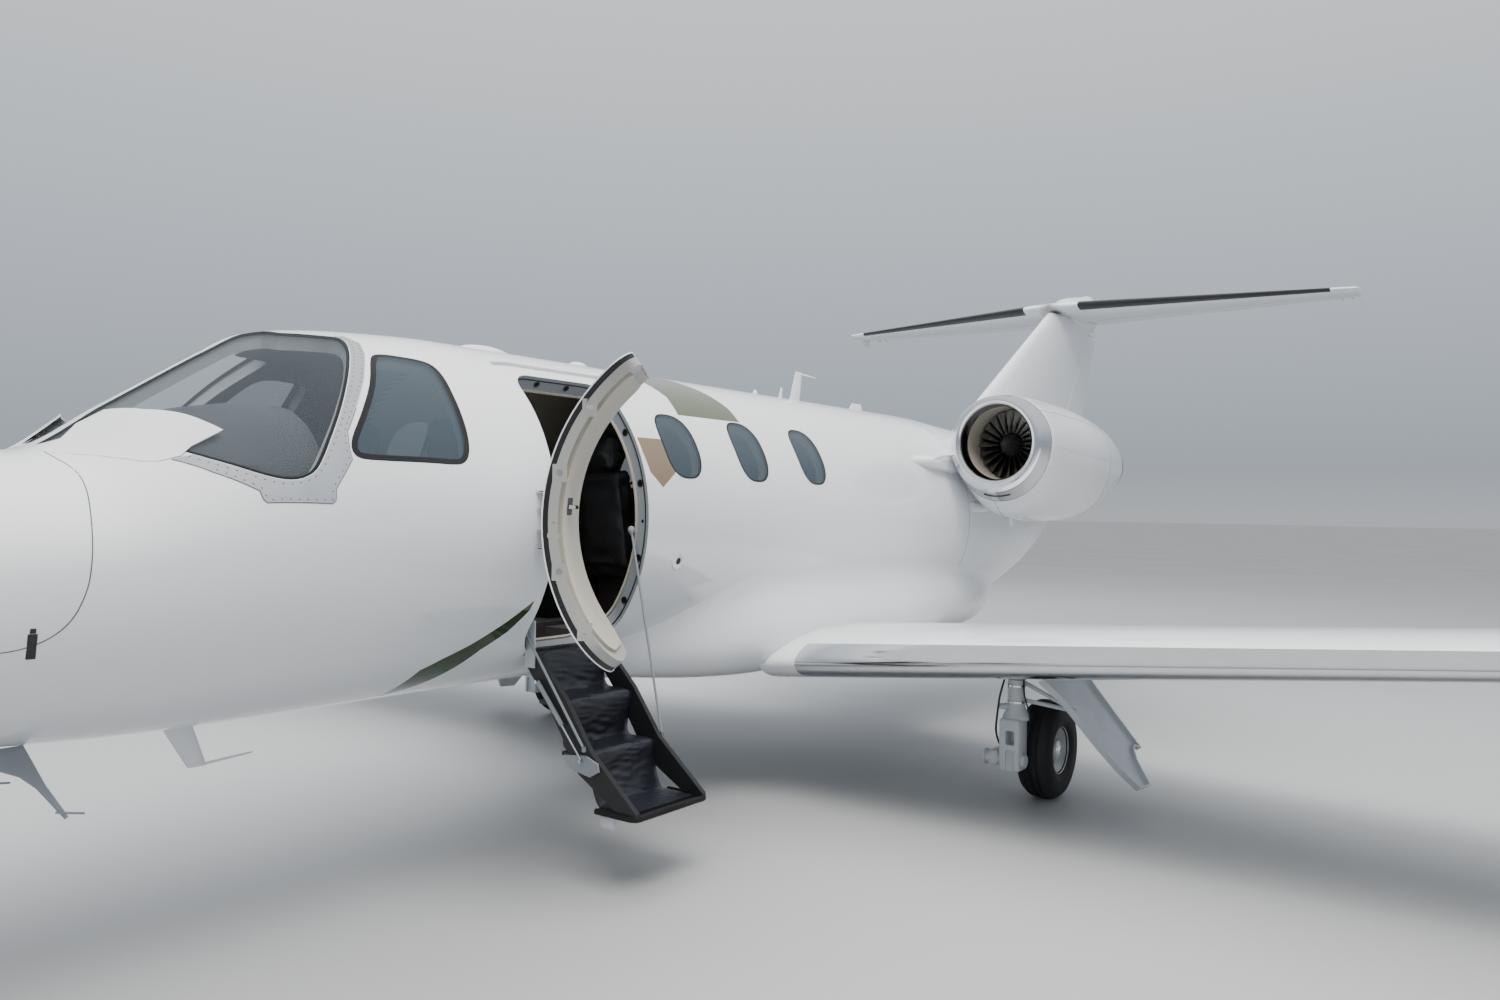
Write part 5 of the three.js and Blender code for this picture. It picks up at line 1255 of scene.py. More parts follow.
def onBothSides(outline):
    return (("left", outline), ("right", acrossBody(outline)))


panes = {"thick": 0.012, "gap": 0.0006, "border": 0.010, "sideBorder": 0.024}


# A pane with a rubber border
def addPane(node, outline, border, finishName, spacing):
    piece = skinShell(node + "_pane", shrunk(outline, panes["gap"]), ["blackRubber"], wall=panes["thick"],
                      regions=[(shrunk(outline, border), finishName)], spacing=spacing, sameInside=True)
    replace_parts(piece, node)


def glazing():
    # The windshield's grey-blue is a painted sky reflection; the cabin panes' blue-grey is their own tint
    # plus a painted sky reflection
    for side, outline in onBothSides(windshield):
        addPane("windshield_" + side, outline, panes["border"], "stretchedAcrylic", 0.04)
    for side, outline in onBothSides(sideWindow):
        addPane("side_window_" + side, outline, panes["sideBorder"], "tintedAcrylicPaintedSky", 0.04)
    for side, rows in (("left", cabinWindow["rows"][1:]), ("right", cabinWindow["rows"])):
        for i, y in enumerate(rows):
            outline = windowOutline(y)
            addPane(f"cabin_window_{side}_{i + 1}", outline if side == "left" else acrossBody(outline),
                    panes["border"], "tintedAcrylicPaintedSky", 0.03)


# Outer edge of the milled frame from its front to the post behind the windshield, as (y, degrees)
milledFrame = {
    # where the windshield's own edge takes over from the outer edge, as (y, degrees)
    "ends": ((-3.518, 70), (-4.240, 29.5)),
    "outer": [(-4.300, 29.5), (-4.200, 21.8), (-4.079, 14.1), (-4.072, 11.8), (-4.061, 10.6), (-3.836, 7.3),
              (-3.823, 8.1), (-3.819, 11.0), (-3.742, 18.4), (-3.745, 21.5), (-3.735, 26.5), (-3.672, 33.5),
              (-3.580, 44.0), (-3.489, 56.5), (-3.452, 64.0), (-3.470, 71.0)],
    "rise": 0.0018, "thick": 0.004, "rivetPitch": 0.030, "rivet": (0.0032, 0.0012),
    "innerRow": 0.016, "outerRow": 0.011,
}
# White panel that blows warm air up the windshield, as (y, degrees) and its height above the skin
airOutlet = {
    "outline": [(-4.552, 62.8), (-4.494, 48.1), (-4.428, 37.7), (-4.379, 32.4), (-4.339, 30.2),
                (-4.275, 29.9), (-4.238, 32.1), (-4.140, 34.1), (-4.225, 47.0), (-4.286, 56.0),
                (-4.347, 71.0), (-4.420, 74.0)],
    "height": 0.030, "reach": 0.30, "thick": 0.010,
}


def windshieldFrame():
    start, end = (int(np.argmin(np.abs(windshield[:, 0] - y) + np.abs(windshield[:, 1] - degrees) / 60))
                  for y, degrees in milledFrame["ends"])
    order = np.arange(start, end + 1) if end > start else np.arange(start, end - 1, -1)
    outer = np.array(milledFrame["outer"])
    border = np.concatenate([outer, shrunk(windshield, -0.003)[order]])
    rivetsIn = shrunk(windshield, -milledFrame["innerRow"])[order]
    ring = shrunk(border, milledFrame["outerRow"])[1:len(outer) - 1]
    paths = []
    lift = milledFrame["rise"]
    for side in (1, -1):
        edge = border if side > 0 else acrossBody(border)
        skinShell("windshield_frame_" + ("left" if side > 0 else "right"), edge,
                  ["satinAluminium", "satinAluminium"], out=lift, wall=milledFrame["thick"], spacing=0.03)
        for row in (rivetsIn, ring):
            path = skinPath(row, out=lift)
            paths.append(path if side > 0 else mirroredPath(path))
    domeRows("windshield_frame_rivets", paths, milledFrame["rivetPitch"], *milledFrame["rivet"],
             "zincSteel")
    path = skinPath(outer[:12], step=0.01)
    return [ribbon(*p, 0.006, lift=0.0004) for p in (path, mirroredPath(path))]


def airOutlets():
    outline = np.array(airOutlet["outline"])
    front = toFlat(outline[:5])

    def rise(place):
        flat = toFlat(np.stack([place[:, 0], np.where(place[:, 1] > -90, place[:, 1], -180 - place[:, 1])],
                               axis=1))
        away = np.full(len(flat), 9.0)
        for a, b in zip(front, front[1:]):
            along = b - a
            t = np.clip(((flat - a) @ along) / (along @ along), 0, 1)
            away = np.minimum(away, np.linalg.norm(flat - a - t[:, None] * along, axis=1))
        t = np.clip(away / airOutlet["reach"], 0, 1)
        return 0.002 + airOutlet["height"] * t * t * (3 - 2 * t)
    # Each panel's underside is black: painted shade in the opening beneath it
    for side, edge in onBothSides(outline):
        skinShell("air_outlet_" + side, edge, ["whitePolyurethane", "blackPlasticAndOpeningShade", "whitePolyurethane"],
                  wall=airOutlet["thick"], spacing=0.025, rise=rise)


# Seams, small fittings and aerials of the body
bodyDetails = {
    "noseDoor": [(-4.546, 60), (-4.546, 47.4), (-4.540, 44.1), (-4.533, 34.3), (-4.542, 25.5), (-4.566, 15),
                 (-4.583, 4.1), (-4.593, -3.5), (-4.630, -12), (-4.700, -17), (-4.800, -19), (-5.300, -19),
                 (-5.400, -15), (-5.440, -6), (-5.450, 10), (-5.450, 60)],
    "rings": [-5.960, 1.450, 4.300, 5.700],
    "seam": 0.0035,
    # y, height, length and thickness of the aerials on top
    "aerials": [(-2.515, 0.034, 0.350, 0.120), (-1.860, 0.030, 0.160, 0.090), (-0.200, 0.040, 0.060, 0.030),
                (0.092, 0.084, 0.040, 0.014), (0.270, 0.216, 0.130, 0.016), (1.120, 0.060, 0.220, 0.012)],
    "staticPort": (-1.922, -15.2),
    "gutter": (-2.832, -2.032, 59.5),
}


def aerial(y, height, length, thick, steps=9):
    foot = float(bodyAt(y)[0][2]) - 0.010
    rings = []
    for t in np.linspace(0, 1, steps):
        low = height < 0.05
        shrink = math.sqrt(max(0.0, 1 - t ** 2)) if low else 1 - 0.35 * t
        if not low and t == 1:
            shrink = 0.62
        lean = 0.0 if low else 0.25 * height * t
        turn = np.linspace(0, 2 * math.pi, 24, endpoint=False)
        half = length / 2 * max(shrink, 0.05)
        wide = thick / 2 * max(shrink if low else 1 - 0.4 * t, 0.05)
        rings.append([(wide * math.cos(a) * (1 if math.sin(a) < 0 else 1 - 0.5 * math.sin(a) ** 2),
                       y + tableShift + lean + half * math.sin(a), foot + t * (height + 0.010))
                      for a in turn])
    return skinned(rings)


def bellyAerial():
    rings = []
    for t in np.linspace(0, 1, 7):
        front = -4.058 + (-3.945 + 4.058) * t
        rear = -3.937 + (-3.870 + 3.937) * t
        turn = np.linspace(0, 2 * math.pi, 20, endpoint=False)
        middle, half = (front + rear) / 2 + tableShift, (rear - front) / 2
        rings.append([(0.008 * math.cos(a), middle + half * math.sin(a), 0.785 - t * 0.190) for a in turn])
    rod = tube([(0, -3.90 + tableShift, 0.600), (0, -3.80 + tableShift, 0.606),
                (0, -3.682 + tableShift, 0.613)], [0.0055, 0.005, 0.0035], 10)
    return gather(skinned(rings), rod)


def bodyFittings(extraSeams):
    details = bodyDetails
    path = skinPath(softened(details["noseDoor"]), step=0.03)
    paths = [path, mirroredPath(path)]
    paths += [skinPath([(y, a) for a in np.linspace(90, -270, 73)], step=0.05) for y in details["rings"]]
    # The emergency exit over the right wing
    paths.append(mirroredPath(skinPath(roundedOutline(-1.55, -0.95, -12, 50, (0.10, 0.10)), closed=True)))
    seams = extraSeams + [ribbon(*path, details["seam"]) for path in paths]
    makePiece("body_seams", gather(*seams), ["seamShadow"])

    parts = [aerial(*row) for row in details["aerials"]]
    parts.append(bellyAerial())
    parts.append(tubeAt([(0, 0.31, 2.610), (0, 0.42, 2.606), (0, 0.54, 2.600)], [0.006, 0.005, 0.003], 10))
    makePiece("aerials", gather(*parts), ["whitePolyurethane"])

    y0, y1, degrees = details["gutter"]
    path = skinPath([(y0, degrees - 1.2), (y0 + 0.1, degrees), (y1, degrees)])
    makePiece("rain_gutter", ribbon(*path, 0.012, thick=0.009), ["satinAluminium"])
    # Plates of the static ports, scalloped round their edge
    plate, scallops = [], 16
    turn = np.linspace(0, 2 * math.pi, scallops * 6, endpoint=False)
    for radius, height, wave in ((0.020, 0.0, 0), (0.0445, 0.0, 0.06), (0.0445, 0.0022, 0.06),
                                 (0.018, 0.0024, 0), (0.013, 0.0005, 0), (0.0, 0.0003, 0)):
        wavy = radius * (1 + wave * np.cos(turn * scallops / 2))
        plate.append(np.stack([wavy * np.cos(turn), wavy * np.sin(turn), np.full(len(turn), height)], axis=1))
    port = movedBy(skinned(plate, lambda r, i: 1 if r > 2 else 0), squareTo(*details["staticPort"]))
    for name, part in bothSides(port):
        makePiece("static_port_" + name, part, ["whitePolyurethane", "blackPlasticAndOpeningShade"])
    # Latches of the nose baggage doors
    latch = []
    for y, degrees in ((-4.720, -17.5), (-5.150, -18.5)):
        for box in (block((-0.013, -0.042, -0.003), (0.013, 0.042, 0.0012), 0.002),
                    block((-0.008, 0.044, -0.003), (0.008, 0.060, 0.0012), 0.002)):
            latch.append(movedBy(box, squareTo(y, degrees)))
    latch += [mirrored(part) for part in latch]
    makePiece("nose_door_latches", gather(*latch), ["blackPlasticAndOpeningShade"])


glazing()
bodyFittings(windshieldFrame())
airOutlets()
print("cockpit glazing and body fittings done")


# A CAD piece that stays: its looks, with a rule for the mark of a face from its middle
def finishNode(node, finishes, rule):
    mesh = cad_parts[node].data
    mesh.materials.clear()
    for finishName in finishes:
        mesh.materials.append(materials[finishName])
    marks = [rule(face.center) for face in mesh.polygons]
    mesh.polygons.foreach_set("material_index", np.asarray(marks, dtype=np.int32))
    mesh.polygons.foreach_set("use_smooth", [True] * len(mesh.polygons))
    mesh.set_sharp_from_angle(angle=math.radians(32))


# A bar of rectangular section along points, with its flat sides turned towards a direction
def strap(path, width, thick, flat, mark=0):
    path = [Vector(p) for p in path]
    rings = []
    for i, point in enumerate(path):
        ahead = (path[min(i + 1, len(path) - 1)] - path[max(i - 1, 0)]).normalized()
        across = ahead.cross(Vector(flat)).normalized()
        out = across.cross(ahead).normalized()
        rings.append([point + across * a * width / 2 + out * b * thick / 2
                      for a, b in ((-1, -0.7), (-0.9, -1), (0.9, -1), (1, -0.7), (1, 0.7), (0.9, 1),
                                   (-0.9, 1), (-1, 0.7))])
    return skinned(rings, mark)


# Cabin door: a white outer skin, a rubber seal and a grey pan with its latch pins, turned open
hingePoint = Vector((door["hinge"][0], door["hinge"][1] + tableShift, 0))
hingeTurn = Matrix.Rotation(-math.radians(door["open"]), 4, "Z")
latchPins = {"rear": [33.5, 13.4, -14.4, -32.7], "small": -0.7, "top": [-2.585, -2.395], "inset": 0.007,
             "depth": 0.045, "ball": 0.013, "ring": 0.021}


def swingReach(z):
    angles = np.radians(np.linspace(-60, 60, 25))
    x = fuselage["radius"] * np.cos(angles)
    reach = np.hypot(door["hinge"][0] - x, door["rear"] - latchPins["inset"] - door["hinge"][1])
    return np.interp(z, 1.587 + fuselage["radius"] * np.sin(angles), reach)


def opened(points):
    points = np.array(points, dtype=float)
    away = points - np.array(hingePoint)
    most = np.sqrt(np.maximum(swingReach(points[:, 2]) ** 2 - away[:, 0] ** 2, 0))
    away[:, 1] = np.minimum(away[:, 1], most)
    return away @ np.array(hingeTurn.to_3x3()).T + np.array(hingePoint)


def cabinDoor():
    edge = roundedOutline(door["front"], door["rear"], door["edge"], door["top"], door["corners"])
    leaf = shrunk(edge, latchPins["inset"])
    shell = {"spacing": 0.045, "body": "door", "turn": opened}
    skinPiece = skinShell("door_skin", leaf, ["whitePolyurethane"], wall=0.005, **shell)
    skinShell("door_seal", shrunk(leaf, 0.004), ["blackRubber"], out=-0.005, wall=0.020, **shell)
    pan = skinShell("door_pan", shrunk(leaf, 0.001), ["doorEnamel"], out=-0.025, wall=door["thick"] - 0.025,
                    **shell)
    skinShell("door_cover", shrunk(leaf, 0.055), ["liningFabric"], out=-door["thick"] + 0.002, wall=0.014,
              **shell)
    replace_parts(skinPiece, "cabin_door")
    print("door leaf:", len(skinPiece.data.polygons) + len(pan.data.polygons), "faces")

    ball, ring, depth = latchPins["ball"], latchPins["ring"], latchPins["depth"]
    pin = [(0.0, 0.0055), (ball * 0.55, 0.005), (ball * 0.85, 0.0032), (ball, 0.0), (ball, -0.004)]
    collar = [(ball + 0.001, -0.004), (ball + 0.001, 0.001), (ring - 0.003, 0.002), (ring, 0.0),
              (ring, -0.004)]
    latch = [turned(pin, (0, 0, 0), "z", 16, 0), turned(collar, (0, 0, 0), "z", 16, 1),
             block((-0.027, -0.033, -0.004), (0.027, 0.033, 0.0008), 0.006, 1)]

    def onRear(degrees):
        return squareTo(door["rear"] - latchPins["inset"], degrees, depth, lambda n: (0, 1, 0))
    places = [onRear(degrees) for degrees in latchPins["rear"]]
    places += [squareTo(y, door["top"] - 0.6, depth, lambda n: (-n[2], 0, n[0])) for y in latchPins["top"]]
    # The inside handle in its recess
    handle = squareTo(-2.42, 4.0, door["thick"] + 0.010, lambda n: (-n[0], 0, -n[2]))
    fitted = [(part, place) for place in places for part in latch] + [(turned([(0.0, 0.008), (0.006, 0.008),
                                                                               (0.007, -0.004)], (0, 0, 0),
                                                                              "z", 12),
                                                                       onRear(latchPins["small"])),
                                                                      (block((-0.024, -0.009, -0.004),
                                                                             (0.024, 0.009, 0.005), 0.003, 1),
                                                                       onRear(-4.2)),
                                                                      (block((-0.075, -0.045, -0.006),
                                                                             (0.075, 0.045, 0.003), 0.003, 2),
                                                                       handle),
                                                                      (tube([(-0.055, 0.0, 0.004),
                                                                             (-0.045, 0, 0.024),
                                                                             (0.045, 0, 0.024),
                                                                             (0.055, 0, 0.004)], 0.008),
                                                                       handle)]
    parts = [movedBy(part, place) for part, place in fitted]
    makePiece("door_latches", gather(*[(opened(points), faces, marks) for points, faces, marks in parts]),
              ["chromedSteel", "doorEnamel", "blackPlasticAndOpeningShade"], "door")

    # Hinge arms from their pins to the leaf, polished, and the fixed lugs with the pins
    arms, lugs = [], []
    x, y = door["hinge"]
    for z in door["lugs"]:
        hub = turnedAt([(0.0085, -0.030), (0.016, -0.030), (0.016, 0.030), (0.0085, 0.030)], (x, y, z), "z",
                       24, closed=True)
        arm = strap([shifted(p) for p in ((x, y + 0.013, z), (x + 0.002, y + 0.055, z),
                                          (x - 0.010, y + 0.080, z), (x - 0.045, y + 0.090, z))],
                    0.052, 0.016, (1, 0, 0))
        arms += [movedBy(part, Matrix.Translation(hingePoint) @ hingeTurn @ Matrix.Translation(-hingePoint))
                 for part in (hub, arm)]
        for way in (-1, 1):
            near = z + way * 0.0303
            low, high = sorted((near, near + way * 0.014))
            lugs.append(blockAt((x - 0.024, y - 0.090, low), (x + 0.016, y + 0.016, high), 0.005))
            lugs.append(blockAt((0.705, y - 0.090, low), (x + 0.016, y - 0.040, high), 0.004))
        lugs.append(turnedAt([(0.0, -0.052), (0.011, -0.052), (0.011, -0.046), (0.008, -0.046),
                              (0.008, 0.046), (0.011, 0.046), (0.011, 0.052), (0.0, 0.052)], (x, y, z), "z",
                             20))
    makePiece("door_hinge_arms", gather(*arms), ["polishedAluminium"], "door")
    makePiece("door_hinge_lugs", gather(*lugs), ["polishedAluminium"])


# The frame round the doorway: an inner trim, the sockets of the latch pins and a rubber strip
def doorFrame():
    wall = fuselage["wall"]
    path = skinPath(shrunk(doorOpening, -0.010), step=0.02, out=-wall - 0.002, closed=True)
    trim = ribbon(path[0], path[1], 0.034, thick=0.008, lift=-0.008)
    seal = skinPath(shrunk(doorOpening, 0.0005), step=0.02, out=-0.020, closed=True)
    strip = tube(seal[0], 0.0035, 8, 1, caps=False)
    sockets = []
    # Each socket's middle is a black disc, and the small socket is black all over: painted shade in their
    # holes
    for y, degrees, outwards in (
            [(door["rear"], a, lambda n: (0, -1, 0)) for a in (32.6, 12.6, -14.3, -31.2)]
            + [(y, door["top"], lambda n: (n[2], 0, -n[0])) for y in latchPins["top"]]):
        place = squareTo(y, degrees, 0.040, outwards)
        part = turned([(0.0, 0.0003), (0.014, 0.0003), (0.014, 0.0009), (0.019, 0.0009), (0.020, -0.004)],
                      (0, 0, 0), "z", 20, [2, 3, 3, 3, 3])
        sockets.append(movedBy(part, place))
    place = squareTo(door["rear"], -1, 0.040, lambda n: (0, -1, 0))
    sockets.append(movedBy(turned([(0.0, 0.0005), (0.008, 0.0006), (0.009, -0.004)], (0, 0, 0), "z", 14,
                                  2), place))
    makePiece("door_frame_trim", gather(trim, strip, *sockets),
              ["liningFabric", "blackRubber", "sootySteelAndHoleShade", "zincSteel"])


# Stairs: bent plate stringers, steps padded with vinyl, a tube round the last step
stairForm = {
    "front": -2.690, "rear": -2.220, "hinge": (0.410, 0.967), "side": 0.026,
    "stringer": [(0.545, 0.979), (0.600, 0.973), (0.790, 0.790), (0.952, 0.575), (1.222, 0.352),
                 (1.222, 0.318), (1.150, 0.318), (0.880, 0.470), (0.690, 0.740), (0.545, 0.905)],
    "pad": [(0.520, 0.984), (0.592, 0.984), (0.604, 0.968), (0.612, 0.900), (0.618, 0.810), (0.634, 0.784),
            (0.770, 0.782), (0.794, 0.772), (0.797, 0.745), (0.788, 0.690), (0.772, 0.620), (0.770, 0.578),
            (0.784, 0.570), (0.920, 0.571), (0.943, 0.561), (0.946, 0.535), (0.940, 0.480), (0.960, 0.410),
            (0.985, 0.352), (1.000, 0.349), (1.190, 0.349)],
    "padThick": 0.030, "wrinkle": 0.0035, "tubeRadius": 0.013,
}


def slabAlongY(outline, y0, y1, bevel=0.003, mark=0):
    outline = np.asarray(outline)
    middle = outline.mean(axis=0)
    small = middle + (outline - middle) * (1 - bevel / np.abs(outline - middle).max())
    rings = []
    for y, flat in ((y0, small), (y0 + bevel, outline), (y1 - bevel, outline), (y1, small)):
        rings.append([(x, y + tableShift, z) for x, z in flat])
    points, faces, marks = skinned(rings, mark, caps=False)
    count = len(outline)
    faces += [list(range(count - 1, -1, -1)), [3 * count + i for i in range(count)]]
    return points, faces, [mark] * len(faces)


def vinylPad():
    form = stairForm
    path = np.array(form["pad"])
    steps = np.concatenate([[0], np.cumsum(np.linalg.norm(np.diff(path, axis=0), axis=1))])
    count = 130
    s = np.linspace(0, steps[-1], count)
    line = np.stack([np.interp(s, steps, path[:, 0]), np.interp(s, steps, path[:, 1])], axis=1)
    for _ in range(3):
        line[1:-1] = 0.25 * line[:-2] + 0.5 * line[1:-1] + 0.25 * line[2:]
    ahead = np.gradient(line, axis=0)
    ahead /= np.linalg.norm(ahead, axis=1)[:, None]
    down = np.stack([ahead[:, 1], -ahead[:, 0]], axis=1)  # away from the treads' upper side
    across = np.linspace(form["front"] + form["side"] + 0.002, form["rear"] - form["side"] - 0.002, 41)
    rings = []
    for k, (p, d) in enumerate(zip(line, down)):
        u = np.linspace(-1, 1, len(across))
        edge = 0.010 * np.clip(np.abs(u) - 0.86, 0, 1) / 0.14
        wave = np.sin(s[k] * 190 + 5 * np.sin(across * 9) + 2.0 * np.sin(s[k] * 37)) \
            * np.sin(across * 13 + s[k] * 11 + 1.7)
        wave += 0.6 * np.sin(across * 41 + 6 * np.sin(s[k] * 21)) * np.sin(s[k] * 63 + 0.8)
        flat = min(1.0, 0.35 + abs(ahead[k][1]))  # the risers wrinkle more than the treads
        lift = form["wrinkle"] * flat * wave * (1 - u ** 4) - edge
        top = [(p[0] - d[0] * h, y + tableShift, p[1] - d[1] * h) for y, h in zip(across, lift)]
        low = [(p[0] + d[0] * form["padThick"] * 0.6, y + tableShift, p[1] + d[1] * form["padThick"] * 0.6)
               for y in across[::-1]]
        rings.append(top + low)
    return skinned(rings)


def stairs():
    form = stairForm
    front, rear, side = form["front"], form["rear"], form["side"]
    pad = makePiece("stair_padding", vinylPad(), ["blackVinyl"], "stair", angle=60)
    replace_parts(pad, "stairs")

    metal = [slabAlongY(form["stringer"], front, front + side, mark=0),
             slabAlongY(form["stringer"], rear - side, rear, mark=0)]
    x, z = form["hinge"]
    metal.append(tubeAt([(x, front - 0.0047, z), (x, rear + 0.0147, z)], 0.009, 16, 1))
    metal.append(blockAt((x - 0.002, front + 0.002, 0.954), (0.600, rear - 0.002, 0.978), 0.003, 0))
    for depth, (edge, top) in zip((0.165, 0.165, 0.225), ((0.786, 0.766), (0.936, 0.555), (1.205, 0.336))):
        metal.append(blockAt((edge - depth, front + 0.004, top - 0.018), (edge, rear - 0.004, top), 0.003, 0))
    # Tube round the last step
    bend = []
    corners = [(0.995, front - 0.004), (1.222, front - 0.004), (1.222, rear + 0.004), (0.995, rear + 0.004)]
    for i, (cx, cy) in enumerate(corners):
        if i in (0, 3):
            bend.append(shifted((cx, cy, 0.330)))
            continue
        way = 1 if i == 1 else -1
        for t in np.linspace(0, math.pi / 2, 6):
            a = t if i == 1 else math.pi / 2 - t
            bend.append(shifted((cx - 0.035 + 0.035 * math.sin(a), cy + way * (0.035 - 0.035 * math.cos(a)),
                                 0.330)))
    metal.append(tube(bend, form["tubeRadius"], 14, 2))
    metal.append(blockAt((1.010, front + 0.004, 0.262), (1.085, front + 0.040, 0.318), 0.008, 3))
    metal.append(blockAt((0.535, front - 0.008, 0.905), (0.600, front - 0.0005, 1.120), 0.003, 3))
    # Plates and gas strut on the front stringer
    plate = slabAlongY([(0.800, 0.545), (0.935, 0.560), (1.005, 0.535), (1.015, 0.500), (0.960, 0.470),
                        (0.860, 0.485), (0.810, 0.510)], front - 0.011, front - 0.0008, mark=4)
    strut = [(0.632, front - 0.016, 0.850), (0.792, front - 0.016, 0.674)]
    rod = [(0.792, front - 0.016, 0.674), (0.915, front - 0.016, 0.536)]
    metal += [plate, tubeAt(strut, 0.010, 14, 4), tubeAt(rod, 0.005, 12, 1)]
    for px, pz in ((0.632, 0.850), (0.915, 0.536)):
        metal.append(turnedAt([(0.0, -0.030), (0.008, -0.030), (0.008, 0.002), (0.0, 0.002)], (px, front, pz),
                              "y", 14, 1))
    makePiece("stair_frame", gather(*metal),
              ["blackPlasticAndOpeningShade", "chromedSteel", "sootySteelAndHoleShade", "gearEnamel", "frameEnamel"], "stair")
    # Steel cable stays in plastic sleeves, from the doorway to the steps
    stays = {"front": ((0.545, -2.712, 1.075), (0.935, -2.712, 0.590)),
             "rear": ((0.728, -2.205, 1.530), (0.940, -2.204, 0.575))}
    for name, (top, low) in stays.items():
        path = [Vector(shifted(top)).lerp(Vector(shifted(low)), t) for t in np.linspace(0, 1, 17)]
        knob = turned([(0.0, 0.020), (0.012, 0.016), (0.0175, 0.004), (0.0175, -0.006), (0.010, -0.018),
                       (0.0065, -0.024)], path[0], "z", 18, 0)
        end = turned([(0.0, 0.014), (0.009, 0.012), (0.010, -0.010), (0.0, -0.014)], path[-1], "z", 14, 1)
        stay = makePiece("stair_stay_" + name, gather(tube(path, 0.0058, 12, 0), knob, end),
                         ["frameEnamel", "zincSteel"], None)
        shifted(top)
        shifted(low)
        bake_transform(stay)
    # Fixed lugs of the stairs' axle
    lugs = []
    for y0, y1 in ((front - 0.025, front - 0.005), (rear + 0.015, rear + 0.035)):
        lugs.append(blockAt((x - 0.024, y0, 0.936), (x + 0.024, y1, 0.983), 0.004))
    makePiece("stair_lugs", gather(*lugs), ["gearEnamel"])


cabinDoor()
doorFrame()
stairs()
print("door and stairs done")


# Main gear
gear = {
    "leg": (1.925, -0.335), "foot": 0.270, "footY": -0.365, "link": 1.815, "wheel": (1.980, 0.0, 0.2795),
    # z and radius of the strut, from its foot up
    "strut": [(0.486, 0.060), (0.492, 0.072), (0.512, 0.073), (0.535, 0.060), (0.560, 0.050), (0.600, 0.0475),
              (0.712, 0.0475), (0.713, 0.0475), (0.716, 0.0565), (0.732, 0.0565), (0.735, 0.048),
              (0.780, 0.048), (0.810, 0.052), (0.850, 0.064), (0.885, 0.076), (0.9040, 0.078)],
}


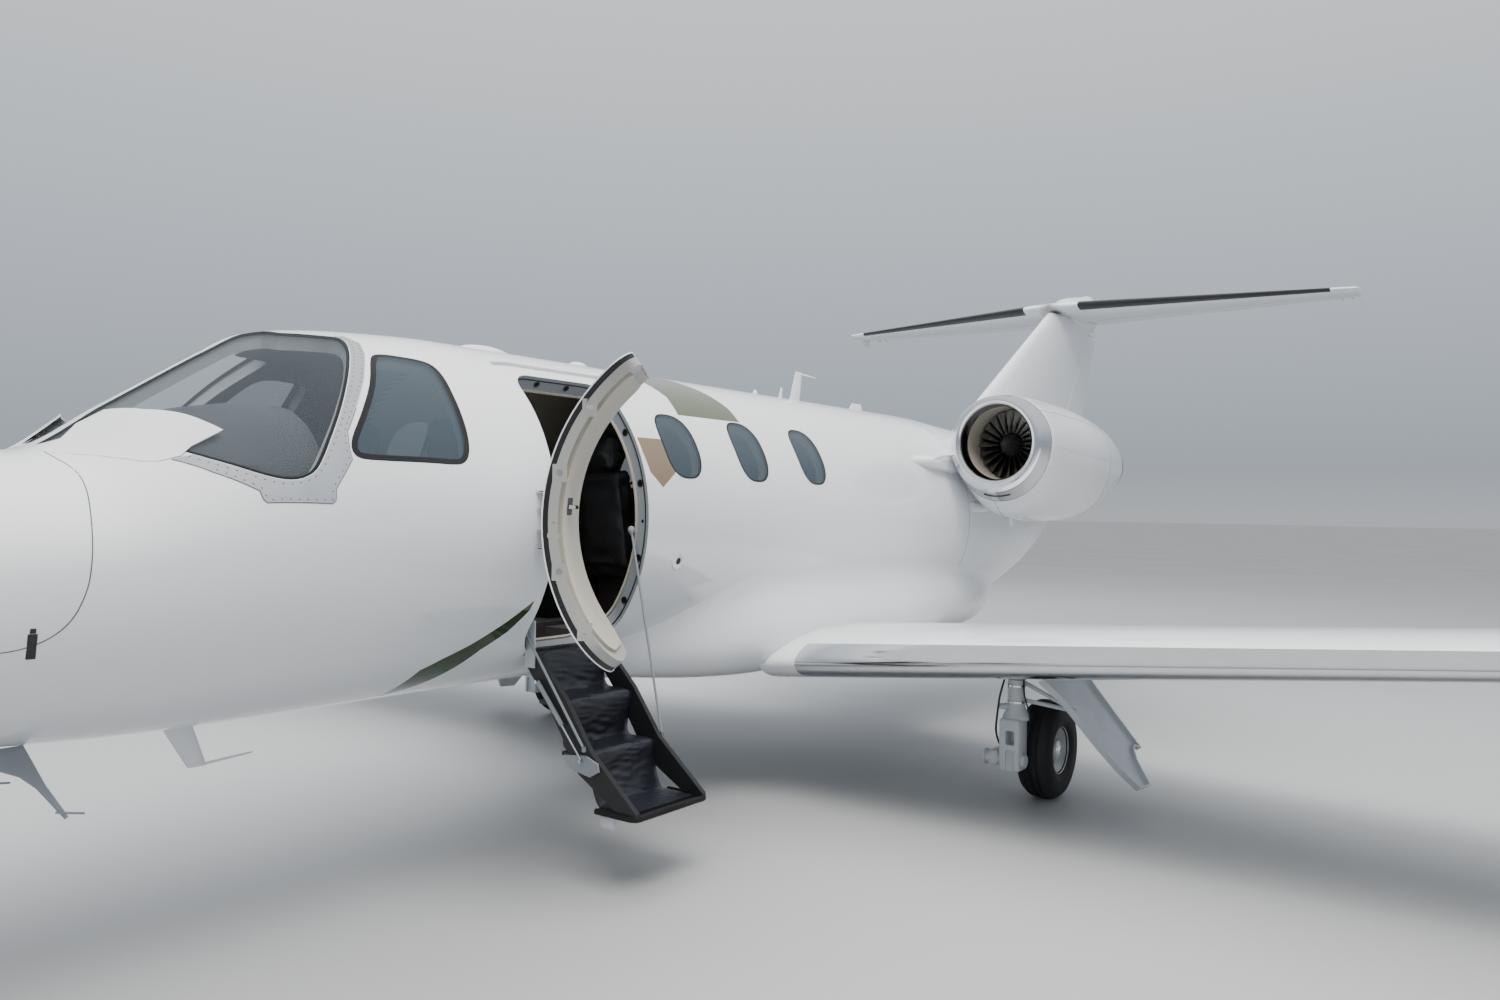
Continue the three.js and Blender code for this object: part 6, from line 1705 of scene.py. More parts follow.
def mainGear():
    x, y = gear["leg"]
    foot, footY, link = gear["foot"], gear["footY"], gear["link"]
    wheelX, wheelY, wheelZ = gear["wheel"]
    base = makePiece("main_leg_left_fork", blockAt((x - 0.066, footY - 0.058, foot - 0.055),
                                                   (x + 0.052, footY + 0.070, foot + 0.232), 0.014, 0, 3),
                     ["gearEnamel"], None)
    cuts = [((x - 0.026, footY - 0.090, foot + 0.090), (x + 0.026, footY + 0.020, foot + 0.168)),
            ((x - 0.026, footY - 0.090, foot - 0.080), (x + 0.026, footY - 0.040, foot + 0.060))]
    cutBy(base, [blockAt(low, high, 0.008) for low, high in cuts])
    forkPart = ([tuple(v.co) for v in base.data.vertices], [list(f.vertices) for f in base.data.polygons], 0)
    bpy.data.objects.remove(base)
    marks = [2 if 0.7125 < a[0] < 0.733 else 0 for a in gear["strut"]]
    strut = turnedAt([(r, z) for z, r in gear["strut"]], (x, y, 0), "z", 40, marks)
    parts = [forkPart, strut]
    parts.append(tubeAt([(x, y - 0.1245, 0.850), (x, y + 0.1245, 0.850)], 0.034, 24, 0))
    parts.append(tubeAt([(x - 0.090, y - 0.040, 0.560), (x - 0.040, y - 0.018, 0.560)], [0.014, 0.020], 16,
                        0))
    # Trailing link with its pivot, knob and axle
    parts.append(tubeAt([(link - 0.046, footY, foot), (x + 0.070, footY, foot)], 0.034, 24, 0))
    parts.append(turnedAt([(0.0, -0.062), (0.034, -0.062), (0.044, -0.056), (0.044, -0.046), (0.030, -0.040)],
                          (link, footY, foot), "x", 24, 1))
    parts.append(blockAt((link - 0.030, footY - 0.034, foot - 0.040), (link + 0.030, 0.050, foot + 0.044),
                         0.018, 0, 3))
    parts.append(tubeAt([(link - 0.030, wheelY, wheelZ), (wheelX + 0.070, wheelY, wheelZ)], 0.030, 24, 1))
    parts.append(tubeAt([(link, -0.090, foot + 0.020), (link + 0.028, -0.160, 0.420)], 0.019, 16, 3))
    parts.append(tubeAt([(link + 0.028, -0.160, 0.420), (x - 0.030, y + 0.018, 0.690)], 0.029, 20, 0))
    # Brake calipers beside the rim
    for a in (35, 145):
        cy, cz = 0.075 * math.cos(math.radians(a)), wheelZ + 0.095 * math.sin(math.radians(a))
        parts.append(blockAt((link + 0.028, cy - 0.030, cz - 0.030), (link + 0.062, cy + 0.030, cz + 0.030),
                             0.008, 1))
    # Brake hoses
    hose = [(x - 0.050, y - 0.045, 0.720), (x - 0.072, y - 0.060, 0.620), (x - 0.085, y - 0.062, 0.520),
            (x - 0.092, footY - 0.030, 0.420), (x - 0.085, footY + 0.020, 0.335),
            (link + 0.010, -0.240, 0.322), (link + 0.036, -0.090, 0.335)]
    line = [(x + 0.053, y - 0.020, 0.800), (x + 0.054, y - 0.025, 0.650), (x + 0.080, y - 0.010, 0.530),
            (x + 0.058, y + 0.050, 0.440), (x + 0.030, footY + 0.076, 0.330)]
    for path, radius in ((hose, 0.006), (line, 0.0045)):
        loop = [Vector(shifted(p)) for p in path]
        fine = []
        for i in range(len(loop) - 1):
            a, b = loop[max(i - 1, 0)], loop[min(i + 2, len(loop) - 1)]
            for t in np.linspace(0, 1, 6, endpoint=False):
                p, q = loop[i], loop[i + 1]
                fine.append(0.5 * ((2 * p) + (q - a) * t + (2 * a - 5 * p + 4 * q - b) * t * t
                                   + (3 * p - 3 * q + b - a) * t ** 3))
        fine.append(loop[-1])
        parts.append(tube(fine, radius, 10, 2))
    for z in (0.640, 0.560):
        parts.append(turnedAt([(0.050, -0.005), (0.053, -0.005), (0.053, 0.005), (0.050, 0.005)],
                              (x, y, z + (0.04 if z > 0.6 else 0.03)), "z", 32, 3, closed=True))
    finishes = ["gearEnamel", "castAlloy", "blackRubber", "chromedSteel"]
    for side, part in bothSides(gather(*parts)):
        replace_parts(makePiece("main_leg_parts_" + side, part, finishes), "main_leg_" + side)


# A plate with an outline of (share of the way from head to foot, y): rings at depths below its face,
# each of them inset
gearDoorForm = {
    "head": (2.120, 0.742), "foot": (2.545, 0.165), "thick": 0.012, "rim": 0.034, "edge": 0.010,
    "outline": [(0, 0.112), (0, -0.500), (0.2, -0.400), (0.6, -0.326), (0.82, -0.262), (1, -0.170),
                (1.02, -0.020), (0.93, -0.002), (0.82, 0.022), (0.74, 0.076), (0.72, 0.118), (0.755, 0.192),
                (0.7, 0.182), (0.42, 0.150)],
}
noseDoorForm = {
    "head": (0.171, 0.800), "foot": (0.300, 0.565), "thick": 0.012,
    "outline": [(-0.05, -5.540), (-0.05, -4.575), (0.5, -4.533), (0.95, -4.484), (0.97, -4.494),
                (0.52, -4.560), (0.34, -4.602), (0.24, -4.650), (0.3, -4.760), (0.62, -4.900), (0.68, -5.380),
                (0.4, -5.520)],
}


def plateRings(form, rings, mark=0):
    head, foot = np.array(form["head"]), np.array(form["foot"])
    length = np.linalg.norm(foot - head)
    along = (foot - head) / length
    below = np.array([-along[1], along[0]])  # along x across
    flat = np.array([(share * length, y) for share, y in form["outline"]])
    before, after = np.roll(flat, 1, axis=0), np.roll(flat, -1, axis=0)
    area = np.sum(before[:, 0] * flat[:, 1] - flat[:, 0] * before[:, 1])
    made = []
    for depth, inset in rings:
        ahead = (flat - before) / np.linalg.norm(flat - before, axis=1)[:, None]
        behind = (after - flat) / np.linalg.norm(after - flat, axis=1)[:, None]
        normals = [np.stack([-v[:, 1], v[:, 0]], axis=1) * np.sign(area) for v in (ahead, behind)]
        way = normals[0] + normals[1]
        way /= np.maximum(np.einsum("ij,ij->i", way, normals[0]), 0.5)[:, None]
        ring = flat + way * inset
        made.append([(head[0] + along[0] * s + below[0] * depth, y + tableShift,
                      head[1] + along[1] * s + below[1] * depth) for s, y in ring])
    points, faces, marks = skinned(made, mark, caps=False)
    count = len(flat)
    faces += [list(range(count - 1, -1, -1)), [(len(made) - 1) * count + i for i in range(count)]]
    marks = [mark] * len(faces)
    return points, faces, marks


def gearDoors():
    form = gearDoorForm
    thick, rim, edge = form["thick"], form["rim"], form["edge"]
    tray = plateRings(form, [(-thick, 0.003), (-thick + 0.003, 0), (rim - thick, 0),
                             (rim - thick, edge), (0.003, edge), (0, edge + 0.003)])
    head, foot = form["head"], form["foot"]
    parts = [tray]
    x, y = gear["leg"]
    for z in (0.700, 0.600):
        end = (head[0] + (foot[0] - head[0]) * 0.3, -0.300, head[1] + (foot[1] - head[1]) * 0.3)
        parts.append(tubeAt([(x + 0.030, y + 0.018, z), end], 0.012, 14, 0))
    # Stiffeners inside the tray
    for share in (0.25, 0.55):
        p = np.array(head) + (np.array(foot) - np.array(head)) * share
        q = p + (np.array(foot) - np.array(head)) * 0.025
        parts.append(slabAlongY([(p[0] - 0.002, p[1] - 0.002), (q[0] - 0.002, q[1] - 0.002),
                                 (q[0] - 0.014, q[1] - 0.010), (p[0] - 0.014, p[1] - 0.010)],
                                -0.300 + 0.1 * share, 0.090))
    for side, part in bothSides(gather(*parts)):
        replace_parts(makePiece("gear_door_tray_" + side, part, ["gearEnamel"]), "gear_door_" + side)
    leaf = plateRings(noseDoorForm, [(0, 0.002), (0.002, 0), (noseDoorForm["thick"] - 0.002, 0),
                                      (noseDoorForm["thick"], 0.002)])
    rod = tubeAt([(0.290, -4.520, 0.600), (0.315, -4.440, 0.585)], 0.004, 8)
    hinges = [blockAt((0.167, y - 0.015, 0.780), (0.179, y + 0.015, 0.830), 0.003) for y in (-5.300, -4.760)]
    for side, part in bothSides(gather(leaf, rod, *hinges)):
        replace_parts(makePiece("nose_door_leaf_" + side, part, ["frameEnamel"]), "nose_door_" + side)


# Wheels: cast rims with ports and bolts, tyres with four grooves
wheelForms = {
    "main": {"radius": 0.2795, "width": 0.197, "rim": 0.140, "bore": 0.0306, "ports": 8, "circle": 0.088,
             "port": 0.015, "bolts": 0.060},
    "nose": {"radius": 0.229, "width": 0.112, "rim": 0.112, "bore": 0.0166, "ports": 6, "circle": 0.068,
             "port": 0.012, "bolts": 0.046},
}


def wheel(name, kind, centre, body):
    form = wheelForms[kind]
    half, rim, bore = form["width"] * 0.4, form["rim"], form["bore"]
    seat, flange, web = rim - 0.014, rim - 0.002, half * 0.35
    side = [(bore, -half * 0.8), (bore + 0.022, -half * 0.8), (bore + 0.026, -half * 0.72),
            (bore + 0.028, -web - 0.004), (bore + 0.034, -web), (seat - 0.022, -web),
            (seat - 0.014, -web - 0.006), (flange - 0.004, -half + 0.001), (flange, -half + 0.004),
            (flange - 0.001, -half + 0.008), (seat, -half + 0.014)]
    profile = side + [(r, -a) for r, a in reversed(side)]
    rimPiece = makePiece(name + "_rim", turned(profile, centre, "x", 48, 0, closed=True),
                         ["castAlloy", "gearEnamel"], body)
    ports = []
    for k in range(form["ports"]):
        a = 2 * math.pi * (k + 0.5) / form["ports"]
        at = (centre[0], centre[1] + form["circle"] * math.cos(a), centre[2] + form["circle"] * math.sin(a))
        ports.append(tube([(at[0] - 0.1, at[1], at[2]), (at[0] + 0.1, at[1], at[2])], form["port"], 14))
    cutBy(rimPiece, ports)
    if kind == "main":
        way = 1 if centre[0] > 0 else -1
        cap = [(0.0, half * 0.8 + 0.010), (bore * 0.8, half * 0.8 + 0.009),
               (bore + 0.010, half * 0.8 + 0.002), (bore + 0.010, half * 0.78)]
        makePiece(name + "_cap", turned([(r, way * a) for r, a in cap], centre, "x", 28), ["chromedSteel"],
                  body)
    turn = np.linspace(0, 2 * math.pi, 73)
    rows = []
    for way in (-1, 1):
        path = [(centre[0] + way * (web + 0.0005), centre[1] + form["bolts"] * math.cos(t),
                 centre[2] + form["bolts"] * math.sin(t)) for t in turn]
        rows.append((path, [(way, 0, 0)] * len(path)))
    domeRows(name + "_bolts", rows, 2 * math.pi * form["bolts"] / 9.999, 0.0055, 0.006, "zincSteel", body)
    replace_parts(rimPiece, name)
    # Tyre: bead, wall, shoulder and grooved tread
    width = form["width"] / 2
    bead, base = form["width"] * 0.4 - 0.013, seat + 0.0006
    tall = form["radius"] - base
    wall = [(base, bead), (base + tall * 0.10, width * 0.88), (base + tall * 0.30, width * 0.95),
            (base + tall * 0.34, width * 0.965), (base + tall * 0.36, width * 0.955),
            (base + tall * 0.62, width), (base + tall * 0.82, width * 0.88),
            (base + tall * 0.93, width * 0.68), (form["radius"] - 0.002, width * 0.52)]
    tread = [(form["radius"] - 0.001, width * 0.44), (form["radius"] - 0.006, width * 0.42),
             (form["radius"] - 0.006, width * 0.36), (form["radius"], width * 0.34),
             (form["radius"], width * 0.13), (form["radius"] - 0.006, width * 0.11),
             (form["radius"] - 0.006, width * 0.05), (form["radius"], width * 0.03)]
    halfLoop = wall + tread
    profile = [(r, -a) for r, a in halfLoop] + [(r, a) for r, a in reversed(halfLoop)]
    tyre = turned(profile, centre, "x", 56 if kind == "main" else 48, 0, closed=True)
    piece = makePiece(name.replace("wheel", "tyre") + "_carcass", tyre, ["tyreRubber"], body, angle=50)
    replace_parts(piece, name.replace("wheel", "tyre"))


def noseGear():
    y0, joint, crown, top = -4.965, 0.640, 0.520, 1.080
    parts = [turnedAt([(0.036, joint + 0.0003), (0.042, joint + 0.006), (0.042, 0.720), (0.050, 0.724),
                       (0.050, 0.744), (0.042, 0.748), (0.042, top - 0.0005)], (0, y0, 0), "z", 32)]
    parts.append(tubeAt([(0, y0, 0.760), (0, y0 - 0.420, 1.040)], 0.020, 16))
    parts.append(blockAt((-0.1645, y0 - 0.450, 1.000), (0.1645, y0 - 0.400, 1.050), 0.008))
    parts.append(blockAt((-0.1645, y0 - 0.030, 0.960), (0.1645, y0 + 0.030, 1.020), 0.010))
    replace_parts(makePiece("nose_leg_parts", gather(*parts), ["gearEnamel"]), "nose_leg")
    fork = [tubeAt([(0, y0, crown - 0.010), (0, y0, joint - 0.0004)], 0.030, 28, 1)]
    fork.append(blockAt((-0.088, y0 - 0.042, crown - 0.040), (0.088, y0 + 0.060, crown), 0.014, 0, 3))
    for way in (-1, 1):
        x0, x1 = sorted((way * 0.068, way * 0.088))
        fork.append(blockAt((x0, y0 - 0.030, 0.300), (x1, y0 + 0.060, crown - 0.012), 0.006))
        fork.append(blockAt((x0, -4.965, 0.184), (x1, -4.875, 0.330), 0.008))
        fork.append(turnedAt([(0.0, way * 0.008), (0.020, way * 0.006), (0.022, 0.0)],
                             (way * 0.088, -4.920, 0.229), "x", 20, 1))
    fork.append(tubeAt([(-0.086, -4.920, 0.229), (0.086, -4.920, 0.229)], 0.016, 20, 1))
    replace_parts(makePiece("nose_fork_parts", gather(*fork), ["gearEnamel", "chromedSteel"], "fork"),
                "nose_fork")


mainGear()
gearDoors()
noseGear()
wheel("main_wheel_left", "main", shifted((1.980, 0, 0.2795)), "left_roller")
wheel("main_wheel_right", "main", shifted((-1.980, 0, 0.2795)), "right_roller")
wheel("nose_wheel", "nose", shifted((0, -4.920, 0.229)), "nose_roller")
print("landing gear done")


# Cabin: floor, ledges, cabinet and bulkhead, kept clear of the inner wall
cabin = {
    "margin": 0.076, "floor": (0.895, 0.925), "ledge": 1.010, "from": -4.230, "to": 1.380,
    "cabinet": (-2.760, -2.290, 0.190, 1.720), "bulkhead": (1.380, 1.410),
}


def insideWall(y, heights):
    points = onSkin(np.full(181, float(y)), np.linspace(-90, 90, 181), -cabin["margin"])
    return np.interp(heights, points[:, 2], points[:, 0])


# A block whose outer side follows the wall, on the left half of the cabin
def wallBlock(y0, y1, z0, z1, innerX, mark=0, levels=9, steps=2):
    heights = np.linspace(z0, z1, levels)
    rings = []
    for y in np.linspace(y0, y1, steps):
        xs = insideWall(y, heights)
        ring = [(innerX, z0)] + list(zip(xs, heights)) + [(innerX, z1)]
        rings.append([(x, y + tableShift, z) for x, z in ring])
    return skinned(rings, mark)


def cabinInside():
    low, high = cabin["floor"]
    parts = []
    for _, mirror in sideTurns:
        parts.append(mirror(wallBlock(cabin["from"] - 0.05, cabin["to"], low, high, 0.0, 0, steps=8)))
        for y0, y1, innerX in ((cabin["from"], -2.990, 0.105), (-2.140, cabin["to"], 0.075)):
            parts.append(mirror(wallBlock(y0, y1, high, cabin["ledge"], innerX, 0, steps=6)))
    y0, y1, innerX, top = cabin["cabinet"]
    parts.append(mirrored(wallBlock(y0, y1, high + 0.0005, top - 0.022, innerX, 1, steps=5)))
    parts.append(mirrored(wallBlock(y0 - 0.004, y1 + 0.004, top - 0.021, top, innerX - 0.006, 2, steps=5)))
    # Drawer and door fronts, their pulls, and a black strip that is painted shade in the slot of the cabinet
    for z0, z1 in ((0.960, 1.180), (1.190, 1.410), (1.420, 1.560)):
        parts.append(blockAt((-innerX - 0.002, y0 + 0.020, z0), (-innerX + 0.012, y1 - 0.020, z1), 0.004, 1))
        middle = (y0 + y1) / 2
        parts.append(tubeAt([(-innerX + 0.012, middle - 0.05, z1 - 0.035),
                             (-innerX + 0.028, middle - 0.045, z1 - 0.035),
                             (-innerX + 0.028, middle + 0.045, z1 - 0.035),
                             (-innerX + 0.012, middle + 0.05, z1 - 0.035)], 0.004, 8, 3))
    # Black strip: painted shade in the cabinet's slot
    parts.append(blockAt((-innerX - 0.002, y0 + 0.060, 1.590), (-innerX + 0.003, y1 - 0.060, 1.640), 0.002,
                         2))
    y0, y1 = cabin["bulkhead"]
    for _, mirror in sideTurns:
        parts.append(mirror(wallBlock(y0, y1, high + 0.0005, 2.300, 0.0, 4, levels=24)))
    parts.append(blockAt((-0.240, y0 - 0.008, 0.945), (0.240, y0 + 0.004, 2.020), 0.004, 1))
    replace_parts(makePiece("cabin_fittings", gather(*parts),
                          ["carpet", "laminate", "blackPlasticAndOpeningShade", "chromedSteel", "liningFabric"]), "floor")


# Instrument panel with its hood, displays, pedestal and control wheels
panelForm = {"y": -4.080, "thick": 0.060, "z": (1.380, 1.770), "hood": (-4.300, -3.790), "side": 1.745,
             "rise": 0.250, "headroom": 0.045, "pedestal": (0.095, -3.460, 1.185), "knob": 0.007}


def instrumentPanel():
    form = panelForm
    y0, y1 = form["y"], form["y"] + form["thick"]
    parts = []
    for _, mirror in sideTurns:
        parts.append(mirror(wallBlock(y0, y1, *form["z"], 0.0, 0)))
    half, rear, top = form["pedestal"]
    parts.append(blockAt((-half, y0 + 0.01, 0.9255), (half, rear, top), 0.012, 0))
    parts.append(blockAt((-half, y0 + 0.01, 0.9255), (half, y0 + 0.160, form["z"][0] + 0.010), 0.010, 0))
    # Displays with their bezels
    face = y1
    for x in (-0.395, 0.0, 0.395):
        parts.append(blockAt((x - 0.165, face - 0.002, 1.480), (x + 0.165, face + 0.008, 1.710), 0.006, 0))
        parts.append(blockAt((x - 0.145, face + 0.004, 1.500), (x + 0.145, face + 0.010, 1.695), 0.002, 1))
    for x in (-0.060, 0.060):
        parts.append(blockAt((x - 0.050, face - 0.002, 1.395), (x + 0.050, face + 0.010, 1.465), 0.003, 1))
    # Thrust levers
    for x in (-0.035, 0.035):
        parts.append(tubeAt([(x, -3.800, top - 0.01), (x, -3.815, top + 0.110)], 0.006, 10, 2))
        parts.append(blockAt((x - 0.024, -3.835, top + 0.095), (x + 0.024, -3.795, top + 0.135), 0.008, 0))
    # Control wheels on their shafts
    for x in (-0.330, 0.330):
        parts.append(tubeAt([(x, face - 0.01, 1.470), (x, -3.850, 1.470)], 0.018, 18, 2))
        path = [(-0.150, 0.105), (-0.155, 0.060), (-0.135, 0.010), (-0.075, -0.010), (0.0, -0.004),
                (0.075, -0.010), (0.135, 0.010), (0.155, 0.060), (0.150, 0.105)]
        parts.append(tubeAt([(x + u, -3.850, 1.470 + v) for u, v in path],
                            [0.013, 0.015, 0.014, 0.013, 0.020, 0.013, 0.014, 0.015, 0.013], 14, 0))
        parts.append(blockAt((x - 0.040, -3.868, 1.440), (x + 0.040, -3.836, 1.500), 0.010, 0))
    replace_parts(makePiece("instrument_panel_parts", gather(*parts),
                          ["blackPlasticAndOpeningShade", "darkGlass", "zincSteel"]), "instrument_panel")

    # The hood: a low vault from wall to wall
    rings = []
    start, end = form["hood"]
    for t in np.linspace(0, 1, 12):
        y = start + (end - start) * t
        wide = float(insideWall(y, 1.780)) - 0.012
        rise = 0.022 + form["rise"] * min(1.0, math.sin(t * math.pi / 2) * 1.1) ** 1.5
        u = np.linspace(-1, 1, 41)
        roof = onSkin(np.full(91, y), np.linspace(90, 0, 91), -form["headroom"])
        ceiling = np.interp(np.abs(u) * wide, roof[:, 0], roof[:, 2])
        crown = [(wide * a, y + tableShift, min(form["side"] + rise * (1 - abs(a) ** 5),
                                                max(h, form["side"]))) for a, h in zip(u, ceiling)]
        under = [(wide * a, y + tableShift, form["side"] - 0.012) for a in u[::-1]]
        rings.append(crown + under)
    lip = [(p[0], p[1] + 0.012, p[2] - 0.010) for p in rings[-1]]
    makePiece("instrument_hood", skinned(rings + [lip]), ["greyVinyl"], angle=45)
    # Knobs under the displays
    rows = []
    for x0, x1, z in ((-0.54, -0.25, 1.440), (0.25, 0.54, 1.440), (-0.080, 0.080, 1.474)):
        path = [shifted((x, face + 0.001, z)) for x in np.linspace(x0, x1, 5)]
        rows.append((path, [(0, 1, 0)] * 5))
    domeRows("instrument_knobs", rows, 0.0362, form["knob"], 0.010, "blackPlasticAndOpeningShade")


# Seats: leather cushions that a cloth simulation fills out between their seams, on plain frames
seatForm = {
    "half": 0.230, "inner": 0.170, "front": -0.460, "rear": 0.080,
    "sizes": {"cushion": (0.330, 0.520, 0.120), "back": (0.320, 0.100, 0.560), "head": (0.205, 0.088, 0.180)},
    "rounding": 0.028, "puff": 0.012, "cuts": 13, "frames": 16, "pressure": 2.2, "growth": -0.05,
    # name, x, y, which way it faces, top of the cushion and of the back
    "rows": [("pilot_seat_left", 0.330, -3.120, 1, 1.330, 1.830),
             ("pilot_seat_right", -0.330, -3.120, 1, 1.330, 1.830),
             ("cabin_seat_1", 0.310, -1.850, -1, 1.390, 1.830),
             ("cabin_seat_2", -0.310, -1.850, -1, 1.390, 1.830),
             ("cabin_seat_3", 0.310, -0.330, 1, 1.390, 1.830),
             ("cabin_seat_4", -0.310, -0.330, 1, 1.390, 1.830)],
}


def softBox(size):
    form = seatForm
    build = bmesh.new()
    bmesh.ops.create_cube(build, size=2)
    bmesh.ops.subdivide_edges(build, edges=list(build.edges), cuts=form["cuts"], use_grid_fill=True)
    half = np.array(size) / 2
    places = np.array([v.co for v in build.verts])
    r = form["rounding"]
    points = places * half
    core = np.clip(points, -(half - r), half - r)
    away = points - core
    length = np.linalg.norm(away, axis=1)[:, None]
    points = core + np.where(length > 0, away / np.maximum(length, 1e-9) * r, 0)
    seam = (np.abs(places) > 0.93).sum(axis=1) >= 2
    axis = np.argmax(np.abs(places), axis=1)
    fall = np.ones(len(places))
    for k in range(3):
        fall *= np.where(axis == k, 1, 1 - places[:, k] ** 2)
    for k in range(3):
        points[:, k] += np.where(axis == k, np.sign(places[:, k]) * form["puff"] * fall, 0)
    build.verts.index_update()
    faces = [[v.index for v in f.verts] for f in build.faces]
    build.free()
    return points, faces, seam


def cushions():
    form = seatForm
    made, start = {}, 0
    parts, seams = [], []
    for i, (name, size) in enumerate(form["sizes"].items()):
        points, faces, seam = softBox(size)
        made[name] = (start, start + len(points), faces, i)
        parts.append((points + [i * 1.0, 0, 0], faces, 0))
        seams.append(seam)
        start += len(points)
    points, faces, _ = gather(*parts)
    points = np.array(points)
    mesh = bpy.data.meshes.new("cushion_cloth")
    mesh.from_pydata([tuple(p) for p in points], [], faces)
    cloth = bpy.data.objects.new("cushion_cloth", mesh)
    bpy.context.collection.objects.link(cloth)
    held = cloth.vertex_groups.new(name="seam")
    held.add([int(k) for k in np.flatnonzero(np.concatenate(seams))], 1.0, "REPLACE")
    change = cloth.modifiers.new("cloth", "CLOTH")
    settings = change.settings
    settings.quality = 7
    settings.mass = 0.25
    settings.tension_stiffness = settings.compression_stiffness = 22
    settings.shear_stiffness = 8
    settings.bending_stiffness = 0.8
    settings.use_pressure = True
    settings.uniform_pressure_force = form["pressure"]
    settings.shrink_min = form["growth"]
    settings.vertex_group_mass = "seam"
    settings.effector_weights.gravity = 0
    change.point_cache.frame_start, change.point_cache.frame_end = 1, form["frames"]
    for step in range(1, form["frames"] + 1):
        bpy.context.scene.frame_set(step)
    done = cloth.evaluated_get(bpy.context.evaluated_depsgraph_get())
    after = np.array([v.co for v in done.data.vertices])
    most = float(np.abs(after - points).max())
    print("cushions filled out by up to", round(most * 1000), "mm")
    points = points + np.clip(after - points, -0.022, 0.022)
    bpy.data.objects.remove(cloth)
    bpy.context.scene.frame_set(1)
    return {name: (points[a:b] - [i * 1.0, 0, 0], part, 0) for name, (a, b, part, i) in made.items()}


def seats():
    form = seatForm
    soft = cushions()
    inner, half, front, rear = form["inner"], form["half"], form["front"], form["rear"]
    for name, x, y, facing, cushionTop, backTop in form["rows"]:
        place = Matrix.Translation(shifted((x, y, 0)))
        if facing < 0:
            place = place @ Matrix.Rotation(math.pi, 4, "Z")
        tall = backTop - cushionTop + 0.090
        tilt = math.atan2(0.090, tall)
        back = Matrix.Translation((0, 0.090, (cushionTop - 0.070 + backTop) / 2)) \
            @ Matrix.Rotation(-tilt, 4, "X") @ Matrix.Diagonal((1, 1, tall / 0.59, 1))
        parts = [movedBy(soft["cushion"], place @ Matrix.Translation((0, -0.190, cushionTop - 0.062))),
                 movedBy(soft["back"], place @ back),
                 movedBy(soft["head"], place @ Matrix.Translation((0, 0.138, backTop + 0.092)))]
        for way in (-1, 1):
            x0, x1 = sorted((way * (half - 0.055), way * half))
            parts.append(movedBy(block((x0, front + 0.090, cushionTop + 0.100), (x1, rear - 0.01,
                                                                                 cushionTop + 0.150),
                                       0.020, 0, 4), place))
        piece = makePiece(name + "_cushions", gather(*parts), ["charcoalLeather"], angle=50)
        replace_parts(piece, name)
        base = cabin["ledge"] + 0.0005
        hard = [block((-inner * 0.72, front + 0.080, base), (inner * 0.72, rear - 0.060, cushionTop - 0.124),
                      0.010, 0)]
        for way in (-1, 1):
            x0, x1 = sorted((way * (half - 0.050), way * (half - 0.005)))
            hard.append(block((x0, front + 0.100, cushionTop - 0.110), (x1, rear - 0.012, cushionTop + 0.104),
                              0.012, 0, 3))
            hard.append(tube([(way * 0.045, 0.128, backTop - 0.030), (way * 0.045, 0.135, backTop + 0.030)],
                             0.007, 10, 1))
        hard.append(block((-half + 0.010, rear - 0.090, cushionTop - 0.105), (half - 0.010, rear - 0.012,
                                                                             cushionTop - 0.015), 0.010, 0))
        makePiece(name + "_frame", gather(*[movedBy(part, place) for part in hard]),
                  ["charcoalLeather", "chromedSteel"])
    print("seats done")


# Small parts of the engines, their scoops and screws
def nacellePath(spots):
    def at(y, degrees):
        half, top, bottom, x, z, _ = nacelleAt(y)[0]
        turn = math.radians(degrees)
        return np.array([x + half * math.cos(turn), y + tableShift,
                         z + (top if math.sin(turn) > 0 else bottom) * math.sin(turn)])
    points, normals = [], []
    for y, degrees in spots:
        ahead = at(y + 0.004, degrees) - at(y - 0.004, degrees)
        normal = np.cross(at(y, degrees + 0.5) - at(y, degrees - 0.5), ahead)
        normals.append(-normal / np.linalg.norm(normal) if normal @ (at(y, degrees) - nacelleMiddle(y)) < 0
                       else normal / np.linalg.norm(normal))
        points.append(at(y, degrees))
    return np.array(points), np.array(normals)


def nacelleMiddle(y):
    row = nacelleAt(y)[0]
    return np.array([row[3], y + tableShift, row[4]])


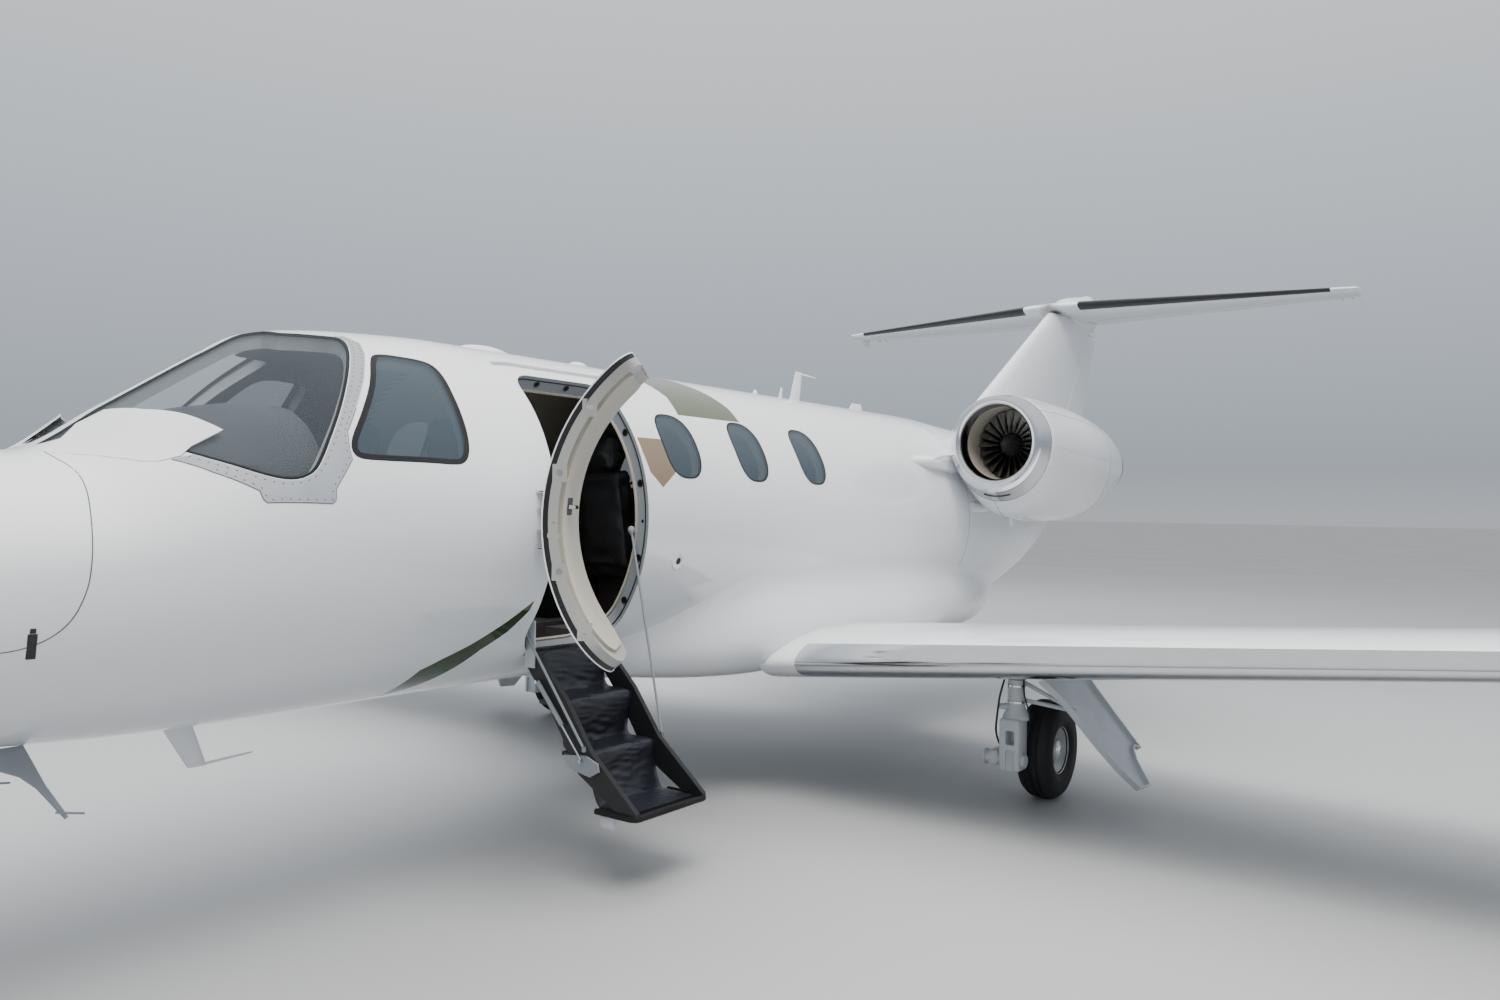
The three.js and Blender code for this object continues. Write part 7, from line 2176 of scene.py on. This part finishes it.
def engineDetails():
    ring = [(1.272, a) for a in range(-180, 181, 5)]
    side = [(y, -3.0) for y in np.linspace(1.30, 2.85, 30)]
    lower = [(y, -84.0) for y in np.linspace(1.45, 2.70, 26)]
    rows = [nacellePath(path) for path in (ring, side, lower)]
    rows += [mirroredPath(row) for row in rows]
    domeRows("nacelle_screws", rows, 0.062, 0.0042, 0.0012, "zincSteel")
    seams = []
    for path in ([(1.206, a) for a in range(-180, 181, 4)], [(2.880, a) for a in range(-180, 181, 4)],
                 [(y, 40.0) for y in np.linspace(1.206, 2.880, 40)],
                 [(y, -97.0) for y in np.linspace(1.206, 2.880, 40)]):
        seams.append(ribbon(*nacellePath(path), 0.003))
    # Black strip under the intake: painted shade of a slot
    slot = ribbon(*nacellePath([(1.150, a) for a in range(-106, -73, 2)]), 0.012, thick=0.0012)
    parts = seams + [(slot[0], slot[1], 1)]
    strake = []
    for y in np.linspace(1.42, 1.78, 8):
        point, normal = nacellePath([(y, -80.0)])
        grow = 0.016 * math.sin(math.pi * min(1.0, (y - 1.42) / 0.36 + 0.12)) ** 0.5 + 0.002
        p, n = point[0], normal[0]
        across = np.cross(n, (0, 1, 0))
        strake.append([p - across * 0.004 - n * 0.006, p + across * 0.004 - n * 0.006,
                       p + across * 0.002 + n * grow, p - across * 0.002 + n * grow])
    parts.append((*skinned(strake)[:2], 2))
    low, _ = nacellePath([(1.47, -90.0)])
    parts.append(block(low[0] - (0.006, 0.030, 0.055), low[0] + (0.006, 0.030, 0.010), 0.004, 2))
    # Air scoop at the root of the pylon's leading edge; inside its mouth a black wall and a grey end are
    # painted shade
    rings = []
    for y, wide, tall, z in ((1.020, 0.030, 0.026, 2.008), (1.026, 0.036, 0.032, 2.008),
                             (1.060, 0.042, 0.038, 2.012), (1.160, 0.044, 0.042, 2.018),
                             (1.300, 0.040, 0.040, 2.020)):
        rings.append([(0.742 + wide * math.cos(a), y + tableShift, z + tall * math.sin(a))
                      for a in np.linspace(0, 2 * math.pi, 24, endpoint=False)])
    mouth = [[(0.742 + (p[0] - 0.742) * 0.86, p[1] + shift, 2.008 + (p[2] - 2.008) * 0.86) for p in rings[0]]
             for shift in (0.0, 0.040)]
    parts.append(skinned([mouth[1], mouth[0]] + rings, lambda r, i: 1 if r == 0 else 2))
    for side, part in bothSides(gather(*parts)):
        makePiece("nacelle_fittings_" + side, part, ["seamShadow", "blackPlasticAndOpeningShade", "whitePolyurethane"])

    # Low blister on the body below each pylon
    oval = roundedOutline(1.450, 1.850, 3.5, 9.5, (0.045, 0.045))
    flat = toFlat(oval)
    middle, reach = flat.mean(axis=0), np.abs(flat - flat.mean(axis=0)).max(axis=0)
    for side, outline in onBothSides(oval):
        centre = middle if side == "left" else toFlat(outline).mean(axis=0)

        def rise(place, centre=centre):
            away = (toFlat(place) - centre) / reach
            return 0.002 + 0.020 * np.clip(1 - np.abs(away[:, 0]) ** 2.5, 0, 1) \
                * np.clip(1 - np.abs(away[:, 1]) ** 2, 0, 1)
        skinShell("body_blister_" + side, outline, ["whitePolyurethane"], wall=0.008, spacing=0.02, rise=rise)
    for side in ("left", "right"):
        finishNode("engine_core_" + side, ["sootySteelAndHoleShade", "titanium"],
                   lambda middle: 1 if middle[1] > 2.890 + tableShift else 0)


# Navigation lights, static wicks and the hanging tips of the stabilizer
def tipsAndLights():
    tipX, lead = wingPlan["tipX"], wingPlan["leading"]
    shape = [(0.0, -0.040), (0.012, -0.036), (0.020, -0.020), (0.023, 0.0), (0.020, 0.022), (0.010, 0.036),
             (0.0, 0.040)]
    at = (tipX - 0.055, lead + 0.034 + tableShift, wingHeight(tipX - 0.055) - 0.010)
    lens = turned([(r * 1.2, a) for r, a in shape], at, "y", 20)
    makePiece("wing_light_left", lens, ["redLens"])
    makePiece("wing_light_right", mirrored(lens), ["greenLens"])
    wicks = []
    for x in (6.840, 6.940, 7.040):
        rear = lead + wingChord(x) + tableShift
        z = wingHeight(x)
        wicks.append(tube([(x, rear - 0.020, z - 0.012), (x, rear + 0.110, z - 0.014)], 0.0022, 6))
    for x in (2.650, 2.740):
        rear = stabTrail(x) + tableShift
        wicks.append(tube([(x, rear - 0.020, tailPlan["stab"]["z"]),
                           (x, rear + 0.110, tailPlan["stab"]["z"])], 0.0022, 6))
    wicks += [mirrored(part) for part in wicks]
    makePiece("static_wicks", gather(*wicks), ["blackPlasticAndOpeningShade"])
    plan = tailPlan["stab"]
    x = plan["halfSpan"] - 0.012
    horn = []
    for t in np.linspace(0, 1, 7):
        front = 5.960 + 0.150 * t
        rear = 6.300 + 0.060 * t
        thick = 0.030 * (1 - 0.45 * t) * (1.0 if t < 1 else 0.55)
        horn.append([(x + thick * 0.5 * math.cos(a) * (1 - 0.3 * math.sin(a)),
                      (front + rear) / 2 + tableShift + (rear - front) / 2 * math.sin(a),
                      plan["z"] + 0.010 - 0.100 * t) for a in np.linspace(0, 2 * math.pi, 24,
                                                                          endpoint=False)])
    horn = skinned(horn)
    makePiece("stabilizer_tips", gather(horn, mirrored(horn)), ["whitePolyurethane"])


cabinInside()
instrumentPanel()
seats()
engineDetails()
tipsAndLights()
print("cabin, cockpit and small parts done")


# Camera at the photograph's viewing angle
camera = {"place": (4.243, -6.05 + tableShift, 1.645), "yaw": 36.15, "pitch": 0.42, "roll": 0.84,
          "lens": 1073 / 1500 * 36}


def placeCamera():
    data = bpy.data.cameras.new("camera")
    data.sensor_width, data.lens = 36, camera["lens"]
    data.clip_start, data.clip_end = 0.05, 200
    yaw, pitch, roll = (math.radians(camera[k]) for k in ("yaw", "pitch", "roll"))
    ahead = Vector((-math.sin(yaw) * math.cos(pitch), math.cos(yaw) * math.cos(pitch), math.sin(pitch)))
    right = ahead.cross(Vector((0, 0, 1))).normalized()
    up = right.cross(ahead)
    side = right * math.cos(roll) + up * math.sin(roll)
    top = up * math.cos(roll) - right * math.sin(roll)
    turn = Matrix((side, top, -ahead)).transposed().to_4x4()
    made = bpy.data.objects.new("camera", data)
    made.matrix_world = Matrix.Translation(camera["place"]) @ turn
    bpy.context.collection.objects.link(made)
    bpy.context.scene.camera = made


# A soft lamp that gloss and glass don't show
def softLight(name, place, target, size, power, colour="#ffffff"):
    data = bpy.data.lights.new(name, "AREA")
    data.shape, data.size, data.size_y = "RECTANGLE", size[0], size[1]
    data.energy, data.color = power, linear(colour)[:3]
    made = bpy.data.objects.new(name, data)
    made.location = place
    made.visible_glossy = made.visible_transmission = False
    made.rotation_euler = (Vector(target) - Vector(place)).to_track_quat("-Z", "Y").to_euler()
    bpy.context.collection.objects.link(made)


def studio():
    floor = makePiece("studio_floor", block((-200, -200, -0.2), (200, 200, 0.0), 0.001), ["floorPaint"], None)
    world = bpy.data.worlds.new("studio")
    bpy.context.scene.world = world
    world.use_nodes = True
    tree = world.node_tree
    place = addNode(tree, "ShaderNodeTexCoord").outputs["Generated"]
    height = addNode(tree, "ShaderNodeSeparateXYZ", {0: place}).outputs[2]
    ramp = addNode(tree, "ShaderNodeValToRGB", {0: height})
    stops = ramp.color_ramp.elements
    stops[0].position, stops[0].color = 0.0, linear("#b9bdc2")
    stops[1].position, stops[1].color = 0.9, linear("#ffffff")
    for position, colour in ((0.04, "#aab2bc"), (0.22, "#c9d2dc"), (0.5, "#f4f7fa")):
        made = stops.new(position)
        made.color = linear(colour)
    tree.links.new(ramp.outputs[0], tree.nodes["Background"].inputs[0])
    tree.nodes["Background"].inputs[1].default_value = 1.0
    softLight("key_light", (5, -6, 13), (0, -1, 1.2), (9, 7), 2500, "#fff9f0")
    softLight("top_light", (-3, 1, 12), (0, 0, 0), (14, 10), 1900)
    softLight("rear_light", (-10, 10, 8), (0, 2, 1.5), (8, 6), 700, "#eef4ff")


placeCamera()
studio()
print("camera and studio placed")
